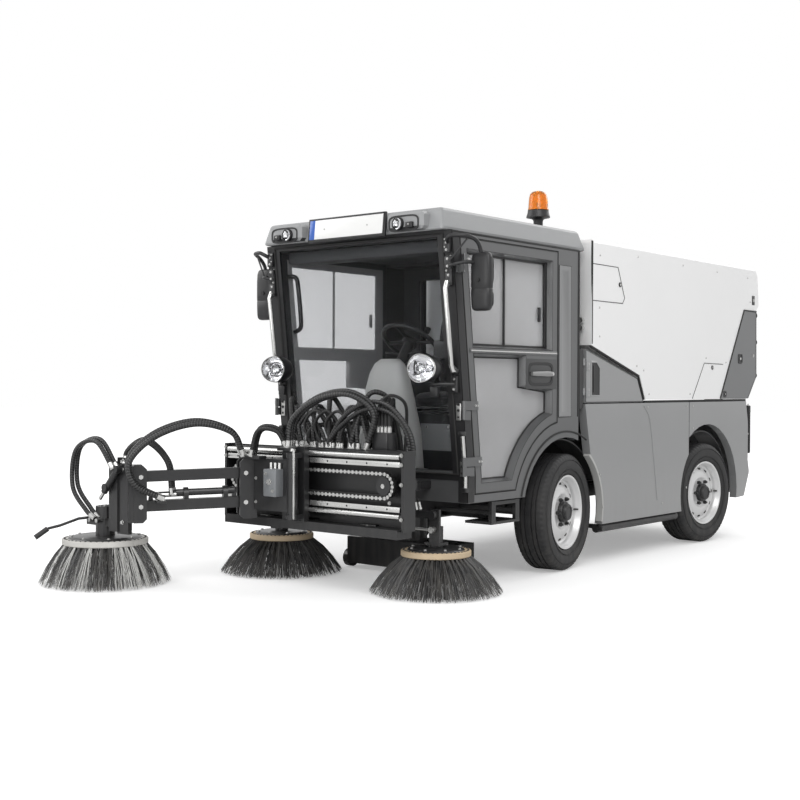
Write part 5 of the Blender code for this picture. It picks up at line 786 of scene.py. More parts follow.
def build_broom(name, body, node, centre, ring, tip, ring_z, sizes, pale_share, ring_look, seed):
    """A ring of bristle tufts that splay to the ground, with the disc and bolts that hold them."""
    rng = random.Random(seed)
    shape = Shape("bristle_dark", "bristle_mid", "bristle_pale")
    top = ring_z + 0.006
    ground = 0.003
    rows = ((ring - 0.012, tip - 0.004), (ring - 0.036, tip - 0.05), (ring - 0.06, tip - 0.095))
    tufts = sizes.tufts
    strands = sizes.strands
    for row, (start, reach) in enumerate(rows):
        for tuft in range(tufts):
            heading = math.tau * (tuft + 0.5 * (row % 2)) / tufts
            pale = rng.random() < pale_share
            for _ in range(strands):
                spread = rng.gauss(0.0, 0.06)
                root_turn = heading + spread * 0.3
                tip_turn = heading + spread * 1.15 + rng.gauss(0.0, 0.012)
                far = reach + rng.uniform(-0.02, 0.003)
                low = ground + rng.uniform(0.0, 0.01)
                wide = rng.uniform(0.0016, 0.0026)
                colour = 2 if pale and rng.random() < 0.9 else (1 if rng.random() < 0.25 else 0)
                points = []
                for share, bow in ((0.0, 0.0), (0.35, 0.012), (0.7, 0.014), (1.0, 0.0)):
                    turn = root_turn + (tip_turn - root_turn) * share
                    radius = start + rng.uniform(-0.001, 0.001) + (far - start) * share ** 0.92
                    height = top + (low - top) * share + bow
                    points.append(centre + Vector((radius * math.cos(turn), radius * math.sin(turn), height)))
                across = Vector((-math.sin(root_turn), math.cos(root_turn), 0.0)) * wide
                lift = Vector((0.0, 0.0, wide * 0.8))
                lines = []
                for point in points:
                    lines.append([shape.bm.verts.new(point - across * 0.5),
                                  shape.bm.verts.new(point + lift),
                                  shape.bm.verts.new(point + across * 0.5)])
                for a, b in zip(lines, lines[1:]):
                    for j in range(3):
                        face = shape.bm.faces.new((a[j], b[j], b[(j + 1) % 3], a[(j + 1) % 3]))
                        face.material_index = colour
    band = [(ring - 0.08, ring_z + 0.002), (ring - 0.004, ring_z), (ring, ring_z + 0.004),
            (ring, ring_z + 0.026), (ring - 0.004, ring_z + 0.03), (ring - 0.08, ring_z + 0.03)]
    lay = Matrix.Translation(centre)
    shape.use(ring_look).lathe(band, 72, lay, True)
    shape.use("black_steel").lathe([(ring - 0.03, ring_z + 0.029), (ring - 0.036, ring_z + 0.036),
                                    (ring - 0.06, ring_z + 0.0415), (0.03, ring_z + 0.0425),
                                    (0.0, ring_z + 0.0425)], 72, lay)
    shape.lathe([(ring - 0.03, ring_z + 0.029), (ring - 0.04, ring_z - 0.004), (0.0, ring_z - 0.004)], 48,
                lay)
    bolts = 8
    for k in range(bolts):
        turn = math.tau * (k + 0.3) / bolts
        spot = centre + Vector(((ring - 0.048) * math.cos(turn), (ring - 0.048) * math.sin(turn), ring_z
                                + 0.038))
        shape.use("zinc").bolt(spot, (0, 0, 1), 0.0085)
    shape.use("iron")
    for k in range(tufts):
        turn = math.tau * k / tufts
        spot = centre + Vector(((ring - 0.014) * math.cos(turn), (ring - 0.014) * math.sin(turn), ring_z
                                + 0.029))
        shape.rod(spot, spot + Vector((0, 0, 0.0035)), 0.005, 8)
    shape.place(name, body, [node], "bristle", 40.0)


def build_brooms(sizes):
    build_broom("third_broom_bristles", "third_broom", "third_broom", THIRD_BROOM, 0.22, 0.34, 0.205, sizes,
                sizes.pale_share, "pale_ring", 3)
    for side, name in SIDES:
        centre = Vector((side * SIDE_BROOM.x, SIDE_BROOM.y, 0.0))
        build_broom("side_broom_bristles_" + name, "side_broom_" + name, "side_broom_" + name, centre,
                    0.176, 0.337, 0.185, sizes, 0.0, "wood_ring", 5 + side)


# Cab trim

def oval(middle, half, power, count, lay="XY"):
    """A ring of points between an ellipse and a rectangle; a higher power is squarer."""
    points = []
    for k in range(count):
        turn = math.tau * (k + 0.5) / count
        a = math.copysign(abs(math.cos(turn)) ** (2 / power), math.cos(turn)) * half[0]
        b = math.copysign(abs(math.sin(turn)) ** (2 / power), math.sin(turn)) * half[1]
        offset = {"XY": (a, b, 0.0), "XZ": (a, 0.0, b), "YZ": (0.0, a, b)}[lay]
        points.append(Vector(middle) + Vector(offset))
    return points


def offset_loop(points, inset):
    """A closed (y, z) outline moved inwards by an even distance."""
    count = len(points)
    area = sum(points[k - 1][0] * points[k][1] - points[k][0] * points[k - 1][1] for k in range(count))
    hand = 1.0 if area > 0 else -1.0
    moved = []
    for k in range(count):
        before = (Vector(points[k]) - Vector(points[k - 1])).normalized()
        after = (Vector(points[(k + 1) % count]) - Vector(points[k])).normalized()
        normal = Vector((-(before.y + after.y), before.x + after.x)).normalized() * hand
        share = max(0.45, normal.dot(Vector((-before.y, before.x)) * hand))
        moved.append(tuple(Vector(points[k]) + normal * inset / share))
    return moved


def door_outline(grow=0.0):
    """The door's outer edge seen from the side."""
    low, high, rear = DOOR_LOW - grow, DOOR_HIGH + grow, DOOR_REAR + grow
    radius = DOOR_ARCH - grow
    start = 180 - math.degrees(math.asin((low - TYRE_RADIUS) / radius))
    end = 180 - math.degrees(math.acos(-rear / radius))
    return ([(cab_front(high) + DOOR_PILLAR - grow, high), (cab_front(CAB_SILL_Z) + DOOR_PILLAR - grow,
                                                            CAB_SILL_Z),
             (cab_front(low) + DOOR_PILLAR - grow, low)] + arc((0.0, TYRE_RADIUS), radius, start, end, 18)
            + [(rear, high)])


def door_windows():
    """The door's upper and lower window openings."""
    front = DOOR_PILLAR + DOOR_FRAME
    rear = DOOR_REAR - DOOR_FRAME
    sill, head = DOOR_RAIL_Z + DOOR_RAIL, DOOR_RAIL_Z - DOOR_RAIL
    top, foot = DOOR_HIGH - DOOR_FRAME, DOOR_LOW + DOOR_FRAME
    upper = [(cab_front(sill) + front, sill), (rear, sill), (rear, top), (cab_front(top) + front, top)]
    radius = DOOR_ARCH + DOOR_FRAME
    start = 180 - math.degrees(math.asin((foot - TYRE_RADIUS) / radius))
    end = 180 - math.degrees(math.acos(-rear / radius))
    corner = HANDLE_Y[0] - DOOR_FRAME / 2
    lower = ([(cab_front(head) + front, head), (cab_front(CAB_SILL_Z) + front, CAB_SILL_Z),
              (cab_front(CAB_SILL_Z) + front, foot)] + arc((0.0, TYRE_RADIUS), radius, start, end, 14)
             + [(rear, HANDLE_Z[0] - DOOR_FRAME / 2), (corner, HANDLE_Z[0]), (corner, head)])
    return upper, lower


def build_door_trim(side, name):
    """Chamfered window frames, rubber seals, the sliding pane, the handle and the hinge bolts."""
    shape = Shape()
    x_out, x_glass = CAB_X + 0.0006, DOOR_GLASS_X + 0.0035
    upper, lower = door_windows()
    for outline in (upper, lower):
        inner = offset_loop(outline, 0.016)
        shape.use("cab_grey").band([(x_out, outline), (x_out, offset_loop(outline, 0.002)),
                                    (x_glass, inner), (x_glass, offset_loop(outline, 0.02))])
        seal = [(x_glass + 0.001, y, z) for y, z in inner]
        shape.use("black_rubber").tube(seal + seal[:1], 0.0048, 8)
        rim = [(x_out - 0.0005, y, z) for y, z in offset_loop(outline, 0.0005)]
        shape.tube(rim + rim[:1], 0.0016, 6)
    edge = [(x_out, y, z) for y, z in door_outline(-0.0012)]
    shape.tube(edge + edge[:1], 0.003, 6)
    rear, sill, top = upper[1][0], upper[0][1], upper[2][1]
    shape.use("black_plastic").box((x_glass, x_glass + 0.012), (rear - 0.036, rear - 0.012),
                                   (sill + 0.012, top - 0.012), 0.002)
    shape.box((x_glass, x_glass + 0.01), (DIVIDER_Y - 0.006, DIVIDER_Y + 0.006),
              (sill + 0.014, top - 0.014), 0.002)
    shape.box((x_glass, x_glass + 0.014), (LATCH_Y - 0.01, LATCH_Y + 0.008), (1.38, 1.46), 0.004)
    for height in (sill + 0.018, top - 0.018):
        shape.box((x_glass, x_glass + 0.008), (cab_front(height) + DOOR_PILLAR + DOOR_FRAME + 0.016, rear
                                               - 0.014), (height - 0.005, height + 0.005), 0.0015)
    rail = (DOOR_RAIL_Z - DOOR_RAIL + 0.003, DOOR_RAIL_Z + DOOR_RAIL - 0.003)
    front = cab_front(DOOR_RAIL_Z) + DOOR_PILLAR + 0.024
    shape.use("cab_grey").box((x_out, x_out + 0.006), (front, DOOR_REAR - 0.012), rail, 0.003)
    shape.use("bright_steel").box((x_out + 0.005, x_out + 0.0078), (front + 0.004, DOOR_REAR - 0.016),
                                  (DOOR_RAIL_Z - 0.0035, DOOR_RAIL_Z + 0.0035), 0.001)

    middle = (sum(HANDLE_Y) / 2, sum(HANDLE_Z) / 2)
    shape.use("handle_grey").box((x_out - 0.001, x_out + 0.0016), (-0.402, -0.104), (1.016, 1.178), 0.001)
    half = ((HANDLE_Y[1] - HANDLE_Y[0]) / 2, (HANDLE_Z[1] - HANDLE_Z[0]) / 2)
    frame = [(x_out, half[0] + 0.01, half[1] + 0.01), (x_out + 0.004, half[0] + 0.006, half[1] + 0.006),
             (x_out + 0.004, half[0] - 0.01, half[1] - 0.008), (x_out - 0.02, half[0] - 0.016, half[1]
                                                                - 0.014)]
    shape.use("black_plastic").loft([oval((x, *middle), (wide, high), 5, 40, "YZ") for x, wide,
                                     high in frame])
    grip = [(HANDLE_Y[1] - 0.014, 0.0125), (HANDLE_Y[1] - 0.06, 0.0145), (HANDLE_Y[0] + 0.06, 0.0125),
            (HANDLE_Y[0] + 0.012, 0.01)]
    shape.use("grip_grey").loft([oval((x_out + 0.012, y, middle[1]), (0.008, high), 3, 20, "XZ") for y,
                                 high in grip])
    shape.use("bright_steel").rod((x_out + 0.01, HANDLE_Y[1] - 0.018, middle[1]), (x_out + 0.0215,
                                                                                   HANDLE_Y[1] - 0.018,
                                                                                   middle[1]), 0.0085, 18)
    for height in HINGE_Z:
        for step in (0.024, 0.042):
            spot = (CAB_X + 0.01, cab_front(height) + DOOR_PILLAR + step, height + 0.023)
            shape.use("bright_steel").bolt(spot, (1, 0, 0), 0.0065)
    if side < 0:
        shape.flip()
    shape.place("door_trim_" + name, "door_" + name, smooth=35.0)


def build_front_trim():
    """Corner pillars, the windscreen's border and gasket, bright tubes, hinge plates and the wiper."""
    shape = Shape()
    heights = [CAB_LOW + 0.004, CAB_SILL_Z] + [CAB_SILL_Z + (CAB_HIGH - CAB_SILL_Z) * k / 6
                                               for k in range(1, 7)]
    shape.use("black_plastic")
    for low, high in zip(heights, heights[1:]):
        shape.sheet(front_strip(low, high, -0.003, -0.0004), "X", (PILLAR_X, CAB_X + 0.0028))
        shape.sheet(front_strip(low, high, -0.003, 0.052), "X", (CAB_X + 0.0004, CAB_X + 0.0028))
    for low, high in zip(heights[1:], heights[2:]):
        shape.sheet(front_strip(low, high, -0.0032, -0.0016), "X", (PILLAR_X - 0.034, PILLAR_X + 0.001))
    front = [(x, cab_front(z) - 0.004, z) for x, z in ((0.0, CAB_SILL_Z + 0.01),
                                                       (PILLAR_X, CAB_SILL_Z + 0.01),
                                                       (PILLAR_X, CAB_HIGH - 0.016),
                                                       (0.0, CAB_HIGH - 0.016))]
    shape.use("black_rubber").tube(front, 0.007, 8)
    for z, high in ((CAB_SILL_Z - 0.022, 0.03), (CAB_HIGH - 0.03, 0.046)):
        shape.use("black_plastic").sheet(front_strip(z, z + high, -0.0034, -0.001), "X", (0.0, PILLAR_X))

    for z in (1.56, 1.64, 1.72):
        shape.use("black_steel").box((0.6005, 0.6385), (cab_front(z) - 0.02, cab_front(z) - 0.002),
                                     (z - 0.032, z + 0.032), 0.003)
        for rise in (-0.018, 0.018):
            shape.use("bright_steel").bolt((0.619, cab_front(z) - 0.019, z + rise), (0, -1, 0), 0.0065)
    low, high = GRAB_Z
    shape.use("bright_steel").tube([(GRAB_X, cab_front(low) - 0.002, low),
                                    (GRAB_X, cab_front(low) - 0.03, low + 0.002),
                                    (GRAB_X, cab_front(low) - 0.042, low + 0.03), (GRAB_X, cab_front(high)
                                                                                   - 0.042, high - 0.03),
                                    (GRAB_X, cab_front(high) - 0.03, high - 0.002),
                                    (GRAB_X, cab_front(high) - 0.002, high)], 0.0122, 16)
    for z in GRAB_Z:
        shape.use("black_steel").rod((GRAB_X, cab_front(z) - 0.001, z), (GRAB_X, cab_front(z) - 0.009, z),
                                     0.021, 20)
    shape.use("bright_steel").tube([(0.6385, cab_front(z) - 0.013, z) for z in (0.5, 0.575, 0.7, 0.8)],
                                   0.0105, 14)
    for z in (0.508, 0.792):
        shape.use("black_steel").box((0.62, 0.65), (cab_front(z) - 0.024, cab_front(z)),
                                     (z - 0.012, z + 0.012), 0.003)
    for z in HINGE_Z:
        shape.use("zinc").box((0.604, 0.634), (cab_front(z) - 0.007, cab_front(z) - 0.003),
                              (z - 0.05, z + 0.046), 0.002)
        for rise in (-0.034, 0.0, 0.03):
            shape.use("black_steel").bolt((0.619, cab_front(z + rise) - 0.008, z + rise), (0, -1, 0), 0.0075)
    shape.mirror()

    for low, high, paint in ((0.838, 0.886, "black_plastic"), (0.7, 0.838, "rear_grey"),
                             (0.604, 0.7, "black_plastic")):
        shape.use(paint).sheet(front_strip(high, low, 0.02, 0.028), "X", (0.35, 0.57))
    for x in (0.392, 0.528):
        shape.use("bright_steel").bolt((x, cab_front(0.82) + 0.018, 0.82), (0, -1, 0), 0.0065)

    pivot = Vector((0.03, cab_front(0.6) - 0.01, 0.606))
    shape.use("black_steel").rod(pivot + Vector((0, 0.01, 0)), pivot - Vector((0, 0.018, 0)), 0.016, 18)
    end = Vector((-0.33, cab_front(0.72) - 0.024, 0.72))
    shape.bar(pivot - Vector((0, 0.016, 0)), end, 0.012, 0.008, 0.002)
    blade = (Vector((-0.52, cab_front(0.665) - 0.014, 0.665)),
             Vector((-0.12, cab_front(0.785) - 0.014, 0.785)))
    shape.use("black_rubber").bar(*blade, 0.01, 0.016, 0.003)
    shape.use("black_steel").bar(blade[0] - Vector((0, 0.009, 0)), blade[1] - Vector((0, 0.009, 0)), 0.006,
                                 0.007, 0.002)
    shape.place("cab_front_trim", "vehicle", smooth=35.0)


def build_cab_sides():
    """Pillar panels behind the doors, the gasket under the roof, the cab's rear seal and the door seal."""
    shape = Shape()
    y, z = PILLAR_PANEL_Y, PILLAR_PANEL_Z
    outline = [(y[0], z[0]), (y[1] + 0.008, z[0]), (y[1], z[1]), (y[0], z[1])]
    shape.use("panel_grey").band([(CAB_X + 0.0005, outline), (CAB_X + 0.0045, offset_loop(outline, 0.004)),
                                  (CAB_X + 0.0045, offset_loop(outline, 0.026)),
                                  (CAB_X + 0.002, offset_loop(outline, 0.031))], cap=True)
    shape.use("black_rubber").tube([(CAB_X + 0.001, py, pz) for py, pz in outline + outline[:1]], 0.0022, 6)
    shape.box((CAB_X - 0.004, CAB_X + 0.003), (CAB_REAR - 0.012, CAB_REAR + 0.006),
              (0.86, CAB_HIGH - 0.004), 0.002)
    shape.box((CAB_X - 0.004, CAB_X + 0.003), (cab_front(CAB_HIGH) + 0.004, CAB_REAR),
              (CAB_HIGH - 0.011, CAB_HIGH - 0.001), 0.002)
    edge = door_outline(0.0025)
    shape.tube([(CAB_X - 0.02, py, pz) for py, pz in edge[2:]], 0.0021, 6)
    radius = 0.4525
    shape.tube([(CAB_X + 0.001, py, pz) for py, pz in arc((0.0, TYRE_RADIUS), radius, 165, 62, 30)], 0.0055,
               8)
    shape.use("black_plastic")
    for height in (1.705, 1.56, 1.42):
        shape.box((0.56, 0.612), (CAB_REAR + 0.004, CAB_REAR + 0.05), (height - 0.022, height + 0.022), 0.005)
    for x, wide in ((0.585, 0.02), (0.545, 0.013), (0.52, 0.013)):
        shape.use("black_rubber").tube([(x, CAB_REAR + 0.06, height) for height in (0.96, 1.2, 1.5, 1.76)],
                                       wide, 12)
    for height in (1.365, 1.41):
        shape.use("bright_steel").rod((0.6, CAB_REAR + 0.03, height), (0.6, CAB_REAR + 0.112, height),
                                      0.013, 14)
        shape.use("black_rubber").rod((0.6, CAB_REAR + 0.055, height), (0.6, CAB_REAR + 0.085, height),
                                      0.0165, 14)
    shape.mirror()
    shape.place("cab_side_trim", "vehicle", smooth=35.0)


def build_roof_trim():
    """Work lamps in the roof's pods, the blank plate between them and the front marker brackets."""
    shape = Shape()
    for side in (-1, 1):
        middle = Vector((side * POD_LAMP_X, POD_FACE_Y, 1.838))
        shape.use("black_plastic").loft([oval(middle + Vector((0, step, 0)), half, 4, 32, "XZ") for step,
                                         half in ((0.001, (0.098, 0.042)), (-0.003, (0.098, 0.042)),
                                                  (-0.003, (0.09, 0.035)), (0.01, (0.084, 0.03)))])
        lamp = Matrix.Translation(middle + Vector((-0.03 * side, -0.004, 0.0))) @ Matrix.Rotation(math.pi / 2, 4, "X")
        shape.use("black_plastic").lathe([(0.0325, -0.008), (0.0325, 0.014), (0.029, 0.016),
                                          (0.0285, 0.012)], 32, lamp)
        shape.use("reflector").lathe([(0.027, 0.01), (0.015, -0.002), (0.0, -0.006)], 32, lamp)
        shape.use("lens").lathe([(0.0285, 0.0125), (0.02, 0.016), (0.01, 0.0175), (0.0, 0.018)], 32, lamp)
        block = middle + Vector((side * 0.045, -0.006, -0.008))
        shape.use("black_plastic").box((block.x - 0.022, block.x + 0.022),
                                       (block.y - 0.012, block.y + 0.004),
                                       (block.z - 0.016, block.z + 0.012), 0.003)
        shape.use("zinc").bolt(block + Vector((0, -0.012, 0.0)), (0, -1, 0), 0.005)
    shape.place("roof_work_lamps", "vehicle", smooth=35.0)

    plate = Shape()
    lean = Matrix.Translation((0.012, PLATE_Y, PLATE_Z)) @ Matrix.Rotation(math.radians(-6.0), 4, "X")
    plate.use("black_plastic").box((-0.27, 0.27), (-0.004, 0.01), (-0.066, 0.062), 0.004, lean)
    plate.use("white_paint").box((-0.26, 0.26), (-0.0062, -0.003), (-0.055, 0.055), 0.0012, lean)
    plate.use("blue_band").box((-0.2575, -0.219), (-0.0068, -0.005), (-0.0525, 0.0525), 0.0008, lean)
    plate.use("black_plastic").band_frame((0.0, 0.0), (0.2625, 0.0575), (0.2555, 0.0505), (-0.0068, -0.004),
                                          lean)
    for x in (-0.15, 0.15):
        spot = lean @ Vector((x, -0.0065, 0.0))
        plate.use("zinc").rod(spot, spot + Vector((0, -0.0018, 0)), 0.0045, 12)
    for x in (-0.2, 0.2):
        foot = lean @ Vector((x, 0.006, 0.0))
        plate.use("black_plastic").rod(foot, foot + Vector((0, 0.034, 0)), 0.012, 12)
    plate.place("front_plate", "vehicle", smooth=35.0)


def build_mirror(side, name):
    """A convex mirror head with its lower wide-angle part, its glass, seam and knob, on a braced tube."""
    shape = Shape("black_plastic")
    x = (MIRROR_X[0] + MIRROR_X[1]) / 2
    rings = []
    for z, wide, deep in ((1.401, 0.03, 0.01), (1.404, 0.044, 0.018), (1.414, 0.053, 0.024),
                          (1.43, 0.056, 0.0265), (1.47, 0.0575, 0.0275), (1.506, 0.058, 0.0275),
                          (1.51, 0.056, 0.0255), (1.514, 0.058, 0.0275), (1.55, 0.059, 0.0275),
                          (1.62, 0.059, 0.027), (1.66, 0.057, 0.025), (1.678, 0.052, 0.021),
                          (1.687, 0.043, 0.015), (1.6895, 0.03, 0.008)):
        rings.append(oval((x, MIRROR_Y, z), (wide, deep), 3.2, 36))
    shape.loft(rings)
    for low, high in ((1.418, 1.502), (1.518, 1.674)):
        spot = (low + high) / 2
        shape.use("mirror").loft([oval((x, MIRROR_Y + step, spot), (half, (high - low) / 2 - lip), 4.5, 36,
                                       "XZ") for step, half, lip in ((0.0262, 0.052, 0.0),
                                                                     (0.0275, 0.051, 0.002))])
    shape.use("black_rubber").rod((x - 0.006, MIRROR_Y - 0.024, 1.552),
                                  (x - 0.006, MIRROR_Y - 0.033, 1.552), 0.0115, 20)
    top = 1.765
    inner = [Vector((0.622, cab_front(1.735) - 0.006, 1.735)), Vector((0.64, -1.084, 1.752)),
             Vector((0.668, -1.092, top)), Vector((0.712, -1.082, top)), Vector((0.742, -1.05, 1.762)),
             Vector((0.758, -1.0, 1.742)), Vector((x - 0.002, -0.966, 1.7)), Vector((x, MIRROR_Y, 1.64))]
    shape.use("black_plastic").tube(inner, 0.0105, 12, 5)
    lower = [Vector((0.622, cab_front(1.62) - 0.006, 1.62)), Vector((0.664, -1.062, 1.628)),
             Vector((0.706, -1.016, 1.64)), Vector((x - 0.03, MIRROR_Y - 0.01, 1.64))]
    shape.tube(lower, 0.009, 12, 5)
    shape.bar((0.648, -1.08, 1.64), (0.736, -1.046, 1.752), 0.008, 0.008, 0.002)
    for z in (1.62, 1.735):
        shape.box((0.598, 0.64), (cab_front(z) - 0.014, cab_front(z) - 0.002), (z - 0.03, z + 0.03), 0.003)
        for rise in (-0.019, 0.019):
            shape.use("zinc").bolt((0.608, cab_front(z) - 0.014, z + rise), (0, -1, 0), 0.0055)
        shape.use("black_plastic")
    if side < 0:
        shape.flip()
    shape.place("mirror_head_" + name, "vehicle", ["mirror_" + name], "black_plastic", 40.0)


def build_headlight(side, name):
    """A teardrop headlight: black bowl, chrome reflector, clear lens, and the bracket that holds it."""
    shape = Shape()
    turn = Matrix.Rotation(math.radians(90.0), 4, "X")
    lay = Matrix.Translation((HEADLIGHT_X, HEADLIGHT_Y, HEADLIGHT_Z)) @ turn

    def tear(k, step, radius, height, steps=48):
        heading = math.tau * step / steps
        return radius * (1.0 + 0.34 * max(0.0, math.cos(heading)) ** 3 - 0.05
                         * abs(math.sin(heading))), height

    shape.use("black_plastic").lathe([(0.075, 0.05), (0.077, 0.044), (0.076, 0.02), (0.07, -0.012),
                                      (0.06, -0.036), (0.046, -0.05), (0.03, -0.056), (0.0, -0.057)], 48,
                                     lay, wobble=tear)
    shape.use("bright_steel").lathe([(0.071, 0.0485), (0.0725, 0.052), (0.0755, 0.052), (0.0765, 0.047)],
                                    48, lay, wobble=tear)
    shape.use("reflector").lathe([(0.0708, 0.048), (0.064, 0.03), (0.048, 0.008), (0.028, -0.006),
                                  (0.01, -0.011), (0.0, -0.0112)], 48, lay, wobble=tear)
    for x, radius in ((0.0, 0.03), (0.052, 0.017)):
        ring = lay @ Matrix.Translation((x, 0.0, 0.012))
        shape.use("reflector").lathe([(radius, 0.022), (radius * 0.9, 0.006), (radius * 0.55, -0.004),
                                      (0.0, -0.007)], 24, ring)
        shape.use("lens").lathe([(radius * 0.45, 0.0), (radius * 0.42, 0.01), (radius * 0.25, 0.015),
                                 (0.0, 0.0165)], 20, ring)
    shape.use("lens").lathe([(0.0712, 0.049), (0.065, 0.056), (0.048, 0.062), (0.026, 0.065), (0.0, 0.066)],
                            48, lay, wobble=tear)
    for k in range(4):
        z = HEADLIGHT_Y + 0.018 + 0.011 * k
        shape.use("black_plastic").lathe([(0.05 - 0.006 * k, 0.002), (0.052 - 0.006 * k, 0.0),
                                          (0.05 - 0.006 * k, -0.002)], 32,
                                         Matrix.Translation((HEADLIGHT_X, z, HEADLIGHT_Z)) @ turn)
    foot_z = HEADLIGHT_Z - 0.078
    foot = Vector((0.611, cab_front(foot_z) - 0.014, foot_z))
    shape.use("black_steel").bar((HEADLIGHT_X, HEADLIGHT_Y + 0.034, HEADLIGHT_Z - 0.04), (HEADLIGHT_X
                                                                                          + 0.03,
                                                                                          HEADLIGHT_Y
                                                                                          + 0.034, foot_z),
                                 0.022, 0.012, 0.003)
    shape.bar((HEADLIGHT_X + 0.018, HEADLIGHT_Y + 0.034, foot_z), foot, 0.03, 0.012, 0.003)
    shape.box((0.591, 0.631), (foot.y - 0.006, foot.y + 0.0135), (foot_z - 0.042, foot_z + 0.042), 0.003)
    for rise in (-0.026, 0.026):
        shape.use("bright_steel").bolt((0.611, foot.y - 0.006, foot_z + rise), (0, -1, 0), 0.007)
    shape.use("zinc").rod((HEADLIGHT_X, HEADLIGHT_Y + 0.026, HEADLIGHT_Z - 0.052), (HEADLIGHT_X, HEADLIGHT_Y
                                                                                    + 0.044, HEADLIGHT_Z
                                                                                    - 0.052), 0.01, 6)
    shape.use("black_plastic").box((HEADLIGHT_X + 0.004, HEADLIGHT_X + 0.048),
                                   (HEADLIGHT_Y + 0.03, HEADLIGHT_Y + 0.056),
                                   (foot_z - 0.062, foot_z - 0.014), 0.004)
    if side < 0:
        shape.flip()
    shape.place("teardrop_headlight_" + name, "vehicle", ["headlight_" + name], "lamp", 35.0)


def build_beacon():
    """An amber dome with vertical ribs and a lamp inside, on a black flared base and neck."""
    x, y = BEACON
    lay = Matrix.Translation((x, y, 0.0))
    base = Shape("black_plastic")
    base.lathe([(0.0, 2.04), (0.056, 2.04), (0.06, 2.036), (0.061, 2.024), (0.066, 2.008), (0.068, 2.002),
                (0.068, 1.996), (0.04, 1.99), (0.03, 1.984), (0.027, 1.972), (0.027, 1.926), (0.034, 1.92),
                (0.05, 1.9175), (0.05, 1.9145), (0.0, 1.9145)], 48, lay)
    base.use("reflector").lathe([(0.0, 2.092), (0.016, 2.09), (0.02, 2.08), (0.012, 2.06), (0.012, 2.04)],
                                24, lay)
    base.place("beacon_base", "vehicle", smooth=35.0)

    def rib(k, step, radius, height):
        return radius - (0.0012 if step % 2 and 1 < k < 7 else 0.0), height

    dome = Shape("amber")
    dome.lathe([(0.0, 2.149), (0.02, 2.148), (0.037, 2.142), (0.047, 2.131), (0.052, 2.115), (0.0545, 2.09),
                (0.056, 2.065), (0.058, 2.048), (0.06, 2.042), (0.06, 2.039), (0.054, 2.04), (0.05, 2.09),
                (0.044, 2.128), (0.03, 2.14), (0.0, 2.144)], 72, lay, wobble=rib)
    dome.place("beacon_dome", "vehicle", ["beacon"], "amber", 35.0)


def cushion_rings(half, high, crown):
    """Rings of a crowned pad from its underside to its top, its edges pulled in."""
    rise = Vector((0, 0, 1))
    rings = []
    for share, tuck in ((0.0, 0.9), (0.1, 0.965), (0.3, 1.0), (0.6, 1.0), (0.82, 0.97), (0.95, 0.9),
                        (1.0, 0.8)):
        rings.append(oval(rise * (high * share), (half[0] * tuck, half[1] * tuck), 4.5, 48))
    top = rings[-1]
    for share in (0.6, 0.3):
        centre = sum(top, Vector()) / len(top)
        rings.append([centre + (point - centre) * share + rise * crown * (1 - share) for point in top])
    return rings


def build_seat():
    """The driver's seat: cushion, back and headrest as stuffed pads with sewn channels, on a plain base."""
    pads = (("seat_cushion", (0.0, -0.15, 0.908), (0.222, 0.176), 0.082, 0.012, 0.0, ("seat",)),
            ("seat_back_pad", (0.0, -0.01, 1.245), (0.2, 0.24), 0.08, 0.012, 84.0, ()), ("seat_head_pad",
                                                                                         (0.0, 0.022, 1.56),
                                                                                         (0.122, 0.06),
                                                                                         0.082, 0.01, 84.0,
                                                                                         ()))
    for name, middle, half, high, crown, lean, nodes in pads:
        shape = Shape("seat_cloth")
        shape.loft(cushion_rings(half, high, crown))
        for seam in (-0.5, 0.5):
            x = seam * half[0]
            run = [Vector((x, half[1] * (0.74 - 1.48 * k / 12), high + crown * 0.55)) for k in range(13)]
            shape.tube(run, 0.0022, 6)
        edge = [point * 1.004 + Vector((0, 0, high * 0.62))
                for point in oval(Vector(), (half[0], half[1]), 4.5, 48)]
        shape.tube(edge + edge[:1], 0.0028, 6)
        stand = Matrix.Translation(middle) @ Matrix.Rotation(math.radians(lean), 4, "X")
        pad = shape.place(name, "vehicle", nodes, "seat_cloth", 60.0, stand)
    base = Shape("black_plastic")
    base.box((-0.17, 0.17), (-0.3, 0.0), (0.4815, 0.76), 0.012)
    base.use("black_steel")
    for k in range(6):
        z = 0.765 + 0.022 * k
        base.box((-0.165 + 0.008 * (k % 2), 0.165 - 0.008 * (k % 2)), (-0.29, -0.012), (z, z + 0.021), 0.006)
    base.box((-0.205, 0.205), (-0.315, 0.015), (0.893, 0.912), 0.006)
    for x in (-0.07, 0.07):
        base.rod((x, -0.02, 1.44), (x, -0.01, 1.52), 0.008, 12)
    base.box((-0.15, 0.15), (0.0, 0.014), (0.9, 1.42), 0.005)
    base.place("seat_base", "vehicle", smooth=35.0)


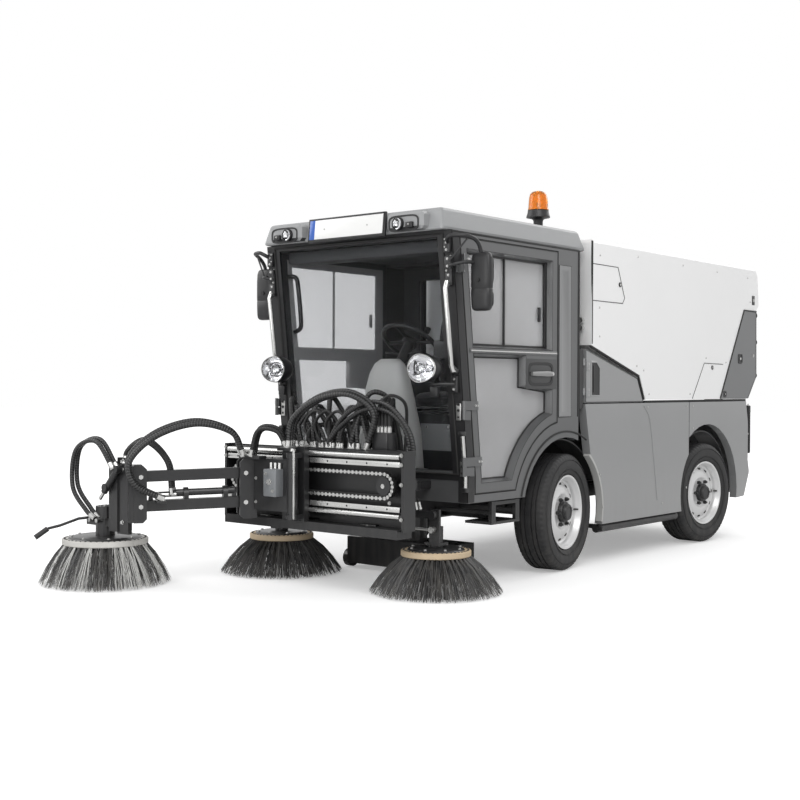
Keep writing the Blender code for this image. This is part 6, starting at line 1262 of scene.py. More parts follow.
def build_controls():
    """The domed console, the steering wheel on its column, the pedals and the arm-rest stalk."""
    shape = Shape("console_grey")
    front, floor = -0.84, 0.482
    rings = []
    for z, wide, deep, y in ((floor, 0.236, 0.112, 0.116), (0.62, 0.222, 0.106, 0.11),
                             (0.76, 0.196, 0.098, 0.102), (0.9, 0.168, 0.088, 0.094),
                             (1.02, 0.142, 0.078, 0.088), (1.1, 0.118, 0.066, 0.088),
                             (1.15, 0.092, 0.05, 0.092), (1.176, 0.058, 0.03, 0.098)):
        rings.append(oval((-0.01, front + y, z), (wide, deep), 2.6, 40))
    shape.loft(rings)
    hub = Vector((-0.02, -0.56, 1.27))
    foot = Vector((-0.02, -0.72, 1.05))
    shape.use("black_plastic").rod(foot, hub, 0.03, 20)
    shape.tube([foot + (hub - foot) * 0.05, foot + (hub - foot) * 0.45], 0.04, 20)
    lay = Matrix.Translation(hub) @ Matrix.Rotation(math.radians(-36.0), 4, "X")
    section = [(0.16 + 0.0125 * math.cos(math.tau * -k / 12), 0.0125 * math.sin(math.tau * -k / 12))
               for k in range(12)]
    shape.lathe(section, 64, lay, True)
    shape.lathe([(0.0, 0.028), (0.03, 0.026), (0.044, 0.016), (0.048, 0.0), (0.044, -0.014), (0.0, -0.018)],
                32, lay)
    for turn in (0.0, math.pi, -math.pi / 2):
        spoke = [lay @ Vector((radius * math.cos(turn), radius * math.sin(turn), height)) for radius,
                 height in ((0.035, 0.008), (0.09, 0.002), (0.156, 0.0))]
        shape.tube(spoke, 0.0105, 10)
    stalk = lay @ Vector((0.145, -0.06, 0.022))
    shape.rod(stalk, lay @ Vector((0.145, -0.06, 0.05)), 0.015, 16)
    for turn in (-1, 1):
        shape.rod(foot + (hub - foot) * 0.7, foot + (hub - foot) * 0.7
                  + Vector((turn * 0.13, -0.01, 0.012)), 0.006, 10)
    for x in (-0.3, 0.27):
        shape.use("black_rubber").box((x - 0.032, x + 0.032), (-0.7, -0.688), (0.56, 0.64), 0.004)
        shape.use("zinc").bar((x, -0.694, 0.6), (x, -0.8, 0.7), 0.014, 0.008, 0.002)
    shape.use("black_plastic").tube([Vector((-0.25, -0.3, 0.9)), Vector((-0.262, -0.38, 0.96)),
                                     Vector((-0.262, -0.42, 1.0)), Vector((-0.28, -0.47, 1.012))], 0.013,
                                    12, 6)
    shape.box((-0.3, -0.24), (-0.33, 0.0), (0.88, 0.93), 0.016)
    shape.place("steering_console", "vehicle", ["dashboard"], "black_plastic", 40.0)


def build_lining():
    """Inside the cab: the dark ceiling, the grab handle, the visor bar and a small screen on its stalk."""
    shape = Shape("lining")
    shape.box((-0.598, 0.598), (-0.99, 0.08), (1.772, 1.786), 0.006)
    shape.box((-0.56, 0.56), (-0.985, -0.86), (1.7, 1.772), 0.02)
    shape.use("black_plastic")
    for side in (-1, 1):
        shape.tube([Vector((side * 0.585, -0.955, 1.64)), Vector((side * 0.54, -0.935, 1.63)),
                    Vector((side * 0.53, -0.925, 1.56)), Vector((side * 0.53, -0.905, 1.4)),
                    Vector((side * 0.545, -0.895, 1.35)), Vector((side * 0.585, -0.9, 1.33))], 0.0125, 12,
                   5)
    shape.box((0.3, 0.45), (-0.76, -0.735), (1.17, 1.27), 0.008)
    shape.rod((0.375, -0.735, 1.215), (0.43, -0.8, 1.12), 0.01, 12)
    shape.use("zinc").rod((0.575, -0.56, 1.5), (0.598, -0.56, 1.5), 0.014, 16)
    shape.place("cab_lining", "vehicle", smooth=35.0)


# Hopper, covers and body

def build_hopper_trim():
    """Rivets, the flap and hatch seams with their locks, the rubber under the slope, corner seals and hooks."""
    shape = Shape()
    side = BODY_X
    for y, z in RIVETS:
        shape.use("zinc").rod((side - 0.001, y, z), (side + 0.003, y, z), 0.0075, 14, 0.0045)
    for outline in (FLAP, HATCH):
        shape.use("black_rubber").tube([(side + 0.0003, y, z) for y, z in outline], 0.0024, 6)
        inner = [(side + 0.0003, y, z) for y, z in outline]
        shape.use("hopper_white").tube([p + Vector((0.0, 0.006, 0.0)) for p in map(Vector, inner)], 0.0014, 6)
    for y, z in ((0.577, 1.632), (1.804, 1.158)):
        shape.use("black_plastic").rod((side - 0.001, y, z), (side + 0.005, y, z), 0.015, 24, 0.013)
        shape.use("bright_steel").rod((side + 0.004, y, z), (side + 0.0062, y, z), 0.0075, 16)
    slope = [(0.892, 0.951), (0.82, 1.096), (0.262, 1.263)]
    shape.use("black_rubber").tube([(side - 0.012, y, z) for y, z in slope], 0.0085, 8)
    shape.tube([(side - 0.003, HOPPER_FRONT_Y, z) for z in (1.275, 1.5, 1.7, 1.866)], 0.006, 8)
    edge = [(1.926, 0.953), (2.291, 1.563), (2.489, 1.563)]
    shape.tube([(side + 0.0012, y, z) for y, z in edge], 0.006, 8)
    shape.tube([(side + 0.0012, y, z) for y, z in ((2.489, 1.563), (2.497, 1.105), (2.364, 0.953))], 0.003, 8)
    for y, z, half in ((2.232, 1.225, 0.03), (1.995, 0.981, 0.017)):
        shape.use("black_plastic").loft([oval((x, y, z), (wide, wide), 5, 28, "YZ") for x,
                                         wide in ((side + 0.0022, half + 0.006),
                                                  (side + 0.0052, half + 0.003),
                                                  (side + 0.0052, half - 0.004),
                                                  (side - 0.004, half - 0.008))])
        shape.use("bright_steel").rod((side - 0.002, y, z), (side + 0.007, y, z), half * 0.3, 18)
    for z in (1.784, 1.547, 1.357, 1.122):
        shape.use("black_steel").box((0.608, 0.646), (2.5, 2.512), (z - 0.022, z + 0.022), 0.003)
        shape.tube([(0.63, 2.508, z + 0.004), (0.632, 2.532, z + 0.002), (0.634, 2.536, z - 0.014),
                    (0.634, 2.524, z - 0.022)], 0.0065, 10, 4)
    for z in (1.64, 1.25):
        shape.use("black_steel").box((0.604, 0.6515), (2.42, 2.47), (z - 0.034, z + 0.034), 0.004)
        shape.use("zinc").rod((0.6485, 2.445, z), (0.6545, 2.445, z), 0.012, 18)
    shape.mirror()
    shape.use("black_rubber")
    shape.tube([(-0.6, 2.48, 1.812), (0.6, 2.48, 1.812)], 0.007, 8)
    for x in (-0.44, 0.0, 0.44):
        shape.use("black_steel").box((x - 0.045, x + 0.045), (2.47, 2.512), (1.802, 1.826), 0.005)
        shape.use("zinc").rod((x - 0.055, 2.506, 1.814), (x + 0.055, 2.506, 1.814), 0.0075, 14)
    shape.place("hopper_fittings", "hopper", smooth=35.0)


def build_stowed_hose():
    """The ribbed cream hose that is folded on the rear door, with black ends and clips."""
    shape = Shape("cream_hose")
    depth = 2.5365
    route = [Vector((-0.44, depth, 1.14))]
    for low, high, way in ((1.14, 1.41, 1), (1.41, 1.575, -1), (1.575, 1.77, 1)):
        for x, z in arc((0.0, (low + high) / 2), (high - low) / 2, -90, 90, 24):
            route.append(Vector((way * (0.44 + x), depth, z)))
    route.append(Vector((-0.44, depth, 1.77)))
    fine = [route[0]]
    for a, b in zip(route, route[1:]):
        count = max(1, round((b - a).length / 0.0085))
        fine += [a + (b - a) * k / count for k in range(1, count + 1)]
    shape.tube(fine, 0.035, 20, ribs=0.0042)
    for z in (1.14, 1.77):
        shape.use("black_plastic").rod((-0.438, depth, z), (-0.555, depth, z), 0.0376, 28, 0.034)
    for x in (-0.3, 0.3):
        for z in (1.14, 1.41, 1.575, 1.77):
            shape.use("black_plastic").tube([(x, depth + 0.0338 * math.cos(turn), z + 0.0338
                                              * math.sin(turn)) for turn in [math.radians(-90 + 15 * k)
                                                                             for k in range(13)]], 0.0035,
                                            8)
    shape.place("folded_suction_hose", "hopper_door", ["stowed_hose"], "cream_hose", 50.0)


def build_cover_trim(side, name):
    """The recessed slot with its grip, the cut rear corner and the hinge leaves of a side cover."""
    shape = Shape()
    x = COVER_X
    slot = [(0.269, 0.982), (0.353, 0.982), (0.353, 1.134), (0.321, 1.165), (0.269, 1.165)]
    shape.use("body_grey").band([(x + 0.0004, offset_loop(slot, -0.012)),
                                 (x + 0.0026, offset_loop(slot, -0.009)),
                                 (x + 0.0026, offset_loop(slot, -0.002)), (x + 0.0006, slot)])
    shape.use("black_plastic").band([(x + 0.0022, offset_loop(slot, -0.0025)),
                                     (x + 0.0008, offset_loop(slot, 0.004)),
                                     (x + 0.0008, offset_loop(slot, 0.01))], cap=True)
    shape.bar((x + 0.0014, 0.29, 0.996), (x + 0.0014, 0.29, 1.15), 0.004, 0.012, 0.001)
    edge = [(x + 0.0004, y, z) for y, z in ((0.204, 0.94), (0.868, 0.94), (0.798, 1.077), (0.204, 1.24))]
    shape.use("black_rubber").tube(edge + edge[:1], 0.0022, 6)
    for low, high in ((0.968, 1.021), (1.119, 1.171)):
        middle = (low + high) / 2
        shape.use("body_grey").box((x + 0.0003, x + 0.003), (0.206, 0.246), (low, high), 0.002)
        for rise in (-0.014, 0.014):
            shape.use("zinc").rod((x + 0.0025, 0.232, middle + rise), (x + 0.0046, 0.232, middle + rise),
                                  0.0052, 12)
    if side < 0:
        shape.flip()
    shape.place("cover_trim_" + name, "cover_" + name, smooth=35.0)


def build_body_trim():
    """The gap under the hopper, panel seams, fender strips, hems, tail lamps and the parts below the deck."""
    shape = Shape()
    shape.use("black_rubber").box((0.6, 0.642), (0.9, 1.48), (0.929, 0.944), 0.002)
    shape.box((0.6, 0.642), (1.48, 2.35), (0.929, 0.944), 0.002)
    shape.box((0.62, 0.6475), (1.472, 1.4825), (0.8, 0.929))
    shape.use("body_grey").tube([(BODY_X + 0.0002, y, z) for y, z in ((0.877, 0.912), (0.95, 0.825),
                                                                      (1.005, 0.58), (1.05, 0.325))],
                                0.0034, 8, 5)
    for y, z in ((0.925, 0.905), (1.44, 0.905), (1.44, 0.38), (1.12, 0.3), (1.53, 0.905), (1.53, 0.76),
                 (2.37, 0.905), (2.37, 0.7)):
        shape.use("zinc").rod((BODY_X - 0.001, y, z), (BODY_X + 0.0022, y, z), 0.0068, 14)
    for middle in (0.0, WHEELBASE):
        liner = arc((middle, TYRE_RADIUS), 0.412, 150, 28, 24) + arc((middle, TYRE_RADIUS), 0.403, 28, 150, 24)
        shape.use("black_plastic").sheet(liner, "X", (0.47, 0.599))
    points = arc((0.0, TYRE_RADIUS), 0.402, -12, 52, 22)
    outer = arc((0.0, TYRE_RADIUS), 0.388, 52, -12, 22)
    shape.use("hem_grey").sheet(points + outer, "X", (0.612, 0.6515))
    shape.use("black_steel").rod((0.652, 0.376, 0.202), (0.652, 0.376, 0.218), 0.012, 16)
    shape.rod((0.628, 0.376, 0.202), (0.664, 0.376, 0.202), 0.0135, 18)
    for y, z in ((0.392, 0.33), (0.36, 0.52)):
        shape.use("zinc").rod((0.651, y, z), (0.6545, y, z), 0.007, 6)
    rear = 2.419
    shape.use("black_plastic").box((0.47, 0.638), (rear - 0.002, rear + 0.03), (0.56, 0.9), 0.01)
    for z, look_name in ((0.845, "amber_lens"), (0.77, "red_lens"), (0.695, "red_lens"), (0.625, "hem_grey")):
        middle = Matrix.Translation((0.554, rear + 0.028, z)) @ Matrix.Rotation(-math.pi / 2, 4, "X")
        shape.use("black_plastic").lathe([(0.034, -0.004), (0.034, 0.01), (0.0315, 0.012), (0.031, 0.004)],
                                         32, middle)
        shape.use(look_name).lathe([(0.0312, 0.006), (0.029, 0.0125), (0.018, 0.0155), (0.0, 0.016)], 32,
                                   middle)
    shape.use("red_lens").rod((0.41, rear + 0.001, 0.5), (0.41, rear + 0.008, 0.5), 0.03, 28)
    shape.mirror()
    shape.use("black_steel")
    shape.box((-0.52, 0.52), (rear - 0.004, rear + 0.036), (0.345, 0.415), 0.008)
    plate = Matrix.Translation((0.0, rear + 0.004, 0.64)) @ Matrix.Rotation(math.pi, 4, "Z")
    shape.use("black_plastic").box((-0.27, 0.27), (-0.01, 0.004), (-0.064, 0.064), 0.004, plate)
    shape.use("white_paint").box((-0.26, 0.26), (-0.0125, -0.008), (-0.055, 0.055), 0.0012, plate)
    shape.use("blue_band").box((-0.2575, -0.219), (-0.0131, -0.011), (-0.0525, 0.0525), 0.0008, plate)
    for z in (0.78, 0.8, 0.82, 0.84, 0.86, 0.88):
        shape.use("black_plastic").box((-0.3, 0.3), (rear - 0.002, rear + 0.01), (z - 0.005, z + 0.005),
                                       0.002)
    shape.use("black_steel").rod((0.18, 2.1, 0.3), (0.18, 2.44, 0.3), 0.026, 20)
    shape.box((-0.3, 0.3), (0.62, 0.96), (0.34, 0.424), 0.02)
    for x in (-0.12, 0.0, 0.12):
        shape.use("black_rubber").tube([(x, 0.98, 0.38), (x * 1.5, 1.3, 0.33), (x * 1.2, 1.7, 0.34),
                                        (x, 2.05, 0.33)], 0.012, 10, 5)
    shape.place("body_fittings", "vehicle", smooth=35.0)


# Front gear

def build_front_gear():
    """Bolts and bright strips of the front frame, chain plates, sprocket teeth and the hydraulic blocks."""
    shape = Shape()
    face = FRAME_Y - 0.0302
    for z, strip in ((0.69, 0.655), (0.405, 0.44)):
        shape.use("bright_steel").rod((-0.597, FRAME_Y - 0.004, z), (0.597, FRAME_Y - 0.004, z), 0.0134, 20)
        shape.box((-0.598, 0.598), (FRAME_Y - 0.01, FRAME_Y + 0.006), (strip - 0.013, strip + 0.013), 0.002)
        for k in range(9):
            spot = (-0.52 + 0.13 * k, FRAME_Y - 0.01, strip)
            shape.use("black_steel").rod(spot, (spot[0], FRAME_Y - 0.0112, strip), 0.0048, 10)
    for side in (-1, 1):
        for z in (0.395, 0.56, 0.655, 0.7):
            shape.use("zinc").bolt((side * 0.611, FRAME_Y - 0.0125, z), (0, -1, 0), 0.0095)
        shape.bolt((side * 0.54, FRAME_Y - 0.014, 0.47), (0, -1, 0), 0.009)
        for turn in range(14):
            heading = math.tau * turn / 14
            spot = Vector((side * CHAIN_X, FRAME_Y + 0.018, CHAIN_Z))
            tooth = spot + Vector((0.052 * math.cos(heading), 0, 0.052 * math.sin(heading)))
            shape.use("black_steel").rod(tooth - Vector((0, 0.004, 0)), tooth + Vector((0, 0.004, 0)),
                                         0.0085, 8)
        hub = (side * CHAIN_X, FRAME_Y - 0.0165, CHAIN_Z)
        shape.use("black_steel").rod((side * CHAIN_X, FRAME_Y - 0.004, CHAIN_Z), hub, 0.044, 40)
        shape.use("bright_steel").rod(hub, (hub[0], hub[1] - 0.004, hub[2]), 0.0115, 20)
        for k in range(19):
            heading = math.radians(-90 + 10 * k)
            spot = Vector((side * (CHAIN_X + CHAIN_HALF * math.cos(heading)), CHAIN_FACE_Y, CHAIN_Z
                           + CHAIN_HALF * math.sin(heading)))
            shape.use("bright_steel").rod(spot, spot - Vector((0, 0.0055, 0)), 0.0092 if k % 2 else 0.0045,
                                          12)
    for run in (CHAIN_HALF, -CHAIN_HALF):
        for k in range(79):
            spot = Vector((-0.495 + 0.0127 * k, CHAIN_FACE_Y, CHAIN_Z + run))
            shape.use("bright_steel").rod(spot, spot - Vector((0, 0.0055, 0)), 0.0096 if k % 2 else 0.0045,
                                          12)
    for x in (-0.35, -0.05, 0.35):
        shape.use("black_steel").box((x - 0.055, x + 0.055), (FRAME_Y + 0.04, FRAME_Y + 0.076),
                                     (0.3, 0.352), 0.005)
        for z in (0.312, 0.34):
            shape.use("zinc").bolt((x, FRAME_Y + 0.04, z), (0, -1, 0), 0.0085)
    for x in (-0.54, -0.44, 0.44, 0.54):
        shape.use("zinc").bolt((x, -1.3, 0.323), (0, -1, 0), 0.0095)
    shape.use("black_steel").box((0.33, 0.43), (-1.285, -1.215), (0.7, 0.8), 0.006)
    for k, x in enumerate((0.345, 0.368, 0.392, 0.415)):
        shape.use("bright_steel").rod((x, -1.25, 0.798), (x, -1.25, 0.832), 0.0105, 6)
        shape.use("black_rubber").tube([(x, -1.25, 0.825), (x - 0.01, -1.235, 0.9), (x - 0.06, -1.15, 0.96),
                                        (x - 0.1 - 0.01 * k, -1.06, 0.9), (x - 0.1, -1.042, 0.74),
                                        (x - 0.1, -1.04, HOSE_BAR_Z)], 0.0105, 12, 6)
    shape.place("front_frame_fittings", "vehicle", smooth=35.0)
    build_hose_bundle()

    slide = Shape()
    slide.use("bright_steel").box((-0.0075, 0.0058), (-1.4995, -1.4945), (0.362, 0.71), 0.001)
    for x, z in ((-0.135, 0.69), (-0.1, 0.69), (-0.135, 0.56), (-0.1, 0.62), (-0.135, 0.47), (-0.1, 0.4),
                 (-0.135, 0.372)):
        slide.use("zinc").bolt((x, -1.418, z), (0, -1, 0), 0.0095)
    for z in (0.37, 0.68):
        slide.use("bright_steel").bolt((-0.036, -1.468, z + 0.02), (0, 0, 1), 0.017)
    slide.use("black_steel").box((-0.146, -0.03), (-1.472, -1.404), (0.7, 0.718), 0.003)
    slide.place("carriage_fittings", "carriage", smooth=35.0)

    swing = Shape()
    swing.use("valve_grey").box((-0.175, -0.085), (-1.54, -1.455), (0.47, 0.61), 0.006)
    swing.use("bright_steel").bolt((-0.13, -1.54, 0.545), (0, -1, 0), 0.015)
    for x, z in ((-0.105, 0.5), (-0.155, 0.585), (-0.225, 0.56), (-0.225, 0.44)):
        swing.use("zinc").bolt((x, -1.54, z), (0, -1, 0), 0.008)
    for x in (-0.16, -0.13, -0.1):
        swing.use("bright_steel").rod((x, -1.495, 0.606), (x, -1.495, 0.64), 0.0105, 6)
    across = Vector(((ARM_OUTER - ARM_INNER).y, -(ARM_OUTER - ARM_INNER).x, 0.0)).normalized()
    for z in (ARM_INNER.z, ARM_INNER.z + ARM_SPACING):
        for way in (-1, 1):
            spot = Vector((ARM_INNER.x, ARM_INNER.y, z)) + across * way * 0.049
            swing.use("bright_steel").bolt(spot, across * way, 0.015)
    swing.use("black_steel").box((-0.35, -0.2), (-1.545, -1.49), (0.655, 0.672), 0.003)
    swing.place("swing_fittings", "swing_bracket", smooth=35.0)

    run = (ARM_OUTER - ARM_INNER).normalized()
    cylinder = Shape()
    start = ARM_INNER + Vector((0, 0, 0.052)) + run * 0.3
    cylinder.use("bright_steel").rod(start, start + run * 0.15, 0.0125, 18)
    for share in (0.1, 0.3):
        spot = ARM_INNER + run * share + Vector((0, 0, 0.052))
        cylinder.use("black_steel").rod(spot - run * 0.012, spot + run * 0.012, 0.0345, 24)
        cylinder.use("zinc").rod(spot + across * 0.03, spot + across * 0.05, 0.009, 6)
    beside = Vector((-run.y, run.x, 0.0))
    spot = ARM_INNER + run * 0.43 + Vector((0, 0, 0.022))
    cylinder.use("black_steel").bar(spot, spot + beside * 0.09, 0.05, 0.012, 0.002)
    cylinder.place("arm_cylinder_fittings", "lower_beam", smooth=35.0)

    head = Shape()
    for z in (ARM_OUTER.z, ARM_OUTER.z + ARM_SPACING):
        for way in (-1, 1):
            spot = Vector((ARM_OUTER.x, ARM_OUTER.y, z)) + across * way * 0.049
            head.use("bright_steel").bolt(spot, across * way, 0.015)
    for z in (0.64, 0.6, 0.33):
        head.use("bright_steel").bolt((-0.756, -1.9645, z), (0, -1, 0), 0.011)
    head.use("black_steel").rod((-0.77, -1.985, 0.6), (-0.88, -1.985, 0.48), 0.017, 20)
    head.use("bright_steel").rod((-0.88, -1.985, 0.48), (-0.915, -1.985, 0.442), 0.009, 16)
    for spot in ((-0.77, -1.985, 0.6), (-0.858, -1.985, 0.504)):
        head.use("black_steel").rod(Vector(spot) - Vector((0, 0.02, 0)), Vector(spot)
                                    + Vector((0, 0.04, 0)), 0.02, 20)
    head.place("arm_head_fittings", "arm_head", smooth=35.0)

    motor = Shape()
    top = THIRD_BROOM.xy.to_3d()
    for k in range(4):
        heading = math.tau * (k + 0.5) / 4
        spot = top + Vector((0.034 * math.cos(heading), 0.034 * math.sin(heading), 0.399))
        motor.use("zinc").bolt(spot, (0, 0, 1), 0.0065)
    motor.use("black_steel").lathe([(0.0, 0.404), (0.024, 0.404), (0.026, 0.3985), (0.0, 0.3985)], 24,
                                   Matrix.Translation(top))
    for way in (-1, 1):
        spot = top + Vector((way * 0.03, -0.048, 0.33))
        motor.use("bright_steel").rod(spot, spot + Vector((0, -0.034, 0)), 0.012, 6)
    motor.place("motor_fittings", "broom_bracket", smooth=35.0)


# Hoses

def build_hose_bundle():
    """The crowd of fixed hoses behind the front frame, which loop from its top to the cab's foot."""
    rng = random.Random(11)
    shape = Shape()
    shape.use("black_steel").box((-0.3, 0.5), (-1.301, -1.244), (0.688, 0.714), 0.003)
    shape.box((-0.365, 0.43), (-1.06, -1.02), (0.5, HOSE_BAR_Z - 0.01), 0.004)
    for x in (-0.33, 0.0, 0.395):
        shape.box((x - 0.015, x + 0.015), (-1.022, CAB_SILL_FRONT + 0.004), (0.505, 0.545), 0.003)
    for k in range(15):
        x = -0.245 + 0.04 * k + rng.uniform(-0.016, 0.016)
        high = rng.uniform(0.83, 1.0) - 0.1 * abs(x - 0.05)
        lean = rng.uniform(-0.13, 0.13)
        radius = rng.choice((0.0085, 0.0105, 0.013))
        route = [(x, -1.262, 0.716), (x + lean * 0.3, -1.265, 0.8), (x + lean, -1.225, high),
                 (x + lean * 1.6, -1.14, high - 0.02), (x + lean * 1.2, -1.075, high - 0.15),
                 (x + lean * 0.6, -1.04, HOSE_BAR_Z)]
        shape.use(("sleeve", "hose")[k % 2]).tube(route, radius, 12, 7)
        shape.use("bright_steel").rod((x, -1.262, 0.7), (x, -1.262, 0.742), radius * 1.25, 12)
        shape.rod((x, -1.262, 0.706), (x, -1.262, 0.722), radius * 1.5, 6)
        shape.rod((x + lean * 0.6, -1.04, HOSE_BAR_Z - 0.014), (x + lean * 0.6, -1.04, HOSE_BAR_Z + 0.026),
                  radius * 1.3, 12)
    for rise, out in ((0.0, 0.0), (0.032, 0.022)):
        route = [(0.02, -1.268, 0.735), (0.12, -1.275, 0.83 + rise), (0.27, -1.275, 0.91 + rise),
                 (0.41, -1.262, 0.905 + rise), (0.5 + out, -1.245, 0.83), (0.53 + out, -1.23, 0.72),
                 (0.5 + out, -1.22, 0.6), (0.47 + out, -1.205, 0.53)]
        shape.use("sleeve").tube(route, 0.012, 14, 8)
        shape.use("bright_steel").rod(route[-1], (0.464 + out, -1.203, 0.505), 0.015, 14)
    for k in range(4):
        x = -0.17 + 0.075 * k
        route = [(x, -1.268, 0.72), (x - 0.05, -1.272, 0.83), (x + 0.03, -1.268, 0.9),
                 (x + 0.11, -1.262, 0.83), (x + 0.13, -1.262, 0.722)]
        shape.use("hose").tube(route, 0.008, 10, 7)
        for end in (route[0], route[-1]):
            shape.use("bright_steel").rod((end[0], end[1], 0.704), (end[0], end[1], 0.738), 0.0105, 12)
    shape.place("hose_bundle", "vehicle")


def spread_hose(name, points, radius, count, gap, lay):
    """A bundle of hoses between two bodies that one joint joins, each in a fitting at both ends."""
    shape = Shape()
    route = curved([Vector(p) for p in points], 10)
    span = (route[-1] - route[0]).normalized()
    side = span.cross(Vector((0, 0, 1)))
    side = side.normalized() if side.length > 0.2 else Vector((0, 1, 0))
    for k in range(count):
        offset = side * gap * (k - (count - 1) / 2)
        line = [point + offset + Vector((0, 0, 0.5 * gap * (k % 2)
                                         * math.sin(math.pi * step / (len(route) - 1)))) for step,
                point in enumerate(route)]
        shape.use(lay).tube(line, radius, 12)
        for end, after in ((line[0], line[2]), (line[-1], line[-3])):
            aim = (after - end).normalized()
            shape.use("bright_steel").rod(end - aim * 0.004, end + aim * 0.026, radius * 1.18, 14)
            shape.rod(end - aim * 0.012, end - aim * 0.002, radius * 1.3, 6)
    shape.place_bend(name)


def build_hoses():
    """Hose runs to the third broom's arm in stretches, each across one joint of the arm."""
    spread_hose("hoses_frame_to_carriage", [(0.3, -1.27, 0.724),
                                                                   (0.345, -1.275, 0.895),
                                                                   (0.23, -1.33, 0.985),
                                                                   (0.06, -1.38, 0.96),
                                                                   (-0.06, -1.43, 0.86),
                                                                   (-0.085, -1.436, 0.728)], 0.013, 3,
                0.032, "sleeve")
    spread_hose("hoses_carriage_to_swing", [(-0.105, -1.44, 0.728),
                                                                         (-0.13, -1.48, 0.8),
                                                                         (-0.215, -1.525, 0.8),
                                                                         (-0.27, -1.52, 0.682)], 0.011, 3,
                0.026, "hose")
    run = (ARM_OUTER - ARM_INNER).xy.to_3d().normalized()
    beside = Vector((-run.y, run.x, 0.0))
    loop = ((0.02, 0.055, 0.682), (0.08, 0.085, 0.79), (0.26, 0.095, 0.835), (0.46, 0.095, 0.775),
            (0.59, 0.092, 0.65), (0.56, 0.085, 0.53), (0.43, 0.062, 0.462))
    route = [ARM_INNER.xy.to_3d() + run * along + beside * out + Vector((0, 0, z)) for along, out, z in loop]
    spread_hose("hoses_swing_to_beam", route, 0.015, 2, 0.034, "sleeve")
    spread_hose("hoses_beam_to_head", [(-0.575, -1.79, 0.48), (-0.6, -1.8, 0.64),
                                                                 (-0.69, -1.86, 0.74), (-0.77, -1.91, 0.7),
                                                                 (-0.77, -1.935, 0.64)], 0.011, 3, 0.026,
                "hose")
    spread_hose("hoses_head_to_motor", [(-0.795, -1.985, 0.61),
                                                                     (-0.9, -2.01, 0.74),
                                                                     (-1.04, -2.03, 0.69),
                                                                     (-1.08, -2.02, 0.5),
                                                                     (-1.0, -1.995, 0.38),
                                                                     (-0.95, -1.985, 0.345)], 0.012, 2,
                0.03, "sleeve")
    for side, name in SIDES:
        spread_hose("hoses_side_arm_" + name, [(side * 0.3, -1.05, 0.502),
                                                                              (side * 0.315, -1.056, 0.462),
                                                                              (side * 0.39, -1.08, 0.468),
                                                                              (side * 0.455, -1.092, 0.462),
                                                                              (side * 0.47, -1.092, 0.424)],
                    0.008, 2, 0.024, "hose")


# Panel, operators and start

def colour_property(label, text, default):
    return bpy.props.FloatVectorProperty(name=label, description=text, default=default, subtype="COLOR",
                                         size=3, min=0.0, max=1.0)


class SweeperColours(bpy.types.PropertyGroup):
    body: colour_property("Body", "Paint of the lower panels", (0.3, 0.303, 0.306))
    cab: colour_property("Cab", "Paint of the cab frame and the doors", (0.115, 0.117, 0.119))
    roof: colour_property("Roof", "Moulded cab roof", (0.3, 0.305, 0.31))
    rear: colour_property("Rear corners", "Panels at the hopper's rear corners", (0.16, 0.163, 0.166))
    hopper: colour_property("Hopper", "Paint of the hopper", (0.9, 0.9, 0.9))
    frame: colour_property("Frame", "Powder coat of the frame and the arms", (0.022, 0.022, 0.023))
    bristle: colour_property("Bristles", "Dark bristles of the brooms", (0.03, 0.03, 0.031))


class SweeperSizes(bpy.types.PropertyGroup):
    ambient: bpy.props.FloatProperty(name="Ambient", description="Strength of the studio's even light",
                                     default=0.55, min=0.0, unit="NONE")
    lamp: bpy.props.FloatProperty(name="Lamps", description="Share of the soft lamps' full power",
                                  default=1.0, min=0.0, subtype="FACTOR")
    floor: bpy.props.FloatProperty(name="Floor", description="Half of the floor's side", default=40.0,
                                   unit="LENGTH")
    floor_lift: bpy.props.FloatProperty(name="Floor lift",
                                        description="Light added to the floor in the view", default=0.32,
                                        min=0.0, subtype="FACTOR")
    tread: bpy.props.FloatProperty(name="Tread", description="Depth of the tyre's grooves", default=0.008,
                                   min=0.002, unit="LENGTH")
    tufts: bpy.props.IntProperty(name="Tufts", description="Tufts in one row of a broom", default=44, min=8)
    strands: bpy.props.IntProperty(name="Strands", description="Bristles in one tuft", default=16, min=2)
    pale_share: bpy.props.FloatProperty(name="Pale tufts",
                                        description="Share of pale tufts in the third broom", default=0.42,
                                        min=0.0, max=1.0, subtype="FACTOR")


class SWEEPER_OT_studio(bpy.types.Operator):
    """Builds the floor, the lamps and the camera"""
    bl_idname = "sweeper.studio"
    bl_label = "Studio"

    def execute(self, context):
        build_studio(context.scene.sweeper_sizes)
        return {"FINISHED"}


class SWEEPER_OT_finishes(bpy.types.Operator):
    """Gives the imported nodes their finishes"""
    bl_idname = "sweeper.finishes"
    bl_label = "Finishes"

    def execute(self, context):
        dress_nodes()
        return {"FINISHED"}


class SWEEPER_OT_wheels(bpy.types.Operator):
    """Builds the four tyres and rims"""
    bl_idname = "sweeper.wheels"
    bl_label = "Wheels"

    def execute(self, context):
        for name, side in (("front_left", 1), ("front_right", -1), ("rear_left", 1), ("rear_right", -1)):
            build_tyre(name, side, context.scene.sweeper_sizes)
            build_rim(name, side)
        return {"FINISHED"}


class SWEEPER_OT_brooms(bpy.types.Operator):
    """Builds the third broom and both side brooms"""
    bl_idname = "sweeper.brooms"
    bl_label = "Brooms"

    def execute(self, context):
        build_brooms(context.scene.sweeper_sizes)
        return {"FINISHED"}


class SWEEPER_OT_cab(bpy.types.Operator):
    """Builds the trim on the cab, its roof and its doors"""
    bl_idname = "sweeper.cab"
    bl_label = "Cab"

    def execute(self, context):
        build_front_trim()
        build_cab_sides()
        build_roof_trim()
        for side, name in SIDES:
            build_door_trim(side, name)
        return {"FINISHED"}


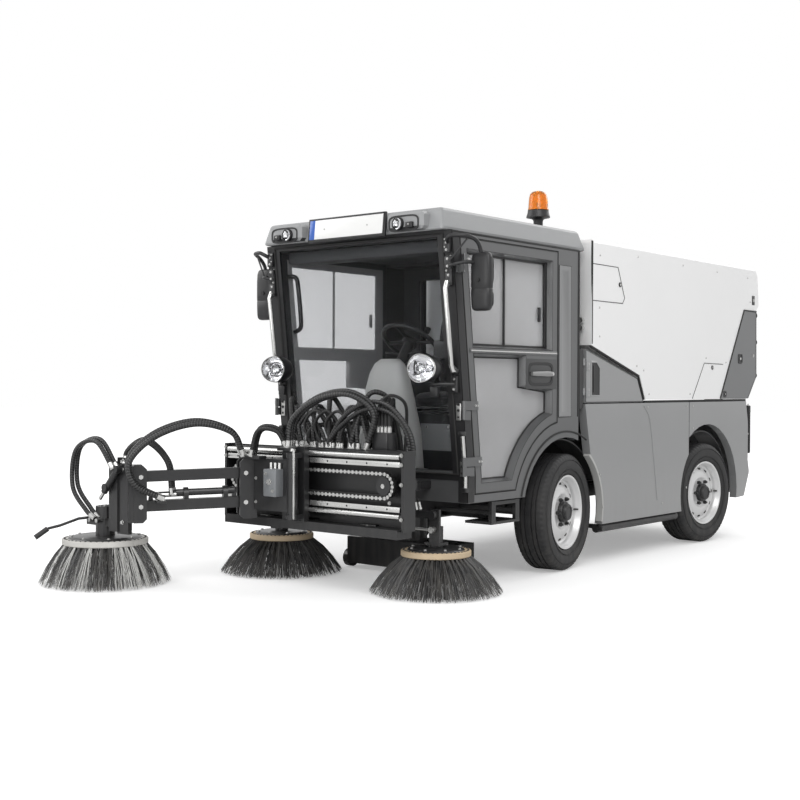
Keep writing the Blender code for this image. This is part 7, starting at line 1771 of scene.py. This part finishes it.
class SWEEPER_OT_lamps(bpy.types.Operator):
    """Builds the mirrors, the headlights and the beacon"""
    bl_idname = "sweeper.lamps"
    bl_label = "Mirrors and lamps"

    def execute(self, context):
        for side, name in SIDES:
            build_mirror(side, name)
            build_headlight(side, name)
        build_beacon()
        return {"FINISHED"}


class SWEEPER_OT_interior(bpy.types.Operator):
    """Builds the seat, the console and the cab's lining"""
    bl_idname = "sweeper.interior"
    bl_label = "Interior"

    def execute(self, context):
        build_seat()
        build_controls()
        build_lining()
        return {"FINISHED"}


class SWEEPER_OT_hopper(bpy.types.Operator):
    """Builds the fittings of the hopper, its covers and the body"""
    bl_idname = "sweeper.hopper"
    bl_label = "Hopper and body"

    def execute(self, context):
        build_hopper_trim()
        build_stowed_hose()
        build_body_trim()
        for side, name in SIDES:
            build_cover_trim(side, name)
        return {"FINISHED"}


class SWEEPER_OT_front_gear(bpy.types.Operator):
    """Builds the fittings and hoses of the front gear"""
    bl_idname = "sweeper.front_gear"
    bl_label = "Front gear"

    def execute(self, context):
        build_front_gear()
        build_hoses()
        return {"FINISHED"}


OPERATORS = (SWEEPER_OT_studio, SWEEPER_OT_finishes, SWEEPER_OT_wheels, SWEEPER_OT_brooms, SWEEPER_OT_cab,
             SWEEPER_OT_lamps, SWEEPER_OT_interior, SWEEPER_OT_hopper, SWEEPER_OT_front_gear)


class SWEEPER_PT_panel(bpy.types.Panel):
    """Lists the sweeper's sizes, colours and operators"""
    bl_label = "Sweeper"
    bl_space_type = "VIEW_3D"
    bl_region_type = "UI"
    bl_category = "Sweeper"

    def draw(self, context):
        for group in (context.scene.sweeper_colours, context.scene.sweeper_sizes):
            for name in group.bl_rna.properties.keys():
                if name not in ("rna_type", "name"):
                    self.layout.prop(group, name)
        for operator in OPERATORS:
            self.layout.operator(operator.bl_idname)


CLASSES = (SweeperColours, SweeperSizes, *OPERATORS, SWEEPER_PT_panel)


def register():
    for item in CLASSES:
        bpy.utils.register_class(item)
    bpy.types.Scene.sweeper_colours = bpy.props.PointerProperty(type=SweeperColours)
    bpy.types.Scene.sweeper_sizes = bpy.props.PointerProperty(type=SweeperSizes)


def unregister():
    del bpy.types.Scene.sweeper_sizes
    del bpy.types.Scene.sweeper_colours
    for item in reversed(CLASSES):
        bpy.utils.unregister_class(item)


def main():
    register()
    for operator in OPERATORS:
        group, name = operator.bl_idname.split(".")
        getattr(getattr(bpy.ops, group), name)()


if __name__ == "__main__":
    main()
